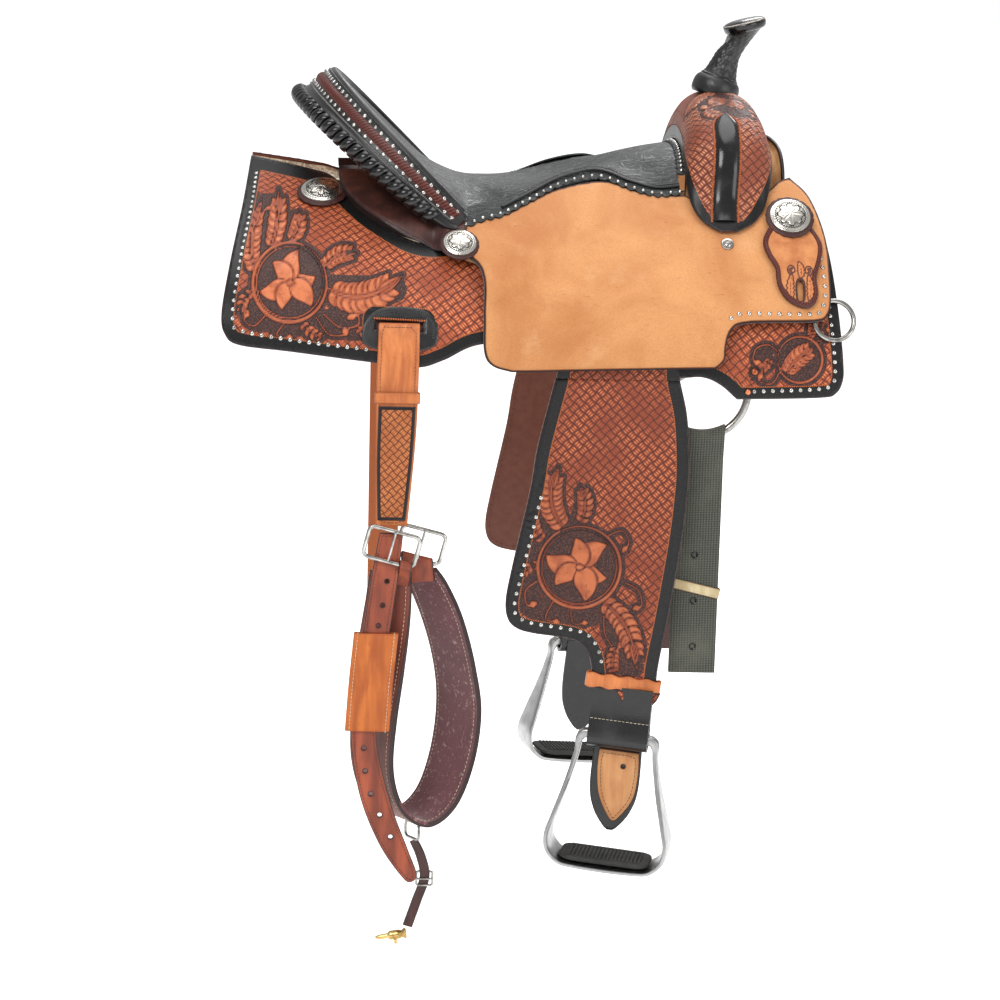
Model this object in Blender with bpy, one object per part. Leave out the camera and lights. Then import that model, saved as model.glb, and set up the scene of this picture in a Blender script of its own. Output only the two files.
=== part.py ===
"""Barrel racing saddle as an assembly of separate pieces.

Metres, +X to the horse's head, +Y to the near (left) side, +Z up. The origin is in the middle of the
channel between the tree bars, level with their undersides. Side pieces are built once for each side,
right (off) side at -Y.
"""

import math

import bmesh
import bpy
from mathutils import Matrix, Vector
from mathutils.geometry import delaunay_2d_cdt

RIGHT = -1
LEFT = 1
SIDES = (("right", RIGHT), ("left", LEFT))

# Sizes that drive the rest
GAP = 0.0005
LAYER_GAP = 0.0010
FLEECE_GAP = 0.0018
SKIRT_THICK = 0.005
FLEECE_THICK = 0.016
JOCKEY_THICK = 0.004
COVER_THICK = 0.0035
FENDER_THICK = 0.0048
FENDER_TOP_THICK = 0.0030
LEATHER_THICK = 0.0045
BAR_ROOM = 0.0120
BAR_TAIL_ROOM = 0.0055
BAR_THICK = 0.0104
BAR_TAIL_THICK = 0.0044
GROOVE_DEPTH = 0.0058
BAR_SEAT = 0.0016
STRAP_THICK = 0.006
SEAT_THICK = 0.014
BOARD_THICK = 0.018
DROP_PLATE_THICK = 0.0035
DROP_PLATE_GAP = 0.0016
CANTLE_HALF_WIDTH = 0.171
CANTLE_FOOT = (-0.099, 0.079)
CANTLE_TOP = (-0.242, 0.221)
HORN_LEAN = math.radians(18)
HORN_FOOT = (0.1805, 0.0, 0.213)
HORN_CAP_CENTRE = (0.2105, 0.0, 0.2835)
HORN_POST_RADIUS = 0.008
SWING_PIVOT = (0.0648, -0.052)
SWING_HALF_WIDTH = 0.2328
FENDER_BEND_Z = -0.0795
FENDER_PLANE = 0.2318
STIRRUP_TOP = (0.0765, -0.470)
STIRRUP_LEAN = math.radians(4)
STIRRUP_TURN = math.radians(12)
STIRRUP_PLANE = 0.2336
RIGGING_CENTRE = (0.155, -0.0965)
RIGGING_RADIUS = 0.0485
RIGGING_WIRE = 0.0042
RIGGING_PLANE = 0.2100
RIGGING_TOP = 0.55
BREAST_CENTRE = (0.2915, -0.019)
BREAST_RADIUS = 0.0215
BREAST_WIRE = 0.0026
BREAST_LIFT = 0.0038
BILLET_PLANE = 0.2510
BILLET_STRAIGHT_Z = -0.068
BILLET_SLOT = (-0.169, -0.030)
CINCH_HINGE = (-0.169, -0.2202, -0.030)
BILLET_GAP = 0.0024
BUCKLE_WIRE = 0.0022
BUCKLE_HALF_TALL = 0.0165
TONGUE_LENGTH = 0.0315
TAIL_THICK = 0.0035

# Across the saddle, the skirts' outer face runs from a top line to a low line. Rows are X and a size there.
TOP_HALF_WIDTH = (
    (-0.37, 0.006), (-0.28, 0.040), (-0.20, 0.080), (-0.10, 0.104), (0.00, 0.094), (0.10, 0.096),
    (0.18, 0.106), (0.25, 0.104), (0.32, 0.098),
)
TOP_HEIGHT = (
    (-0.37, 0.137), (-0.28, 0.127), (-0.20, 0.114), (-0.10, 0.104), (0.00, 0.112), (0.10, 0.117),
    (0.18, 0.119), (0.25, 0.122), (0.32, 0.118),
)
LOW_HALF_WIDTH = ((-0.37, 0.252), (-0.17, 0.249), (0.00, 0.236), (0.18, 0.229), (0.32, 0.222))
LOW_HEIGHT = ((-0.37, -0.058), (-0.17, -0.073), (0.00, -0.085), (0.18, -0.100), (0.32, -0.106))
SIDE_ROUNDNESS = 2.1
GRID_ALONG = 0.046
GRID_DOWN = 0.025

# Outlines in X and Z, as seen from the side. A third number marks a corner.
STIRRUP_SECTION = (
    (1, 0.72), (0.72, 1), (-0.72, 1), (-1, 0.72), (-1, -0.72), (-0.72, -1), (0.72, -1), (1, -0.72),
)
SKIRT_OUTLINE = (
    (-0.331, 0.130, 1), (-0.337, 0.085), (-0.347, 0.030), (-0.354, -0.020), (-0.350, -0.042), (-0.335, -0.053),
    (-0.280, -0.059), (-0.200, -0.068), (-0.150, -0.073), (-0.122, -0.065), (-0.084, -0.048), (-0.020, -0.046),
    (0.060, -0.062), (0.120, -0.079), (0.152, -0.079), (0.172, -0.087), (0.190, -0.102, 1), (0.278, -0.099),
    (0.296, -0.094), (0.303, -0.080), (0.303, -0.060), (0.298, -0.010), (0.291, 0.045), (0.282, 0.082),
    (0.266, 0.108), (0.250, 0.117, 1), (0.140, 0.096), (0.020, 0.093), (-0.060, 0.076), (-0.110, 0.054),
    (-0.150, 0.052), (-0.190, 0.070), (-0.222, 0.092), (-0.240, 0.112), (-0.270, 0.120),
)
FLEECE_OUTLINE = (
    (-0.328, 0.131, 1), (-0.333, 0.085), (-0.343, 0.030), (-0.350, -0.020), (-0.346, -0.037), (-0.333, -0.046),
    (-0.280, -0.052), (-0.200, -0.060), (-0.150, -0.066), (-0.122, -0.058), (-0.084, -0.042), (-0.020, -0.042),
    (0.050, -0.056), (0.082, -0.056, 1), (0.090, -0.038, 1), (0.206, -0.040, 1), (0.214, -0.095, 1),
    (0.278, -0.095), (0.292, -0.090), (0.299, -0.078), (0.299, -0.060), (0.294, -0.010), (0.287, 0.045),
    (0.278, 0.080), (0.262, 0.104), (0.246, 0.110, 1), (0.140, 0.090), (0.020, 0.087), (-0.060, 0.072),
    (-0.110, 0.056), (-0.150, 0.056), (-0.190, 0.074), (-0.222, 0.096), (-0.240, 0.115), (-0.270, 0.121),
)
SLOT_OUTLINE = (
    (-0.194, -0.024, 1), (-0.144, -0.026, 1), (-0.144, -0.036, 1), (-0.194, -0.034, 1),
)
FLEECE_SLOT = ((-0.198, -0.018, 1), (-0.140, -0.020, 1), (-0.140, -0.042, 1), (-0.198, -0.040, 1))
JOCKEY_OUTLINE = (
    (-0.106, 0.060, 1), (-0.124, 0.048), (-0.112, 0.038), (-0.093, 0.029), (-0.083, 0.014), (-0.081, -0.020),
    (-0.080, -0.056), (-0.071, -0.070), (-0.052, -0.0755, 1), (0.164, -0.070, 1), (0.173, -0.061),
    (0.174, -0.048), (0.180, -0.032), (0.198, -0.0255), (0.269, -0.022), (0.283, -0.016), (0.287, -0.003),
    (0.287, 0.020), (0.284, 0.060), (0.270, 0.098), (0.250, 0.1165, 1), (0.238, 0.1120, 1), (0.224, 0.101),
    (0.200, 0.088), (0.176, 0.0845), (0.156, 0.088), (0.136, 0.094, 1), (0.120, 0.093), (0.090, 0.095),
    (0.050, 0.104), (0.000, 0.095), (-0.036, 0.080), (-0.062, 0.069), (-0.096, 0.066),
)
BAR_OUTLINE = (
    (-0.216, 0.086), (-0.200, 0.079), (-0.160, 0.066), (-0.128, 0.056), (-0.100, 0.034), (-0.040, 0.020),
    (0.000, 0.018), (0.120, 0.014), (0.220, 0.012), (0.240, 0.040), (0.220, 0.066), (0.120, 0.072),
    (0.000, 0.066), (-0.100, 0.053), (-0.160, 0.078), (-0.204, 0.092),
)
DROP_OUTLINE = (
    (0.230, 0.072), (0.216, 0.054), (0.218, 0.040), (0.227, 0.026), (0.229, 0.010), (0.237, -0.002),
    (0.250, -0.009), (0.263, -0.010), (0.271, -0.001), (0.270, 0.018), (0.276, 0.036), (0.278, 0.050),
    (0.272, 0.062), (0.262, 0.072), (0.246, 0.078),
)
DROP_SLOT = (
    (0.2500, 0.012), (0.2530, 0.0155), (0.2560, 0.012), (0.2560, -0.001), (0.2530, -0.0045), (0.2500, -0.001),
)
FENDER_OUTLINE = (
    (-0.0035, -0.0825, 1), (-0.020, -0.155), (-0.027, -0.204), (-0.043, -0.284), (-0.049, -0.322),
    (-0.046, -0.342), (-0.036, -0.352), (-0.018, -0.357), (0.014, -0.361), (0.031, -0.366), (0.042, -0.380),
    (0.046, -0.402), (0.0455, -0.4150, 1), (0.1130, -0.4205, 1), (0.115, -0.408), (0.117, -0.387),
    (0.125, -0.338), (0.131, -0.296), (0.137, -0.250), (0.141, -0.200), (0.141, -0.165), (0.137, -0.120),
    (0.1280, -0.0825, 1),
)
FENDER_TOP_OUTLINE = (
    (0.052, -0.050, 1), (0.078, -0.050, 1), (0.092, -0.062), (0.098, -0.0765, 1), (0.032, -0.0765, 1),
    (0.038, -0.062),
)
LEATHER_OUTLINE = (
    (0.034, 0.066, 1), (0.106, 0.066, 1), (0.106, -0.033, 1), (0.034, -0.033, 1),
)

# Swell arch from the right foot to the crown: half width, height, middle X, half length in X, wrap depth.
ARCH = (
    (0.1855, 0.0720, 0.1790, 0.009, 0.0020), (0.1795, 0.0800, 0.1795, 0.024, 0.0030),
    (0.1715, 0.0905, 0.1800, 0.034, 0.0050), (0.1640, 0.1040, 0.1805, 0.041, 0.0080),
    (0.1595, 0.1210, 0.1815, 0.0450, 0.017), (0.1555, 0.1420, 0.1825, 0.0470, 0.030),
    (0.1445, 0.1640, 0.1830, 0.0475, 0.042), (0.1220, 0.1840, 0.1830, 0.0470, 0.048),
    (0.0880, 0.1990, 0.1830, 0.0460, 0.051), (0.0460, 0.2080, 0.1825, 0.0450, 0.053),
    (0.0, 0.2115, 0.1820, 0.0440, 0.054),
)
GULLET = (
    (0.0860, 0.0930), (0.0900, 0.1120), (0.0870, 0.1290), (0.0720, 0.1430), (0.0400, 0.1510), (0.0, 0.1535),
)

# Seat, from the swell back to the cantle: its centre line in X and Z, and its edge line on the side.
SEAT_CENTRE = (
    (0.1335, 0.1515), (0.098, 0.1450), (0.062, 0.1350), (0.028, 0.1215), (-0.014, 0.1110), (-0.056, 0.1080),
    (-0.100, 0.1110), (-0.138, 0.1250), (-0.170, 0.1490), (-0.198, 0.1760), (-0.221, 0.2000), (-0.238, 0.2180),
)
SEAT_EDGE = (
    (0.1320, 0.1000), (0.1060, 0.0975), (0.0780, 0.1030), (0.0450, 0.1120), (0.0050, 0.1040), (-0.0320, 0.0875),
    (-0.0620, 0.0740),
)

COLOURS = {
    "roughout": ((0.73, 0.36, 0.13), 0.95, 0.0),
    "carved": ((0.30, 0.08, 0.03), 0.45, 0.0),
    "black": ((0.015, 0.014, 0.015), 0.4, 0.0),
    "seat": ((0.025, 0.032, 0.030), 0.5, 0.0),
    "wool": ((0.55, 0.46, 0.33), 1.0, 0.0),
    "wood": ((0.45, 0.28, 0.13), 0.7, 0.0),
    "steel": ((0.60, 0.60, 0.58), 0.3, 1.0),
    "silver": ((0.45, 0.44, 0.42), 0.35, 1.0),
    "aluminium": ((0.62, 0.62, 0.62), 0.35, 1.0),
    "rubber": ((0.03, 0.03, 0.028), 0.9, 0.0),
    "strap": ((0.50, 0.18, 0.05), 0.5, 0.0),
    "brown": ((0.07, 0.025, 0.02), 0.5, 0.0),
    "webbing": ((0.06, 0.063, 0.055), 0.9, 0.0),
    "lining": ((0.14, 0.045, 0.05), 1.0, 0.0),
    "brass": ((0.60, 0.42, 0.18), 0.3, 1.0),
}


def clear_scene():
    for obj in list(bpy.data.objects):
        bpy.data.objects.remove(obj, do_unlink=True)


def material(finish):
    found = bpy.data.materials.get(finish)
    if found:
        return found
    colour, roughness, metallic = COLOURS[finish]
    made = bpy.data.materials.new(finish)
    made.use_nodes = True
    shader = made.node_tree.nodes["Principled BSDF"]
    shader.inputs["Base Color"].default_value = (*colour, 1.0)
    shader.inputs["Roughness"].default_value = roughness
    shader.inputs["Metallic"].default_value = metallic
    return made


def solid(name, points, faces, finish, origin=(0, 0, 0)):
    """One object from world points, with its own origin on the joint that it turns about."""
    origin = Vector(origin)
    mesh = bpy.data.meshes.new(name)
    mesh.from_pydata([Vector(p) - origin for p in points], [], faces)
    shape = bmesh.new()
    shape.from_mesh(mesh)
    bmesh.ops.remove_doubles(shape, verts=shape.verts, dist=1e-6)
    bmesh.ops.recalc_face_normals(shape, faces=shape.faces)
    shape.to_mesh(mesh)
    shape.free()
    mesh.shade_smooth()
    mesh.set_sharp_from_angle(angle=math.radians(35))
    obj = bpy.data.objects.new(name, mesh)
    obj.location = origin
    obj.data.materials.append(material(finish))
    bpy.context.scene.collection.objects.link(obj)
    return obj


def cut(obj, cutter, operation="DIFFERENCE"):
    cutter.hide_render = True
    cutter.display_type = "WIRE"
    boolean = obj.modifiers.new(operation.lower(), "BOOLEAN")
    boolean.operation = operation
    boolean.solver = "EXACT"
    boolean.object = cutter


def through(table, x, column=1):
    """The table's value at x, on a smooth curve through its rows."""
    rows = sorted(table)
    if x <= rows[0][0]:
        return rows[0][column]
    if x >= rows[-1][0]:
        return rows[-1][column]
    i = max(k for k in range(len(rows) - 1) if rows[k][0] <= x)
    (x0, y0), (x1, y1) = (rows[i][0], rows[i][column]), (rows[i + 1][0], rows[i + 1][column])
    before = rows[max(i - 1, 0)]
    after = rows[min(i + 2, len(rows) - 1)]
    m0 = (y1 - before[column]) / (x1 - before[0])
    m1 = (after[column] - y0) / (after[0] - x0)
    step = x1 - x0
    t = (x - x0) / step
    return (
        (2 * t**3 - 3 * t**2 + 1) * y0
        + (t**3 - 2 * t**2 + t) * step * m0
        + (-2 * t**3 + 3 * t**2) * y1
        + (t**3 - t**2) * step * m1
    )


def ramp(value, start, end):
    """0 before start, 1 after end, smooth between."""
    t = min(max((value - start) / (end - start), 0.0), 1.0)
    return t * t * (3 - 2 * t)


def half_width(x, z):
    """Half the width across the skirts' outer faces at this place."""
    top, low = through(TOP_HEIGHT, x), through(LOW_HEIGHT, x)
    t = min(max((top - z) / (top - low), -0.25), 1.0)
    spread = 1 - (1 - t) ** SIDE_ROUNDNESS
    inner = through(TOP_HALF_WIDTH, x)
    return inner + (through(LOW_HALF_WIDTH, x) - inner) * spread


def side_point(x, z, lift, side):
    """The point lift above the skirt's outer face, along its normal."""
    e = 0.002
    slope_x = (half_width(x + e, z) - half_width(x - e, z)) / (2 * e)
    slope_z = (half_width(x, z + e) - half_width(x, z - e)) / (2 * e)
    normal = Vector((-slope_x, side, -slope_z)).normalized()
    return Vector((x, side * half_width(x, z), z)) + normal * lift


def front_fall(x):
    """The seat jockey comes down towards the skirt at its front edge."""
    return 1 - 0.45 * ramp(x, 0.200, 0.290)


def bar_height(x, z):
    """Lift of the tree bar's outer face, with a groove where the stirrup leather crosses."""
    thick = BAR_TAIL_THICK + (BAR_THICK - BAR_TAIL_THICK) * ramp(x, -0.130, -0.060)
    groove = GROOVE_DEPTH * ramp(x, 0.004, 0.012) * (1 - ramp(x, 0.128, 0.136))
    return thick * front_fall(x) - groove


def under_jockey(x, z):
    """Room between the skirt and the seat jockey, for the tree bar, the stirrup leather and the rigging."""
    bar = BAR_TAIL_ROOM + (BAR_ROOM - BAR_TAIL_ROOM) * ramp(x, -0.130, -0.060)
    bar *= ramp(z, -0.022, 0.008)
    middle = BAR_ROOM * ramp(x, -0.090, -0.020)
    return LAYER_GAP + max(bar, middle) * front_fall(x)


def leather_low(x, z):
    return LAYER_GAP + (BAR_ROOM - GROOVE_DEPTH) * ramp(z, -0.030, 0.006)


def leather_high(x, z):
    return leather_low(x, z) + LEATHER_THICK


def on_jockey(x, z):
    return under_jockey(x, z) + JOCKEY_THICK


def curve_through(points, step, closed=True):
    """A smooth line through the points, with the marked ones left as corners, resampled at about step."""
    flat = [Vector(p[:2]) for p in points]
    corner = [len(p) > 2 for p in points]
    count = len(flat)
    line = []
    for i in range(count if closed else count - 1):
        j = (i + 1) % count
        a, b = flat[i], flat[j]
        before = a if corner[i] else flat[i - 1] if closed or i else a
        after = b if corner[j] else flat[(j + 1) % count] if closed or j < count - 1 else b
        m0 = (b - before) / (1 if corner[i] or before == a else 2)
        m1 = (after - a) / (1 if corner[j] or after == b else 2)
        pieces = max(1, round((b - a).length / step))
        for k in range(pieces):
            t = k / pieces
            line.append(
                (2 * t**3 - 3 * t**2 + 1) * a
                + (t**3 - 2 * t**2 + t) * m0
                + (-2 * t**3 + 3 * t**2) * b
                + (t**3 - t**2) * m1
            )
    if not closed:
        line.append(flat[-1])
    return line


def inside(point, loop):
    odd = False
    for a, b in zip(loop, loop[1:] + loop[:1]):
        if (a.y > point.y) != (b.y > point.y):
            if point.x < (b.x - a.x) * (point.y - a.y) / (b.y - a.y) + a.x:
                odd = not odd
    return odd


def nearest(point, loops):
    return min((point - q).length for loop in loops for q in loop)


def filled(outline, holes):
    """Triangles that fill an outline round its holes, over one staggered grid that every panel shares."""
    loops = [outline, *holes]
    points = [p for loop in loops for p in loop]
    edges = []
    start = 0
    for loop in loops:
        edges += [(start + i, start + (i + 1) % len(loop)) for i in range(len(loop))]
        start += len(loop)
    first = math.floor(min(p.x for p in outline) / GRID_ALONG)
    last = math.ceil(max(p.x for p in outline) / GRID_ALONG)
    lowest = math.floor(min(p.y for p in outline) / GRID_DOWN)
    highest = math.ceil(max(p.y for p in outline) / GRID_DOWN)
    for i in range(first, last + 1):
        for j in range(lowest, highest + 1):
            p = Vector(((i + 0.5 * (j % 2)) * GRID_ALONG, j * GRID_DOWN))
            clear = nearest(p, loops) > 0.45 * GRID_DOWN
            if clear and inside(p, outline) and not any(inside(p, hole) for hole in holes):
                points.append(p)
    made = delaunay_2d_cdt(points, edges, [list(range(len(outline)))], 1, 1e-7)
    flat, faces = made[0], made[2]
    kept = []
    for face in faces:
        middle = sum((flat[i] for i in face), Vector((0, 0))) / len(face)
        if not any(inside(middle, hole) for hole in holes):
            kept.append(tuple(face))
    return flat, kept


def sheet(outline, holes, place_inner, place_outer):
    """Points and faces of a closed sheet whose two faces are placed by the given functions."""
    flat, faces = filled(outline, holes)
    count = len(flat)
    points = [place_outer(p.x, p.y) for p in flat] + [place_inner(p.x, p.y) for p in flat]
    rim = {}
    for face in faces:
        for a, b in zip(face, face[1:] + face[:1]):
            if (b, a) in rim:
                del rim[(b, a)]
            else:
                rim[(a, b)] = True
    walls = [(b, a, a + count, b + count) for a, b in rim]
    under = [tuple(i + count for i in reversed(face)) for face in faces]
    return points, faces + under + walls


def panel(name, outline, inner, outer, side, finish, step=0.022, holes=(), origin=(0, 0, 0)):
    """A sheet draped on the saddle's side between two lifts, each a number or a function of X and Z."""
    lifts = [lift if callable(lift) else (lambda x, z, flat=lift: flat) for lift in (inner, outer)]
    points, faces = sheet(
        curve_through(outline, step),
        [curve_through(hole, step) for hole in holes],
        lambda x, z: side_point(x, z, lifts[0](x, z), side),
        lambda x, z: side_point(x, z, lifts[1](x, z), side),
    )
    return solid(name, points, faces, finish, origin)


def upright(name, outline, near, far, side, finish, step=0.02, origin=(0, 0, 0)):
    """A flat plate in a plane of constant Y, between two distances from the saddle's middle."""
    points, faces = sheet(
        curve_through(outline, step),
        [],
        lambda x, z: Vector((x, side * near(x, z) if callable(near) else side * near, z)),
        lambda x, z: Vector((x, side * far(x, z) if callable(far) else side * far, z)),
    )
    return solid(name, points, faces, finish, origin)


def loft(rings, closed=False):
    """Points and faces of a skin over rings of equal length. An open loft gets flat ends."""
    size = len(rings[0])
    points = [p for ring in rings for p in ring]
    faces = []
    for i in range(len(rings) if closed else len(rings) - 1):
        j = (i + 1) % len(rings)
        for k in range(size):
            m = (k + 1) % size
            faces.append((i * size + k, i * size + m, j * size + m, j * size + k))
    if not closed:
        faces.append(tuple(range(size)))
        faces.append(tuple((len(rings) - 1) * size + k for k in range(size)))
    return points, faces


def frame_along(direction):
    """Two unit vectors square to a direction."""
    first = direction.cross(Vector((0, 1, 0)))
    if first.length < 1e-3:
        first = direction.cross(Vector((0, 0, 1)))
    first.normalize()
    return first, direction.cross(first).normalized()


def turned(profile, foot, direction, sides, wide=1.0):
    """Rings of a turned shape. The profile holds radius and height, and wide stretches it along Y."""
    direction = Vector(direction).normalized()
    first, second = frame_along(direction)
    rings = []
    for k in range(sides):
        angle = 2 * math.pi * k / sides
        spoke = first * math.cos(angle) + second * math.sin(angle) * wide
        rings.append([Vector(foot) + spoke * r + direction * h for r, h in profile])
    return rings


def turned_solid(name, profile, foot, direction, sides, finish, wide=1.0, origin=(0, 0, 0)):
    """A turned solid from an open profile whose ends are capped."""
    rings = turned(profile, foot, direction, sides, wide)
    size = len(profile)
    points = [p for ring in rings for p in ring]
    faces = []
    for i in range(sides):
        j = (i + 1) % sides
        for k in range(size - 1):
            faces.append((i * size + k, j * size + k, j * size + k + 1, i * size + k + 1))
    faces.append(tuple(i * size for i in range(sides)))
    faces.append(tuple(i * size + size - 1 for i in range(sides)))
    return solid(name, points, faces, finish, origin)


def wire_ring(centre, first, second, radius, wire, around=20, across=8, top=1.0):
    """Rings of a wire bent to a circle in the plane of two directions, squashed by top on its upper half."""
    first = Vector(first).normalized()
    normal = first.cross(Vector(second)).normalized()
    second = normal.cross(first)
    rings = []
    for i in range(around):
        angle = 2 * math.pi * i / around
        rise = math.sin(angle)
        out = first * math.cos(angle) + second * rise * (top if rise > 0 else 1.0)
        spoke = (first * math.cos(angle) * (top if rise > 0 else 1.0) + second * rise).normalized()
        ring = []
        for k in range(across):
            turn = 2 * math.pi * k / across
            skin = spoke * math.cos(turn) + normal * math.sin(turn)
            ring.append(Vector(centre) + out * radius + skin * wire)
        rings.append(ring)
    return rings


def box_corner_loop(half_wide, half_tall, corner, steps=3):
    """A rectangle with round corners, as points about its middle."""
    loop = []
    for quarter, (sx, sy) in enumerate(((1, 1), (-1, 1), (-1, -1), (1, -1))):
        for k in range(steps + 1):
            angle = math.pi / 2 * (quarter + k / steps)
            loop.append((
                sx * (half_wide - corner) + corner * math.cos(angle),
                sy * (half_tall - corner) + corner * math.sin(angle),
            ))
    return loop


def wire_frame(centre, first, second, half_wide, half_tall, corner, wire, across=6):
    """Rings of a wire bent to a round-cornered rectangle."""
    first, second = Vector(first).normalized(), Vector(second).normalized()
    normal = first.cross(second).normalized()
    loop = [Vector(centre) + first * u + second * v for u, v in box_corner_loop(half_wide, half_tall, corner)]
    rings = []
    for i, point in enumerate(loop):
        along = (loop[(i + 1) % len(loop)] - loop[i - 1]).normalized()
        out = along.cross(normal).normalized()
        turns = [2 * math.pi * k / across for k in range(across)]
        rings.append([point + (out * math.cos(t) + normal * math.sin(t)) * wire for t in turns])
    return rings


def ribbon(stations, thick):
    """Rings of a strap. A station is its middle, its width, and how far the width turns from X, in degrees."""
    middles = [Vector(s[0]) for s in stations]
    rings = []
    for i, (middle, wide, angle) in enumerate(stations):
        before, after = middles[max(i - 1, 0)], middles[min(i + 1, len(middles) - 1)]
        along = (after - before).normalized()
        across = Vector((math.cos(math.radians(angle)), -math.sin(math.radians(angle)), 0))
        across = (across - along * across.dot(along)).normalized()
        face = along.cross(across).normalized()
        half, deep = across * wide / 2, face * thick / 2
        middle = Vector(middle)
        rings.append([middle - half - deep, middle + half - deep, middle + half + deep, middle - half + deep])
    return rings


def cantle_plane():
    """Directions up the cantle's rim and square to it, backwards and down."""
    rise = Vector((CANTLE_TOP[0] - CANTLE_FOOT[0], 0, CANTLE_TOP[1] - CANTLE_FOOT[1]))
    up = rise.normalized()
    return up, Vector((-up.z, 0, up.x)), rise.length


def rim_point(turn):
    """A point on the cantle's rim, from the right foot at -90 degrees over the top to the left foot."""
    up, _, rise = cantle_plane()
    power = 2 / 2.3
    across = math.copysign(abs(math.sin(turn)) ** power, turn) * CANTLE_HALF_WIDTH
    climb = abs(math.cos(turn)) ** power * rise
    return Vector((CANTLE_FOOT[0], 0, CANTLE_FOOT[1])) + up * climb + Vector((0, across, 0))


def seat_rows(count=9):
    """Rows of points across the seat's top, from the swell to the top of the cantle."""
    edge = []
    for x, z in curve_through(SEAT_EDGE, 0.030, closed=False):
        edge.append(side_point(x, z, on_jockey(x, z) + GAP * 2 + COVER_THICK, LEFT))
    front_rows = len(edge)
    for degrees in (90, 76, 62, 48, 34, 20, 8):
        edge.append(rim_point(math.radians(degrees)))
    centre = curve_through(SEAT_CENTRE, 0.010, closed=False)
    length = [0.0]
    for a, b in zip(centre, centre[1:]):
        length.append(length[-1] + (b - a).length)
    rows = []
    for i, side in enumerate(edge):
        share = 0.53 * i / (front_rows - 1) if i < front_rows else None
        if share is None:
            climb = (i - front_rows + 1) / (len(edge) - front_rows)
            share = 0.53 + 0.47 * math.sin(math.pi / 2 * climb) ** 0.9
        want = share * length[-1]
        k = max(j for j in range(len(centre) - 1) if length[j] <= want + 1e-9)
        part = (want - length[k]) / (length[k + 1] - length[k])
        middle = centre[k].lerp(centre[k + 1], min(part, 1.0))
        middle = Vector((middle.x, 0, middle.y))
        row = []
        for c in range(count):
            v = -1 + 2 * c / (count - 1)
            w = abs(v)
            if i < front_rows:
                lift = 1 - w ** 2.6
                height = side.z + (middle.z - side.z) * lift
                inward = side.x + (middle.x - side.x) * (1 - w**2)
                row.append(Vector((inward, math.copysign(w, v) * side.y, height)))
            else:
                blend = w ** 2.2
                row.append(Vector((
                    middle.x + (side.x - middle.x) * blend,
                    math.copysign(w ** 0.9, v) * side.y,
                    middle.z + (side.z - middle.z) * blend,
                )))
        rows.append(row)
    return rows


def normals_of(rows):
    """A unit normal at each point of a grid of points, pointing up."""
    found = []
    for i, row in enumerate(rows):
        line = []
        for c in range(len(row)):
            along = rows[min(i + 1, len(rows) - 1)][c] - rows[max(i - 1, 0)][c]
            across = row[min(c + 1, len(row) - 1)] - row[max(c - 1, 0)]
            normal = across.cross(along)
            if normal.z < 0:
                normal.negate()
            line.append(normal.normalized())
        found.append(line)
    return found


def slab(rows, upper, lower):
    """Points and faces of a closed slab under a grid, between two depths given for each row and column."""
    normals = normals_of(rows)
    deep, wide = len(rows), len(rows[0])
    points = []
    for depth in (upper, lower):
        for i in range(deep):
            for c in range(wide):
                points.append(rows[i][c] - normals[i][c] * depth(i, c))
    count = deep * wide
    faces = []
    for i in range(deep - 1):
        for c in range(wide - 1):
            a = i * wide + c
            faces.append((a, a + 1, a + wide + 1, a + wide))
            faces.append((a + count, a + wide + count, a + wide + 1 + count, a + 1 + count))
    rim = list(range(wide))
    rim += [i * wide + wide - 1 for i in range(1, deep)]
    rim += [(deep - 1) * wide + c for c in range(wide - 2, -1, -1)]
    rim += [i * wide for i in range(deep - 2, 0, -1)]
    for a, b in zip(rim, rim[1:] + rim[:1]):
        faces.append((a, b, b + count, a + count))
    return points, faces


def build_seat():
    rows = seat_rows()
    wide = len(rows[0])

    def seat_depth(i, c):
        w = abs(-1 + 2 * c / (wide - 1))
        return COVER_THICK + (SEAT_THICK - COVER_THICK) * (1 - w ** 3)

    solid("seat_cover", *slab(rows, lambda i, c: 0.0, seat_depth), "seat")
    middle = [row[1:-1] for row in rows[1:8]]
    strainer_top = SEAT_THICK + GAP
    solid("ground_seat", *slab(middle, lambda i, c: strainer_top, lambda i, c: strainer_top + 0.003), "wood")
    dish = [row[1:-1] for row in rows[9:-1]]
    board_low = SEAT_THICK + GAP + BOARD_THICK
    solid("cantle_board", *slab(dish, lambda i, c: SEAT_THICK + GAP, lambda i, c: board_low), "wood")
    back = [row[1:-1] for row in rows[9:-1]]
    solid("cantle_back", *slab(back, lambda i, c: board_low + GAP, lambda i, c: board_low + 0.0035), "brown")


def build_cantle_roll():
    _, back, _ = cantle_plane()
    rings = []
    turns = [math.radians(a) for a in range(-90, 91, 12)]
    for turn in turns:
        point = rim_point(turn)
        along = (rim_point(turn + 0.02) - rim_point(turn - 0.02)).normalized()
        out = along.cross(back).normalized()
        if out.dot(point - Vector((point.x, 0, 0.0))) < 0:
            out.negate()
        taper = 0.40 + 0.60 * max(math.cos(turn), 0.0) ** 0.5
        section = (
            (0.0014, -0.002), (0.0034, -0.003), (0.0065, 0.006), (0.0080, 0.018), (0.0085, 0.030),
            (0.0120, 0.038), (0.0110, 0.048), (0.0040, 0.052), (0.0014, 0.044),
        )
        rings.append([point + out * n + back * (b * taper) for n, b in section])
    solid("cantle_roll", *loft(rings), "black")


def arch_stations(table):
    """Arch rows on both sides, right foot first, with Y signed."""
    right = [(-row[0], *row[1:]) for row in table]
    return right + [row for row in reversed(table[:-1])]


def arch_normal(stations, i):
    before, after = stations[max(i - 1, 0)], stations[min(i + 1, len(stations) - 1)]
    along = Vector((0, after[0] - before[0], after[1] - before[1])).normalized()
    return Vector((0, -along.z, along.y))


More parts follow.
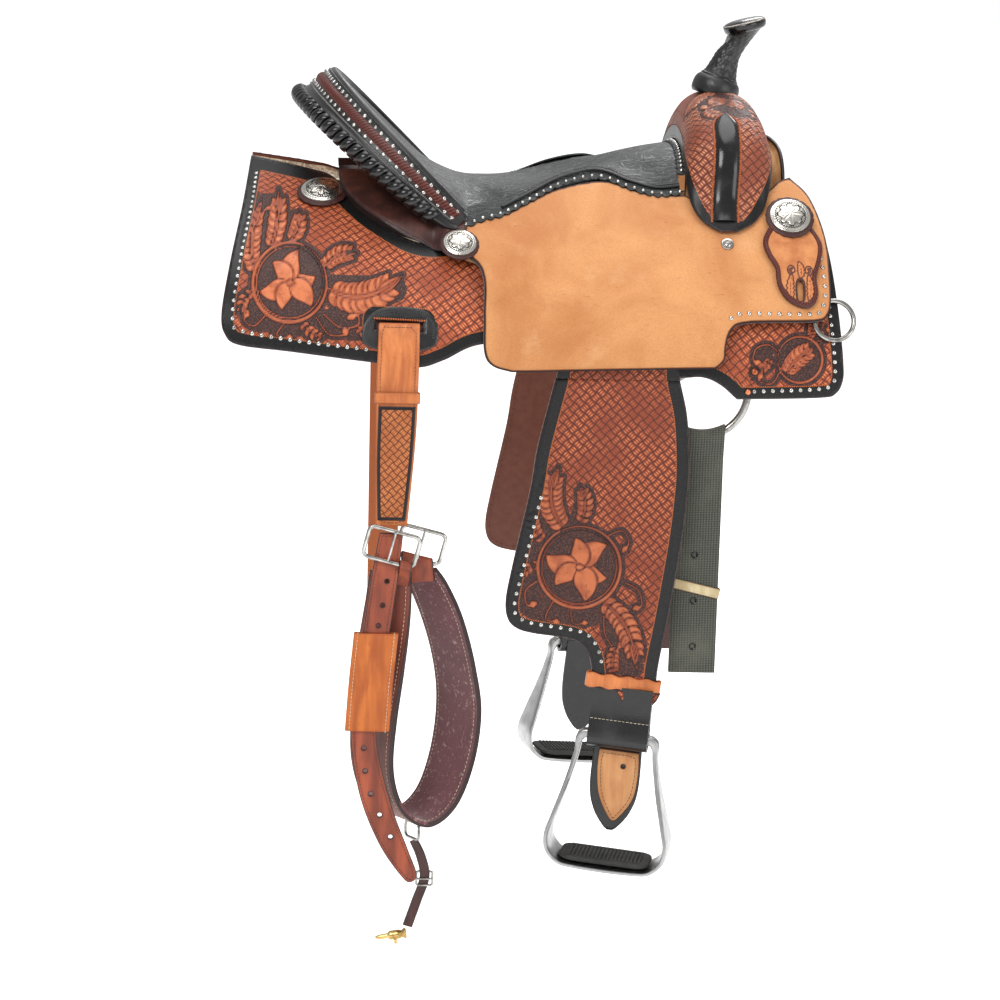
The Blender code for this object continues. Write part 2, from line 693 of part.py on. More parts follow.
def swell_arc(station, normal, inset, sides=12):
    """Points across the swell at one station, from its rear face over the crown to its front face."""
    y, z, middle, half, depth = station
    line = []
    for k in range(sides + 1):
        beta = math.pi * (k / sides - 0.5)
        across = math.copysign(abs(math.sin(beta)) ** (2 / 2.5), beta) * (half - inset)
        down = (1 - abs(math.cos(beta)) ** (2 / 2.5)) * (depth - inset * 0.5) + inset
        line.append(Vector((middle + across, y, z)) - normal * down)
    return line


def horn_direction():
    return Vector((math.sin(HORN_LEAN), 0, math.cos(HORN_LEAN)))


def horn_socket(name, radius):
    """A cutter for the horn post's hole."""
    foot = Vector(HORN_FOOT) - horn_direction() * 0.034
    return turned_solid(name, ((radius, 0.0), (radius, 0.060)), foot, horn_direction(), 20, "steel")


def build_fork():
    stations = arch_stations(ARCH)
    rings = []
    for i, station in enumerate(stations):
        normal = arch_normal(stations, i)
        outer = swell_arc(station, normal, 0.0)
        inner = swell_arc(station, normal, COVER_THICK)
        rings.append(outer + inner[::-1])
    cover = solid("fork_cover", *loft(rings), "carved")
    cut(cover, horn_socket("cutter_cover_bore", HORN_POST_RADIUS + 0.0004))

    core = [s for s in stations if s[1] > 0.115]
    rings = []
    for i, station in enumerate(core):
        normal = arch_normal(core, i)
        rings.append(swell_arc(station, normal, COVER_THICK + 0.0012, sides=10))
    fork = solid("fork", *loft(rings), "wood")
    cut(fork, horn_socket("cutter_fork_bore", HORN_POST_RADIUS + 0.0004))


def build_gullet_lining():
    stations = arch_stations(GULLET)
    rings = []
    for i, (y, z) in enumerate(stations):
        normal = arch_normal(stations, i)
        flare = 0.011 * abs(y) / GULLET[0][0]
        line = ((0.141, 0.0), (0.222, 0.0), (0.232, 0.003), (0.235 + flare, 0.010))
        outer = [Vector((x, y, z)) + normal * rise for x, rise in line]
        inner = [p - normal * 0.003 for p in outer]
        rings.append(outer + inner[::-1])
    solid("gullet_lining", *loft(rings), "strap")


def build_horn():
    up = horn_direction()
    foot = Vector(HORN_FOOT)
    start = foot - up * 0.030
    turned_solid("horn_post", ((HORN_POST_RADIUS, 0.0), (HORN_POST_RADIUS, 0.0898)), start, up, 16, "steel")
    bore = HORN_POST_RADIUS + 0.0004
    profile = (
        (bore, 0.0036), (0.0260, 0.0036), (0.0255, 0.0090), (0.0190, 0.0125), (0.0165, 0.0200), (0.0145, 0.0300),
        (0.0125, 0.0420), (0.0118, 0.0520), (0.0130, 0.0605), (bore, 0.0605),
    )
    solid("horn_wrap", *loft(turned(profile, foot, up, 18), closed=True), "black")
    cap_up = Vector((-math.sin(math.radians(15)), 0, math.cos(math.radians(15))))
    cap = ((0.0100, -0.0062), (0.0200, -0.0062), (0.0232, -0.0030), (0.0238, 0.0010), (0.0222, 0.0050),
           (0.0160, 0.0072), (0.0060, 0.0078))
    horn_cap = turned_solid("horn_cap", cap, HORN_CAP_CENTRE, cap_up, 24, "black", wide=1.12)
    stem = turned_solid("joined_stem", ((0.0112, 0.0612), (0.0112, 0.0685)), foot, up, 20, "black")
    cut(horn_cap, stem, "UNION")


def build_sides():
    for word, side in SIDES:
        skirt_in = -SKIRT_THICK
        fleece_out = skirt_in - FLEECE_GAP
        fleece_in = fleece_out - FLEECE_THICK
        panel(f"skirt_{word}", SKIRT_OUTLINE, skirt_in, 0.0, side, "carved", holes=(SLOT_OUTLINE,))
        panel(f"fleece_{word}", FLEECE_OUTLINE, fleece_in, fleece_out, side, "wool", 0.03, (FLEECE_SLOT,))
        panel(f"tree_bar_{word}", BAR_OUTLINE, BAR_SEAT, bar_height, side, "wood", 0.03)
        panel(f"seat_jockey_{word}", JOCKEY_OUTLINE, under_jockey, on_jockey, side, "roughout")
        build_trim(word, side)


def build_trim(word, side):
    def plate_in(x, z):
        return on_jockey(x, z) + DROP_PLATE_GAP

    def plate_out(x, z):
        return on_jockey(x, z) + DROP_PLATE_GAP + DROP_PLATE_THICK

    panel(f"drop_plate_{word}", DROP_OUTLINE, plate_in, plate_out, side, "carved", 0.012, (DROP_SLOT,))
    build_concho(f"front_concho_{word}", (0.2450, 0.0735), 0.0225, 0.0064, on_jockey, side)
    build_concho(f"seat_concho_{word}", (-0.107, 0.0420), 0.0180, 0.0024, on_jockey, side)
    build_concho(f"rear_concho_{word}", (-0.252, 0.0950), 0.0235, 0.0030, lambda x, z: 0.0, side)


def build_concho(name, place, radius, rise, carrier, side):
    """A domed concho on its leather rosette, flat underneath."""
    x, z = place
    low = side_point(x, z, carrier(x, z) + rise, side)
    direction = (side_point(x, z, carrier(x, z) + rise + 0.01, side) - low).normalized()
    dome = ((radius, 0.0), (radius, 0.0022), (radius * 0.80, 0.0026), (radius * 0.76, 0.0044),
            (radius * 0.45, 0.0062), (radius * 0.12, 0.0068))
    turned_solid(name, dome, low, direction, 20, "silver")


def build_stirrup_leathers():
    """The leathers over the tree bars, which stay put in their grooves."""
    for word, side in SIDES:
        panel(f"stirrup_leather_{word}", LEATHER_OUTLINE, leather_low, leather_high, side, "strap", 0.02)


def build_fenders():
    near, far = FENDER_PLANE, FENDER_PLANE + FENDER_THICK
    for word, side in SIDES:
        pivot = (SWING_PIVOT[0], side * SWING_HALF_WIDTH, SWING_PIVOT[1])
        bend = (SWING_PIVOT[0], side * SWING_HALF_WIDTH, FENDER_BEND_Z)
        bend_far = near + FENDER_TOP_THICK
        upright(f"fender_top_{word}", FENDER_TOP_OUTLINE, near, bend_far, side, "strap", origin=pivot)
        upright(f"fender_{word}", FENDER_OUTLINE, near, far, side, "carved", origin=bend)
        build_hobble(word, side, bend)


def build_hobble(word, side, bend):
    """A strap buckled round the fender's foot, with a gap for the fender inside it."""
    near, far = FENDER_PLANE - GAP, FENDER_PLANE + FENDER_THICK + GAP
    wall = 0.0025
    lean = math.radians(-7)
    middle = Vector((0.0795, -0.4095))

    loops = ((near - wall, far + wall, 0.0405), (near, far, 0.0380))
    points = []
    for height in (-0.0080, 0.0080):
        for y0, y1, reach in loops:
            for u, y in ((-reach, y0), (reach, y0), (reach, y1), (-reach, y1)):
                x = middle.x + u * math.cos(lean) - height * math.sin(lean)
                z = middle.y + u * math.sin(lean) + height * math.cos(lean)
                points.append(Vector((x, side * y, z)))
    faces = []
    for k in range(4):
        m = (k + 1) % 4
        faces.append((k, m, m + 8, k + 8))
        faces.append((k + 4, k + 12, m + 12, m + 4))
        faces.append((k, k + 4, m + 4, m))
        faces.append((k + 8, m + 8, m + 12, k + 12))
    solid(f"hobble_strap_{word}", points, faces, "strap", bend)


def stirrup_axes(side):
    """The stirrup's own directions: along its top bar, up, and out."""
    along = Vector((math.cos(STIRRUP_TURN), side * math.sin(STIRRUP_TURN), 0))
    turn = Matrix.Rotation(STIRRUP_LEAN, 3, Vector((0, 1, 0)))
    along = (turn @ along).normalized()
    out = Vector((-side * along.y, side * along.x, 0)).normalized()
    up = out.cross(along) * side * -1
    if up.z < 0:
        up.negate()
    return along, up, out


def stirrup_foot(side):
    return Vector((STIRRUP_TOP[0], side * STIRRUP_PLANE, STIRRUP_TOP[1]))


def build_stirrups():
    line = (
        (0.0, 0.000), (0.020, 0.0), (0.036, 0.001), (0.0415, -0.006), (0.0425, -0.020), (0.0500, -0.055),
        (0.0600, -0.092), (0.0645, -0.110), (0.0620, -0.126), (0.0500, -0.138), (0.0350, -0.1410), (0.0, -0.1420),
    )
    full = [(u, w) for u, w in line] + [(-u, w) for u, w in reversed(line[1:-1])]
    for word, side in SIDES:
        along, up, out = stirrup_axes(side)
        foot = stirrup_foot(side)
        rings = []
        for i, (u, w) in enumerate(full):
            before, after = full[i - 1], full[(i + 1) % len(full)]
            tangent = (Vector(after) - Vector(before)).normalized()
            outward = Vector((tangent.y, -tangent.x))
            if outward.dot(Vector((u, w + 0.07))) < 0:
                outward.negate()
            thick = 0.0028 + 0.0022 * ramp(w, -0.015, 0.0)
            deep = 0.0065 + 0.0215 * ramp(-w, 0.0, 0.125)
            ring = []
            for a, b in STIRRUP_SECTION:
                flat = Vector((u, w)) + outward * thick * a
                ring.append(foot + along * flat.x + up * flat.y + out * deep * b)
            rings.append(ring)
        solid(f"stirrup_{word}", *loft(rings, closed=True), "aluminium", foot)
        build_tread(word, side, along, up, out, foot)
        build_wrap(word, side, along, up, out, foot)


def build_tread(word, side, along, up, out, foot):
    """The rubber tread, flat on top, between the stirrup's sides."""
    loop = box_corner_loop(0.0490, 0.0265, 0.012)
    points = []
    for w, shrink in ((-0.1366, 0.80), (-0.1335, 0.98), (-0.1315, 1.0), (-0.1300, 0.96)):
        points += [foot + along * u * shrink + up * w + out * v * shrink for u, v in loop]
    rings = [points[i * len(loop):(i + 1) * len(loop)] for i in range(4)]
    solid(f"tread_{word}", *loft(rings), "rubber", foot)


def build_wrap(word, side, along, up, out, foot):
    """The leather loop round the stirrup's top bar, and its tail that hangs below inside."""
    half = 0.0325
    inner, wall = 0.0082, 0.0040
    arc = [math.radians(a) for a in range(180, 361, 30)]
    hollow = [(inner * math.cos(a), inner * math.sin(a)) for a in arc]
    skin = [((inner + wall) * math.cos(a), (inner + wall) * math.sin(a)) for a in arc]
    top = 0.0485
    neck = ((0.0016, 0.022), (0.0016, top), (0.0016 + wall, top), (0.0020 + wall, 0.024))
    section = (
        [(-0.0016 - wall, top), (-0.0020 - wall, 0.024)] + skin + [neck[3], neck[2], neck[1], neck[0]]
        + hollow[::-1] + [(-0.0016, 0.022), (-0.0016, top)]
    )
    rings = [[foot + along * u + out * v + up * w for v, w in section] for u in (-half, half)]
    wrap = solid(f"stirrup_wrap_{word}", *loft(rings), "black", foot)
    tail = (
        (-0.0255, 0.004, 1), (0.0255, 0.004, 1), (0.0265, -0.056), (0.0200, -0.084), (0.0065, -0.1035), (0.0, -0.106),
        (-0.0065, -0.1035), (-0.0200, -0.084), (-0.0265, -0.056),
    )
    behind = -(inner + wall)
    points, faces = sheet(
        curve_through(tail, 0.012), [],
        lambda u, w: foot + along * u + up * w + out * (behind - 0.0008),
        lambda u, w: foot + along * u + up * w + out * (behind + 0.0030),
    )
    joined = solid(f"joined_tail_{word}", points, faces, "strap", foot)
    cut(wrap, joined, "UNION")


def build_rigging():
    for word, side in SIDES:
        centre = Vector((RIGGING_CENTRE[0], side * RIGGING_PLANE, RIGGING_CENTRE[1]))
        hinge = centre + Vector((0, 0, RIGGING_RADIUS * RIGGING_TOP))
        rings = wire_ring(centre, (1, 0, 0), (0, 0, 1), RIGGING_RADIUS, RIGGING_WIRE, 24, top=RIGGING_TOP)
        solid(f"rigging_ring_{word}", *loft(rings, closed=True), "steel", hinge)
        centre = side_point(*BREAST_CENTRE, BREAST_LIFT, side)
        along = side_point(BREAST_CENTRE[0] + 0.01, BREAST_CENTRE[1], BREAST_LIFT, side) - centre
        down = side_point(BREAST_CENTRE[0], BREAST_CENTRE[1] - 0.01, BREAST_LIFT, side) - centre
        rings = wire_ring(centre, along, down, BREAST_RADIUS, BREAST_WIRE, 18, 6)
        solid(f"breast_ring_{word}", *loft(rings, closed=True), "steel", centre)
    foot = RIGGING_CENTRE[1] - RIGGING_RADIUS
    hung_strap("off_billet", RIGGING_CENTRE[0], foot, 0.050, -0.402, RIGHT, "webbing")
    hung_strap("latigo", RIGGING_CENTRE[0], foot, 0.044, -0.470, LEFT, "brown")


def hung_strap(name, x, ring_z, wide, low, side, finish):
    """A strap doubled over the foot of a ring and hanging from it."""
    bore, wall = RIGGING_WIRE + 0.0013, 0.0024
    arc = [math.radians(a) for a in range(0, 181, 30)]
    skin = [((bore + wall) * math.cos(a), (bore + wall) * math.sin(a)) for a in arc]
    hollow = [(bore * math.cos(a), bore * math.sin(a)) for a in arc]
    flat = 0.0003
    section = (
        skin + [(-wall - flat, -0.020), (-wall - flat, low - ring_z), (-flat, low - ring_z), (-flat, -0.016)]
        + hollow[::-1] + [(flat, -0.016), (flat, low - ring_z), (wall + flat, low - ring_z), (wall + flat, -0.020)]
    )
    foot = Vector((x, side * RIGGING_PLANE, ring_z))
    rings = []
    for u in (-wide / 2, wide / 2):
        off = x + u - RIGGING_CENTRE[0]
        bend = RIGGING_RADIUS - math.sqrt(RIGGING_RADIUS**2 - off**2)
        rings.append([foot + Vector((u, side * v, w + bend * ramp(w, -0.03, 0.0))) for v, w in section])
    middle = [foot + Vector((0, side * v, w)) for v, w in section]
    rings = [rings[0], middle, rings[1]]
    middle = Vector((x, side * RIGGING_PLANE, RIGGING_CENTRE[1]))
    solid(name, *loft(rings), finish, middle)


def billet_near(x, z):
    """The billet's inner face: out of the slot, over the skirt's edge, then straight down."""
    return half_width(BILLET_SLOT[0], max(z, BILLET_STRAIGHT_Z)) + BILLET_GAP


def billet_far(x, z):
    return billet_near(x, z) + STRAP_THICK


def build_rear_billets():
    outline = (
        (-0.1905, -0.0270, 1), (-0.1475, -0.0270, 1), (-0.1480, -0.106), (-0.1500, -0.160), (-0.1560, -0.240, 1),
        (-0.1890, -0.240, 1), (-0.1915, -0.106),
    )
    for word, side in SIDES:
        hinge = CINCH_HINGE
        if side == LEFT:
            hinge = (BILLET_SLOT[0], billet_near(*BILLET_SLOT), BILLET_SLOT[1])
        reach = outline if side == RIGHT else [(x, z * 1.9 if z < -0.2 else z, *c) for x, z, *c in outline]
        upright(f"rear_billet_{word}", reach, billet_near, billet_far, side, "strap", 0.03, origin=hinge)


def build_flank_cinch():
    """The cinch hung up in a loop by both its buckles, twisted so that it shows its lining."""
    stations = (
        ((-0.172, -0.2440, -0.292), 0.045, 5), ((-0.174, -0.2380, -0.332), 0.052, 20),
        ((-0.180, -0.2290, -0.392), 0.062, 38), ((-0.186, -0.2220, -0.455), 0.070, 50),
        ((-0.186, -0.2190, -0.510), 0.072, 55), ((-0.172, -0.2120, -0.552), 0.072, 56),
        ((-0.143, -0.1990, -0.571), 0.070, 56), ((-0.116, -0.1860, -0.553), 0.072, 56),
        ((-0.099, -0.1760, -0.508), 0.074, 55), ((-0.093, -0.1720, -0.453), 0.074, 54),
        ((-0.100, -0.1760, -0.402), 0.068, 52), ((-0.114, -0.1880, -0.352), 0.058, 42),
        ((-0.130, -0.2040, -0.314), 0.046, 25), ((-0.140, -0.2150, -0.298), 0.040, 8),
    )
    solid("flank_cinch", *loft(ribbon(stations, 0.007)), "lining", CINCH_HINGE)
    tail = (
        (-0.1850, -0.2465, 1), (-0.1600, -0.2465, 1), (-0.1640, -0.290), (-0.1720, -0.354), (-0.1790, -0.410),
        (-0.1830, -0.470), (-0.1660, -0.540), (-0.1470, -0.590), (-0.1370, -0.617), (-0.1430, -0.626),
        (-0.1530, -0.620), (-0.1780, -0.584), (-0.2000, -0.530), (-0.2110, -0.463), (-0.2070, -0.405),
        (-0.2000, -0.354), (-0.1920, -0.290),
    )
    near = BILLET_PLANE + STRAP_THICK + LAYER_GAP
    upright("billet_tail", tail, near, near + TAIL_THICK, RIGHT, "strap", 0.025, origin=CINCH_HINGE)
    build_sleeve(near)
    build_buckles()
    build_connector()


def build_sleeve(near):
    """The flattened leather sleeve round the billet's tail."""
    room, wall = 0.0012, 0.0030
    size = 8
    points = []
    for x, z in ((-0.1860, -0.354), (-0.1905, -0.408), (-0.1935, -0.460)):
        for half, low, high in (
            (0.0235, near - room - wall, near + TAIL_THICK + room + wall),
            (0.0208, near - room, near + TAIL_THICK + room),
        ):
            loop = (
                (-half, low + 0.002), (-half + 0.002, low), (half - 0.002, low), (half, low + 0.002),
                (half, high - 0.002), (half - 0.002, high), (-half + 0.002, high), (-half, high - 0.002),
            )
            points += [Vector((x + u, -y, z)) for u, y in loop]
    faces = []
    last = 4 * size
    for k in range(size):
        m = (k + 1) % size
        for a in (0, 2 * size):
            b = a + 2 * size
            faces.append((a + k, a + m, b + m, b + k))
            faces.append((a + size + k, b + size + k, b + size + m, a + size + m))
        faces.append((k, k + size, m + size, m))
        faces.append((last + k, last + m, last + m + size, last + k + size))
    solid("cinch_sleeve", points, faces, "strap", CINCH_HINGE)


def build_buckles():
    """Each buckle's tongue hangs from its upper bar and rests across the lower one."""
    tilt = math.radians(14)
    lean = Vector((math.cos(tilt), 0, -math.sin(tilt)))
    rise = Vector((math.sin(tilt), 0, math.cos(tilt)))
    buckles = (
        ("front", (-0.1720, -0.2660, -0.2600), 0.0275),
        ("rear", (-0.1400, -0.2200, -0.2660), 0.0240),
    )
    for word, place, half_wide in buckles:
        centre = Vector(place)
        rings = wire_frame(centre, lean, rise, half_wide, BUCKLE_HALF_TALL, 0.006, BUCKLE_WIRE)
        solid(f"buckle_{word}", *loft(rings, closed=True), "steel", CINCH_HINGE)
        foot = centre + rise * BUCKLE_HALF_TALL
        tongue = ((-0.0013, 0.0), (0.0013, 0.0), (0.0011, -TONGUE_LENGTH), (-0.0011, -TONGUE_LENGTH))
        rings = []
        for depth in (-0.0060, -0.0034):
            rings.append([foot + lean * u + rise * v + Vector((0, depth, 0)) for u, v in tongue])
        solid(f"tongue_{word}", *loft(rings), "steel", foot)


def connector_y(z):
    """The connector hangs inward as it goes down, so that the snap's weight is under the dee."""
    return -0.1990 + 0.0200 * ramp(z, -0.5975, -0.7085)


def build_connector():
    across = Vector((math.cos(math.radians(56)), -math.sin(math.radians(56)), 0))
    top = Vector((-0.141, -0.1990, -0.5765))
    rings = wire_frame(top - Vector((0, 0, 0.0090)), across, (0, 0, 1), 0.0125, 0.0090, 0.005, 0.0017)
    solid("cinch_dee", *loft(rings, closed=True), "steel", top)
    middle = ((-0.1390, -0.5975, 30), (-0.1310, -0.6150, 10), (-0.1260, -0.6400, 0), (-0.1340, -0.6700, 0),
              (-0.1430, -0.7000, 0))
    stations = [((x, connector_y(z), z), 0.0110, twist) for x, z, twist in middle]
    solid("connector_strap", *loft(ribbon(stations, 0.0040)), "brown", stations[0][0])
    build_snap()


def build_snap():
    along = Vector((-0.985, 0, -0.17)).normalized()
    eye = Vector((-0.1440, connector_y(-0.7085), -0.7085))
    body = ((0.0050, 0.0), (0.0060, 0.002), (0.0042, 0.005), (0.0050, 0.008), (0.0050, 0.018), (0.0030, 0.020),
            (0.0024, 0.030), (0.0012, 0.0345))
    turned_solid("snap", body, eye, along, 10, "brass", origin=eye)
    down = along.cross(Vector((0, 1, 0))).normalized()
    if down.z > 0:
        down.negate()
    thumb = ((0.0018, 0.0), (0.0018, 0.004), (0.0012, 0.005))
    turned_solid("snap_trigger", thumb, eye + along * 0.013 + down * 0.0053, down, 8, "brass", origin=eye)


def main():
    clear_scene()
    build_seat()
    build_cantle_roll()
    build_fork()
    build_gullet_lining()
    build_horn()
    build_sides()
    build_stirrup_leathers()
    build_fenders()
    build_stirrups()
    build_rigging()
    build_rear_billets()
    build_flank_cinch()


main()
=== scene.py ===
"""Dresses the barrel saddle: carved and stamped leather, roughout jockeys, laced cantle and rigging."""

import math

import bmesh
import bpy
import numpy as np
from mathutils import Matrix, Vector
from mathutils.geometry import delaunay_2d_cdt


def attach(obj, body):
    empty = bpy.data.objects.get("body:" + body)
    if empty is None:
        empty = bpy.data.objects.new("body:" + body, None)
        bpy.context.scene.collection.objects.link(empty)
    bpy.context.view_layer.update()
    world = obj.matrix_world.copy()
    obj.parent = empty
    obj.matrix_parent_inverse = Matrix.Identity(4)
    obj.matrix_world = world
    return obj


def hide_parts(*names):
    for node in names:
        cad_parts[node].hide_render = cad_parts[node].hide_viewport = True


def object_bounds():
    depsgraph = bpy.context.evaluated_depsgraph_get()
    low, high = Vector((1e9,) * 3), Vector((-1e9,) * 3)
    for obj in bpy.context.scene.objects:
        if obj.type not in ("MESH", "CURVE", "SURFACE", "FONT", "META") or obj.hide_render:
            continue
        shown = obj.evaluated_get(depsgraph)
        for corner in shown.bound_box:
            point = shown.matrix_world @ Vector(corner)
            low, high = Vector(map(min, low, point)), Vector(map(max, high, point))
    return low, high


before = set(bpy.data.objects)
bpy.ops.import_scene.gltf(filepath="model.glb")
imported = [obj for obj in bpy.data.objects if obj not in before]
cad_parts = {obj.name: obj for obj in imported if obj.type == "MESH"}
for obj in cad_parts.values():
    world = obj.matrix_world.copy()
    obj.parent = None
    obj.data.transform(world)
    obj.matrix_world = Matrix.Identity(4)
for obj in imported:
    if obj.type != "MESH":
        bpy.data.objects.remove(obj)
CAD_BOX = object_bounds()

RIGHT = -1
LEFT = 1
SIDES = (("right", RIGHT), ("left", LEFT))
MM = 0.001

# Sizes shared with the solids
SKIRT_THICK = 0.005
JOCKEY_THICK = 0.004
LAYER_GAP = 0.001
BAR_ROOM = 0.0120
BAR_TAIL_ROOM = 0.0055
GROOVE_DEPTH = 0.0058
LEATHER_THICK = 0.0045
SEAT_THICK = 0.014
COVER_THICK = 0.0035
BOARD_THICK = 0.018
CANTLE_HALF_WIDTH = 0.171
CANTLE_FOOT = (-0.099, 0.079)
CANTLE_TOP = (-0.242, 0.221)
HORN_LEAN = math.radians(18)
CAP_TILT = math.radians(-15)
HORN_FOOT = (0.1805, 0.0, 0.213)
HORN_CAP_CENTRE = (0.2105, 0.0, 0.2835)
FENDER_PLANE = 0.2318
FENDER_THICK = 0.0048
STIRRUP_TOP = (0.0765, -0.470)
STIRRUP_LEAN = math.radians(4)
STIRRUP_TURN = math.radians(12)
STIRRUP_PLANE = 0.2336
BILLET_PLANE = 0.2510
STRAP_THICK = 0.006
TAIL_THICK = 0.0035
RING_CENTRE = (0.155, 0.2100, -0.0965)
RING_RADIUS = 0.0485
RING_WIRE = 0.0042
HUNG_WALL = 0.0024
HUNG_GAP = 0.0003
NECK_BEND_START = 0.036
NECK_TOP = 0.069
BUCKLE_TILT = math.radians(14)
DEE_TURN = math.radians(56)
CONNECTOR_TOP = -0.5975
SNAP_TOP = -0.7085
SNAP_AXIS = (-0.985, 0, -0.17)

# Sizes of the dressing alone
STUD_SPACING = 0.0098
STITCH_SPACING = 0.0040
UNDERSIDE_CELL = 0.024
SEAT_SWELL = 0.0016
SEAT_SWELL_MOST = 0.0030
NO_LINE = 50.0

# Outlines in X and Z, as seen from the side. A third number marks a corner.
SKIRT_OUTLINE = (
    (-0.331, 0.130, 1), (-0.337, 0.085), (-0.347, 0.030), (-0.354, -0.020), (-0.350, -0.042),
    (-0.335, -0.053),
    (-0.280, -0.059), (-0.200, -0.068), (-0.150, -0.073), (-0.122, -0.065), (-0.084, -0.048),
    (-0.020, -0.046),
    (0.060, -0.062), (0.120, -0.079), (0.152, -0.079), (0.172, -0.087), (0.190, -0.102, 1), (0.278, -0.099),
    (0.296, -0.094), (0.303, -0.080), (0.303, -0.060), (0.298, -0.010), (0.291, 0.045), (0.282, 0.082),
    (0.266, 0.108), (0.250, 0.117, 1), (0.140, 0.096), (0.020, 0.093), (-0.060, 0.076), (-0.110, 0.054),
    (-0.150, 0.052), (-0.190, 0.070), (-0.222, 0.092), (-0.240, 0.112), (-0.270, 0.120),
)
FLEECE_OUTLINE = (
    (-0.328, 0.131, 1), (-0.333, 0.085), (-0.343, 0.030), (-0.350, -0.020), (-0.346, -0.037),
    (-0.333, -0.046),
    (-0.280, -0.052), (-0.200, -0.060), (-0.150, -0.066), (-0.122, -0.058), (-0.084, -0.042),
    (-0.020, -0.042),
    (0.050, -0.056), (0.082, -0.056, 1), (0.090, -0.038, 1), (0.206, -0.040, 1), (0.214, -0.095, 1),
    (0.278, -0.095), (0.292, -0.090), (0.299, -0.078), (0.299, -0.060), (0.294, -0.010), (0.287, 0.045),
    (0.278, 0.080), (0.262, 0.104), (0.246, 0.110, 1), (0.140, 0.090), (0.020, 0.087), (-0.060, 0.072),
    (-0.110, 0.056), (-0.150, 0.056), (-0.190, 0.074), (-0.222, 0.096), (-0.240, 0.115), (-0.270, 0.121),
)
SLOT_OUTLINE = (
    (-0.194, -0.024, 1), (-0.144, -0.026, 1), (-0.144, -0.036, 1), (-0.194, -0.034, 1),
)
FLEECE_SLOT = ((-0.198, -0.018, 1), (-0.140, -0.020, 1), (-0.140, -0.042, 1), (-0.198, -0.040, 1))
JOCKEY_OUTLINE = (
    (-0.106, 0.060, 1), (-0.124, 0.048), (-0.112, 0.038), (-0.093, 0.029), (-0.083, 0.014), (-0.081, -0.020),
    (-0.080, -0.056), (-0.071, -0.070), (-0.052, -0.0755, 1), (0.164, -0.070, 1), (0.173, -0.061),
    (0.174, -0.048), (0.180, -0.032), (0.198, -0.0255), (0.269, -0.022), (0.283, -0.016), (0.287, -0.003),
    (0.287, 0.020), (0.284, 0.060), (0.270, 0.098), (0.250, 0.1165, 1), (0.238, 0.1120, 1), (0.224, 0.101),
    (0.200, 0.088), (0.176, 0.0845), (0.156, 0.088), (0.136, 0.094, 1), (0.120, 0.093), (0.090, 0.095),
    (0.050, 0.104), (0.000, 0.095), (-0.036, 0.080), (-0.062, 0.069), (-0.096, 0.066),
)
DROP_OUTLINE = (
    (0.230, 0.072), (0.216, 0.054), (0.218, 0.040), (0.227, 0.026), (0.229, 0.010), (0.237, -0.002),
    (0.250, -0.009), (0.263, -0.010), (0.271, -0.001), (0.270, 0.018), (0.276, 0.036), (0.278, 0.050),
    (0.272, 0.062), (0.262, 0.072), (0.246, 0.078),
)
DROP_SLOT = (
    (0.2500, 0.012), (0.2530, 0.0155), (0.2560, 0.012), (0.2560, -0.001), (0.2530, -0.0045), (0.2500, -0.001),
)
FENDER_OUTLINE = (
    (-0.0035, -0.0825, 1), (-0.020, -0.155), (-0.027, -0.204), (-0.043, -0.284), (-0.049, -0.322),
    (-0.046, -0.342), (-0.036, -0.352), (-0.018, -0.357), (0.014, -0.361), (0.031, -0.366), (0.042, -0.380),
    (0.046, -0.402), (0.0455, -0.4150, 1), (0.1130, -0.4205, 1), (0.115, -0.408), (0.117, -0.387),
    (0.125, -0.338), (0.131, -0.296), (0.137, -0.250), (0.141, -0.200), (0.141, -0.165), (0.137, -0.120),
    (0.1280, -0.0825, 1),
)
FENDER_TOP_OUTLINE = (
    (0.052, -0.050, 1), (0.078, -0.050, 1), (0.092, -0.062), (0.098, -0.0765, 1), (0.032, -0.0765, 1),
    (0.038, -0.062),
)
LEATHER_OUTLINE = (
    (0.034, 0.066, 1), (0.106, 0.066, 1), (0.106, -0.033, 1), (0.034, -0.033, 1),
)

# Swell arch from the right foot to the crown: half width, height, middle X, half length in X, wrap depth.
ARCH = (
    (0.1855, 0.0720, 0.1790, 0.009, 0.0020), (0.1795, 0.0800, 0.1795, 0.024, 0.0030),
    (0.1715, 0.0905, 0.1800, 0.034, 0.0050), (0.1640, 0.1040, 0.1805, 0.041, 0.0080),
    (0.1595, 0.1210, 0.1815, 0.0450, 0.017), (0.1555, 0.1420, 0.1825, 0.0470, 0.030),
    (0.1445, 0.1640, 0.1830, 0.0475, 0.042), (0.1220, 0.1840, 0.1830, 0.0470, 0.048),
    (0.0880, 0.1990, 0.1830, 0.0460, 0.051), (0.0460, 0.2080, 0.1825, 0.0450, 0.053),
    (0.0, 0.2115, 0.1820, 0.0440, 0.054),
)
GULLET = (
    (0.0860, 0.0930), (0.0900, 0.1120), (0.0870, 0.1290), (0.0720, 0.1430), (0.0400, 0.1510), (0.0, 0.1535),
)

# Seat, from the swell back to the cantle: its centre line in X and Z, and its edge line on the side.
SEAT_CENTRE = (
    (0.1335, 0.1515), (0.098, 0.1450), (0.062, 0.1350), (0.028, 0.1215), (-0.014, 0.1110), (-0.056, 0.1080),
    (-0.100, 0.1110), (-0.138, 0.1250), (-0.170, 0.1490), (-0.198, 0.1760), (-0.221, 0.2000),
    (-0.238, 0.2180),
)
SEAT_EDGE = (
    (0.1320, 0.1000), (0.1060, 0.0975), (0.0780, 0.1030), (0.0450, 0.1120), (0.0050, 0.1040),
    (-0.0320, 0.0875),
    (-0.0620, 0.0740),
)
APRON_END = ((-0.0800, 0.0705), (-0.1000, 0.0650))


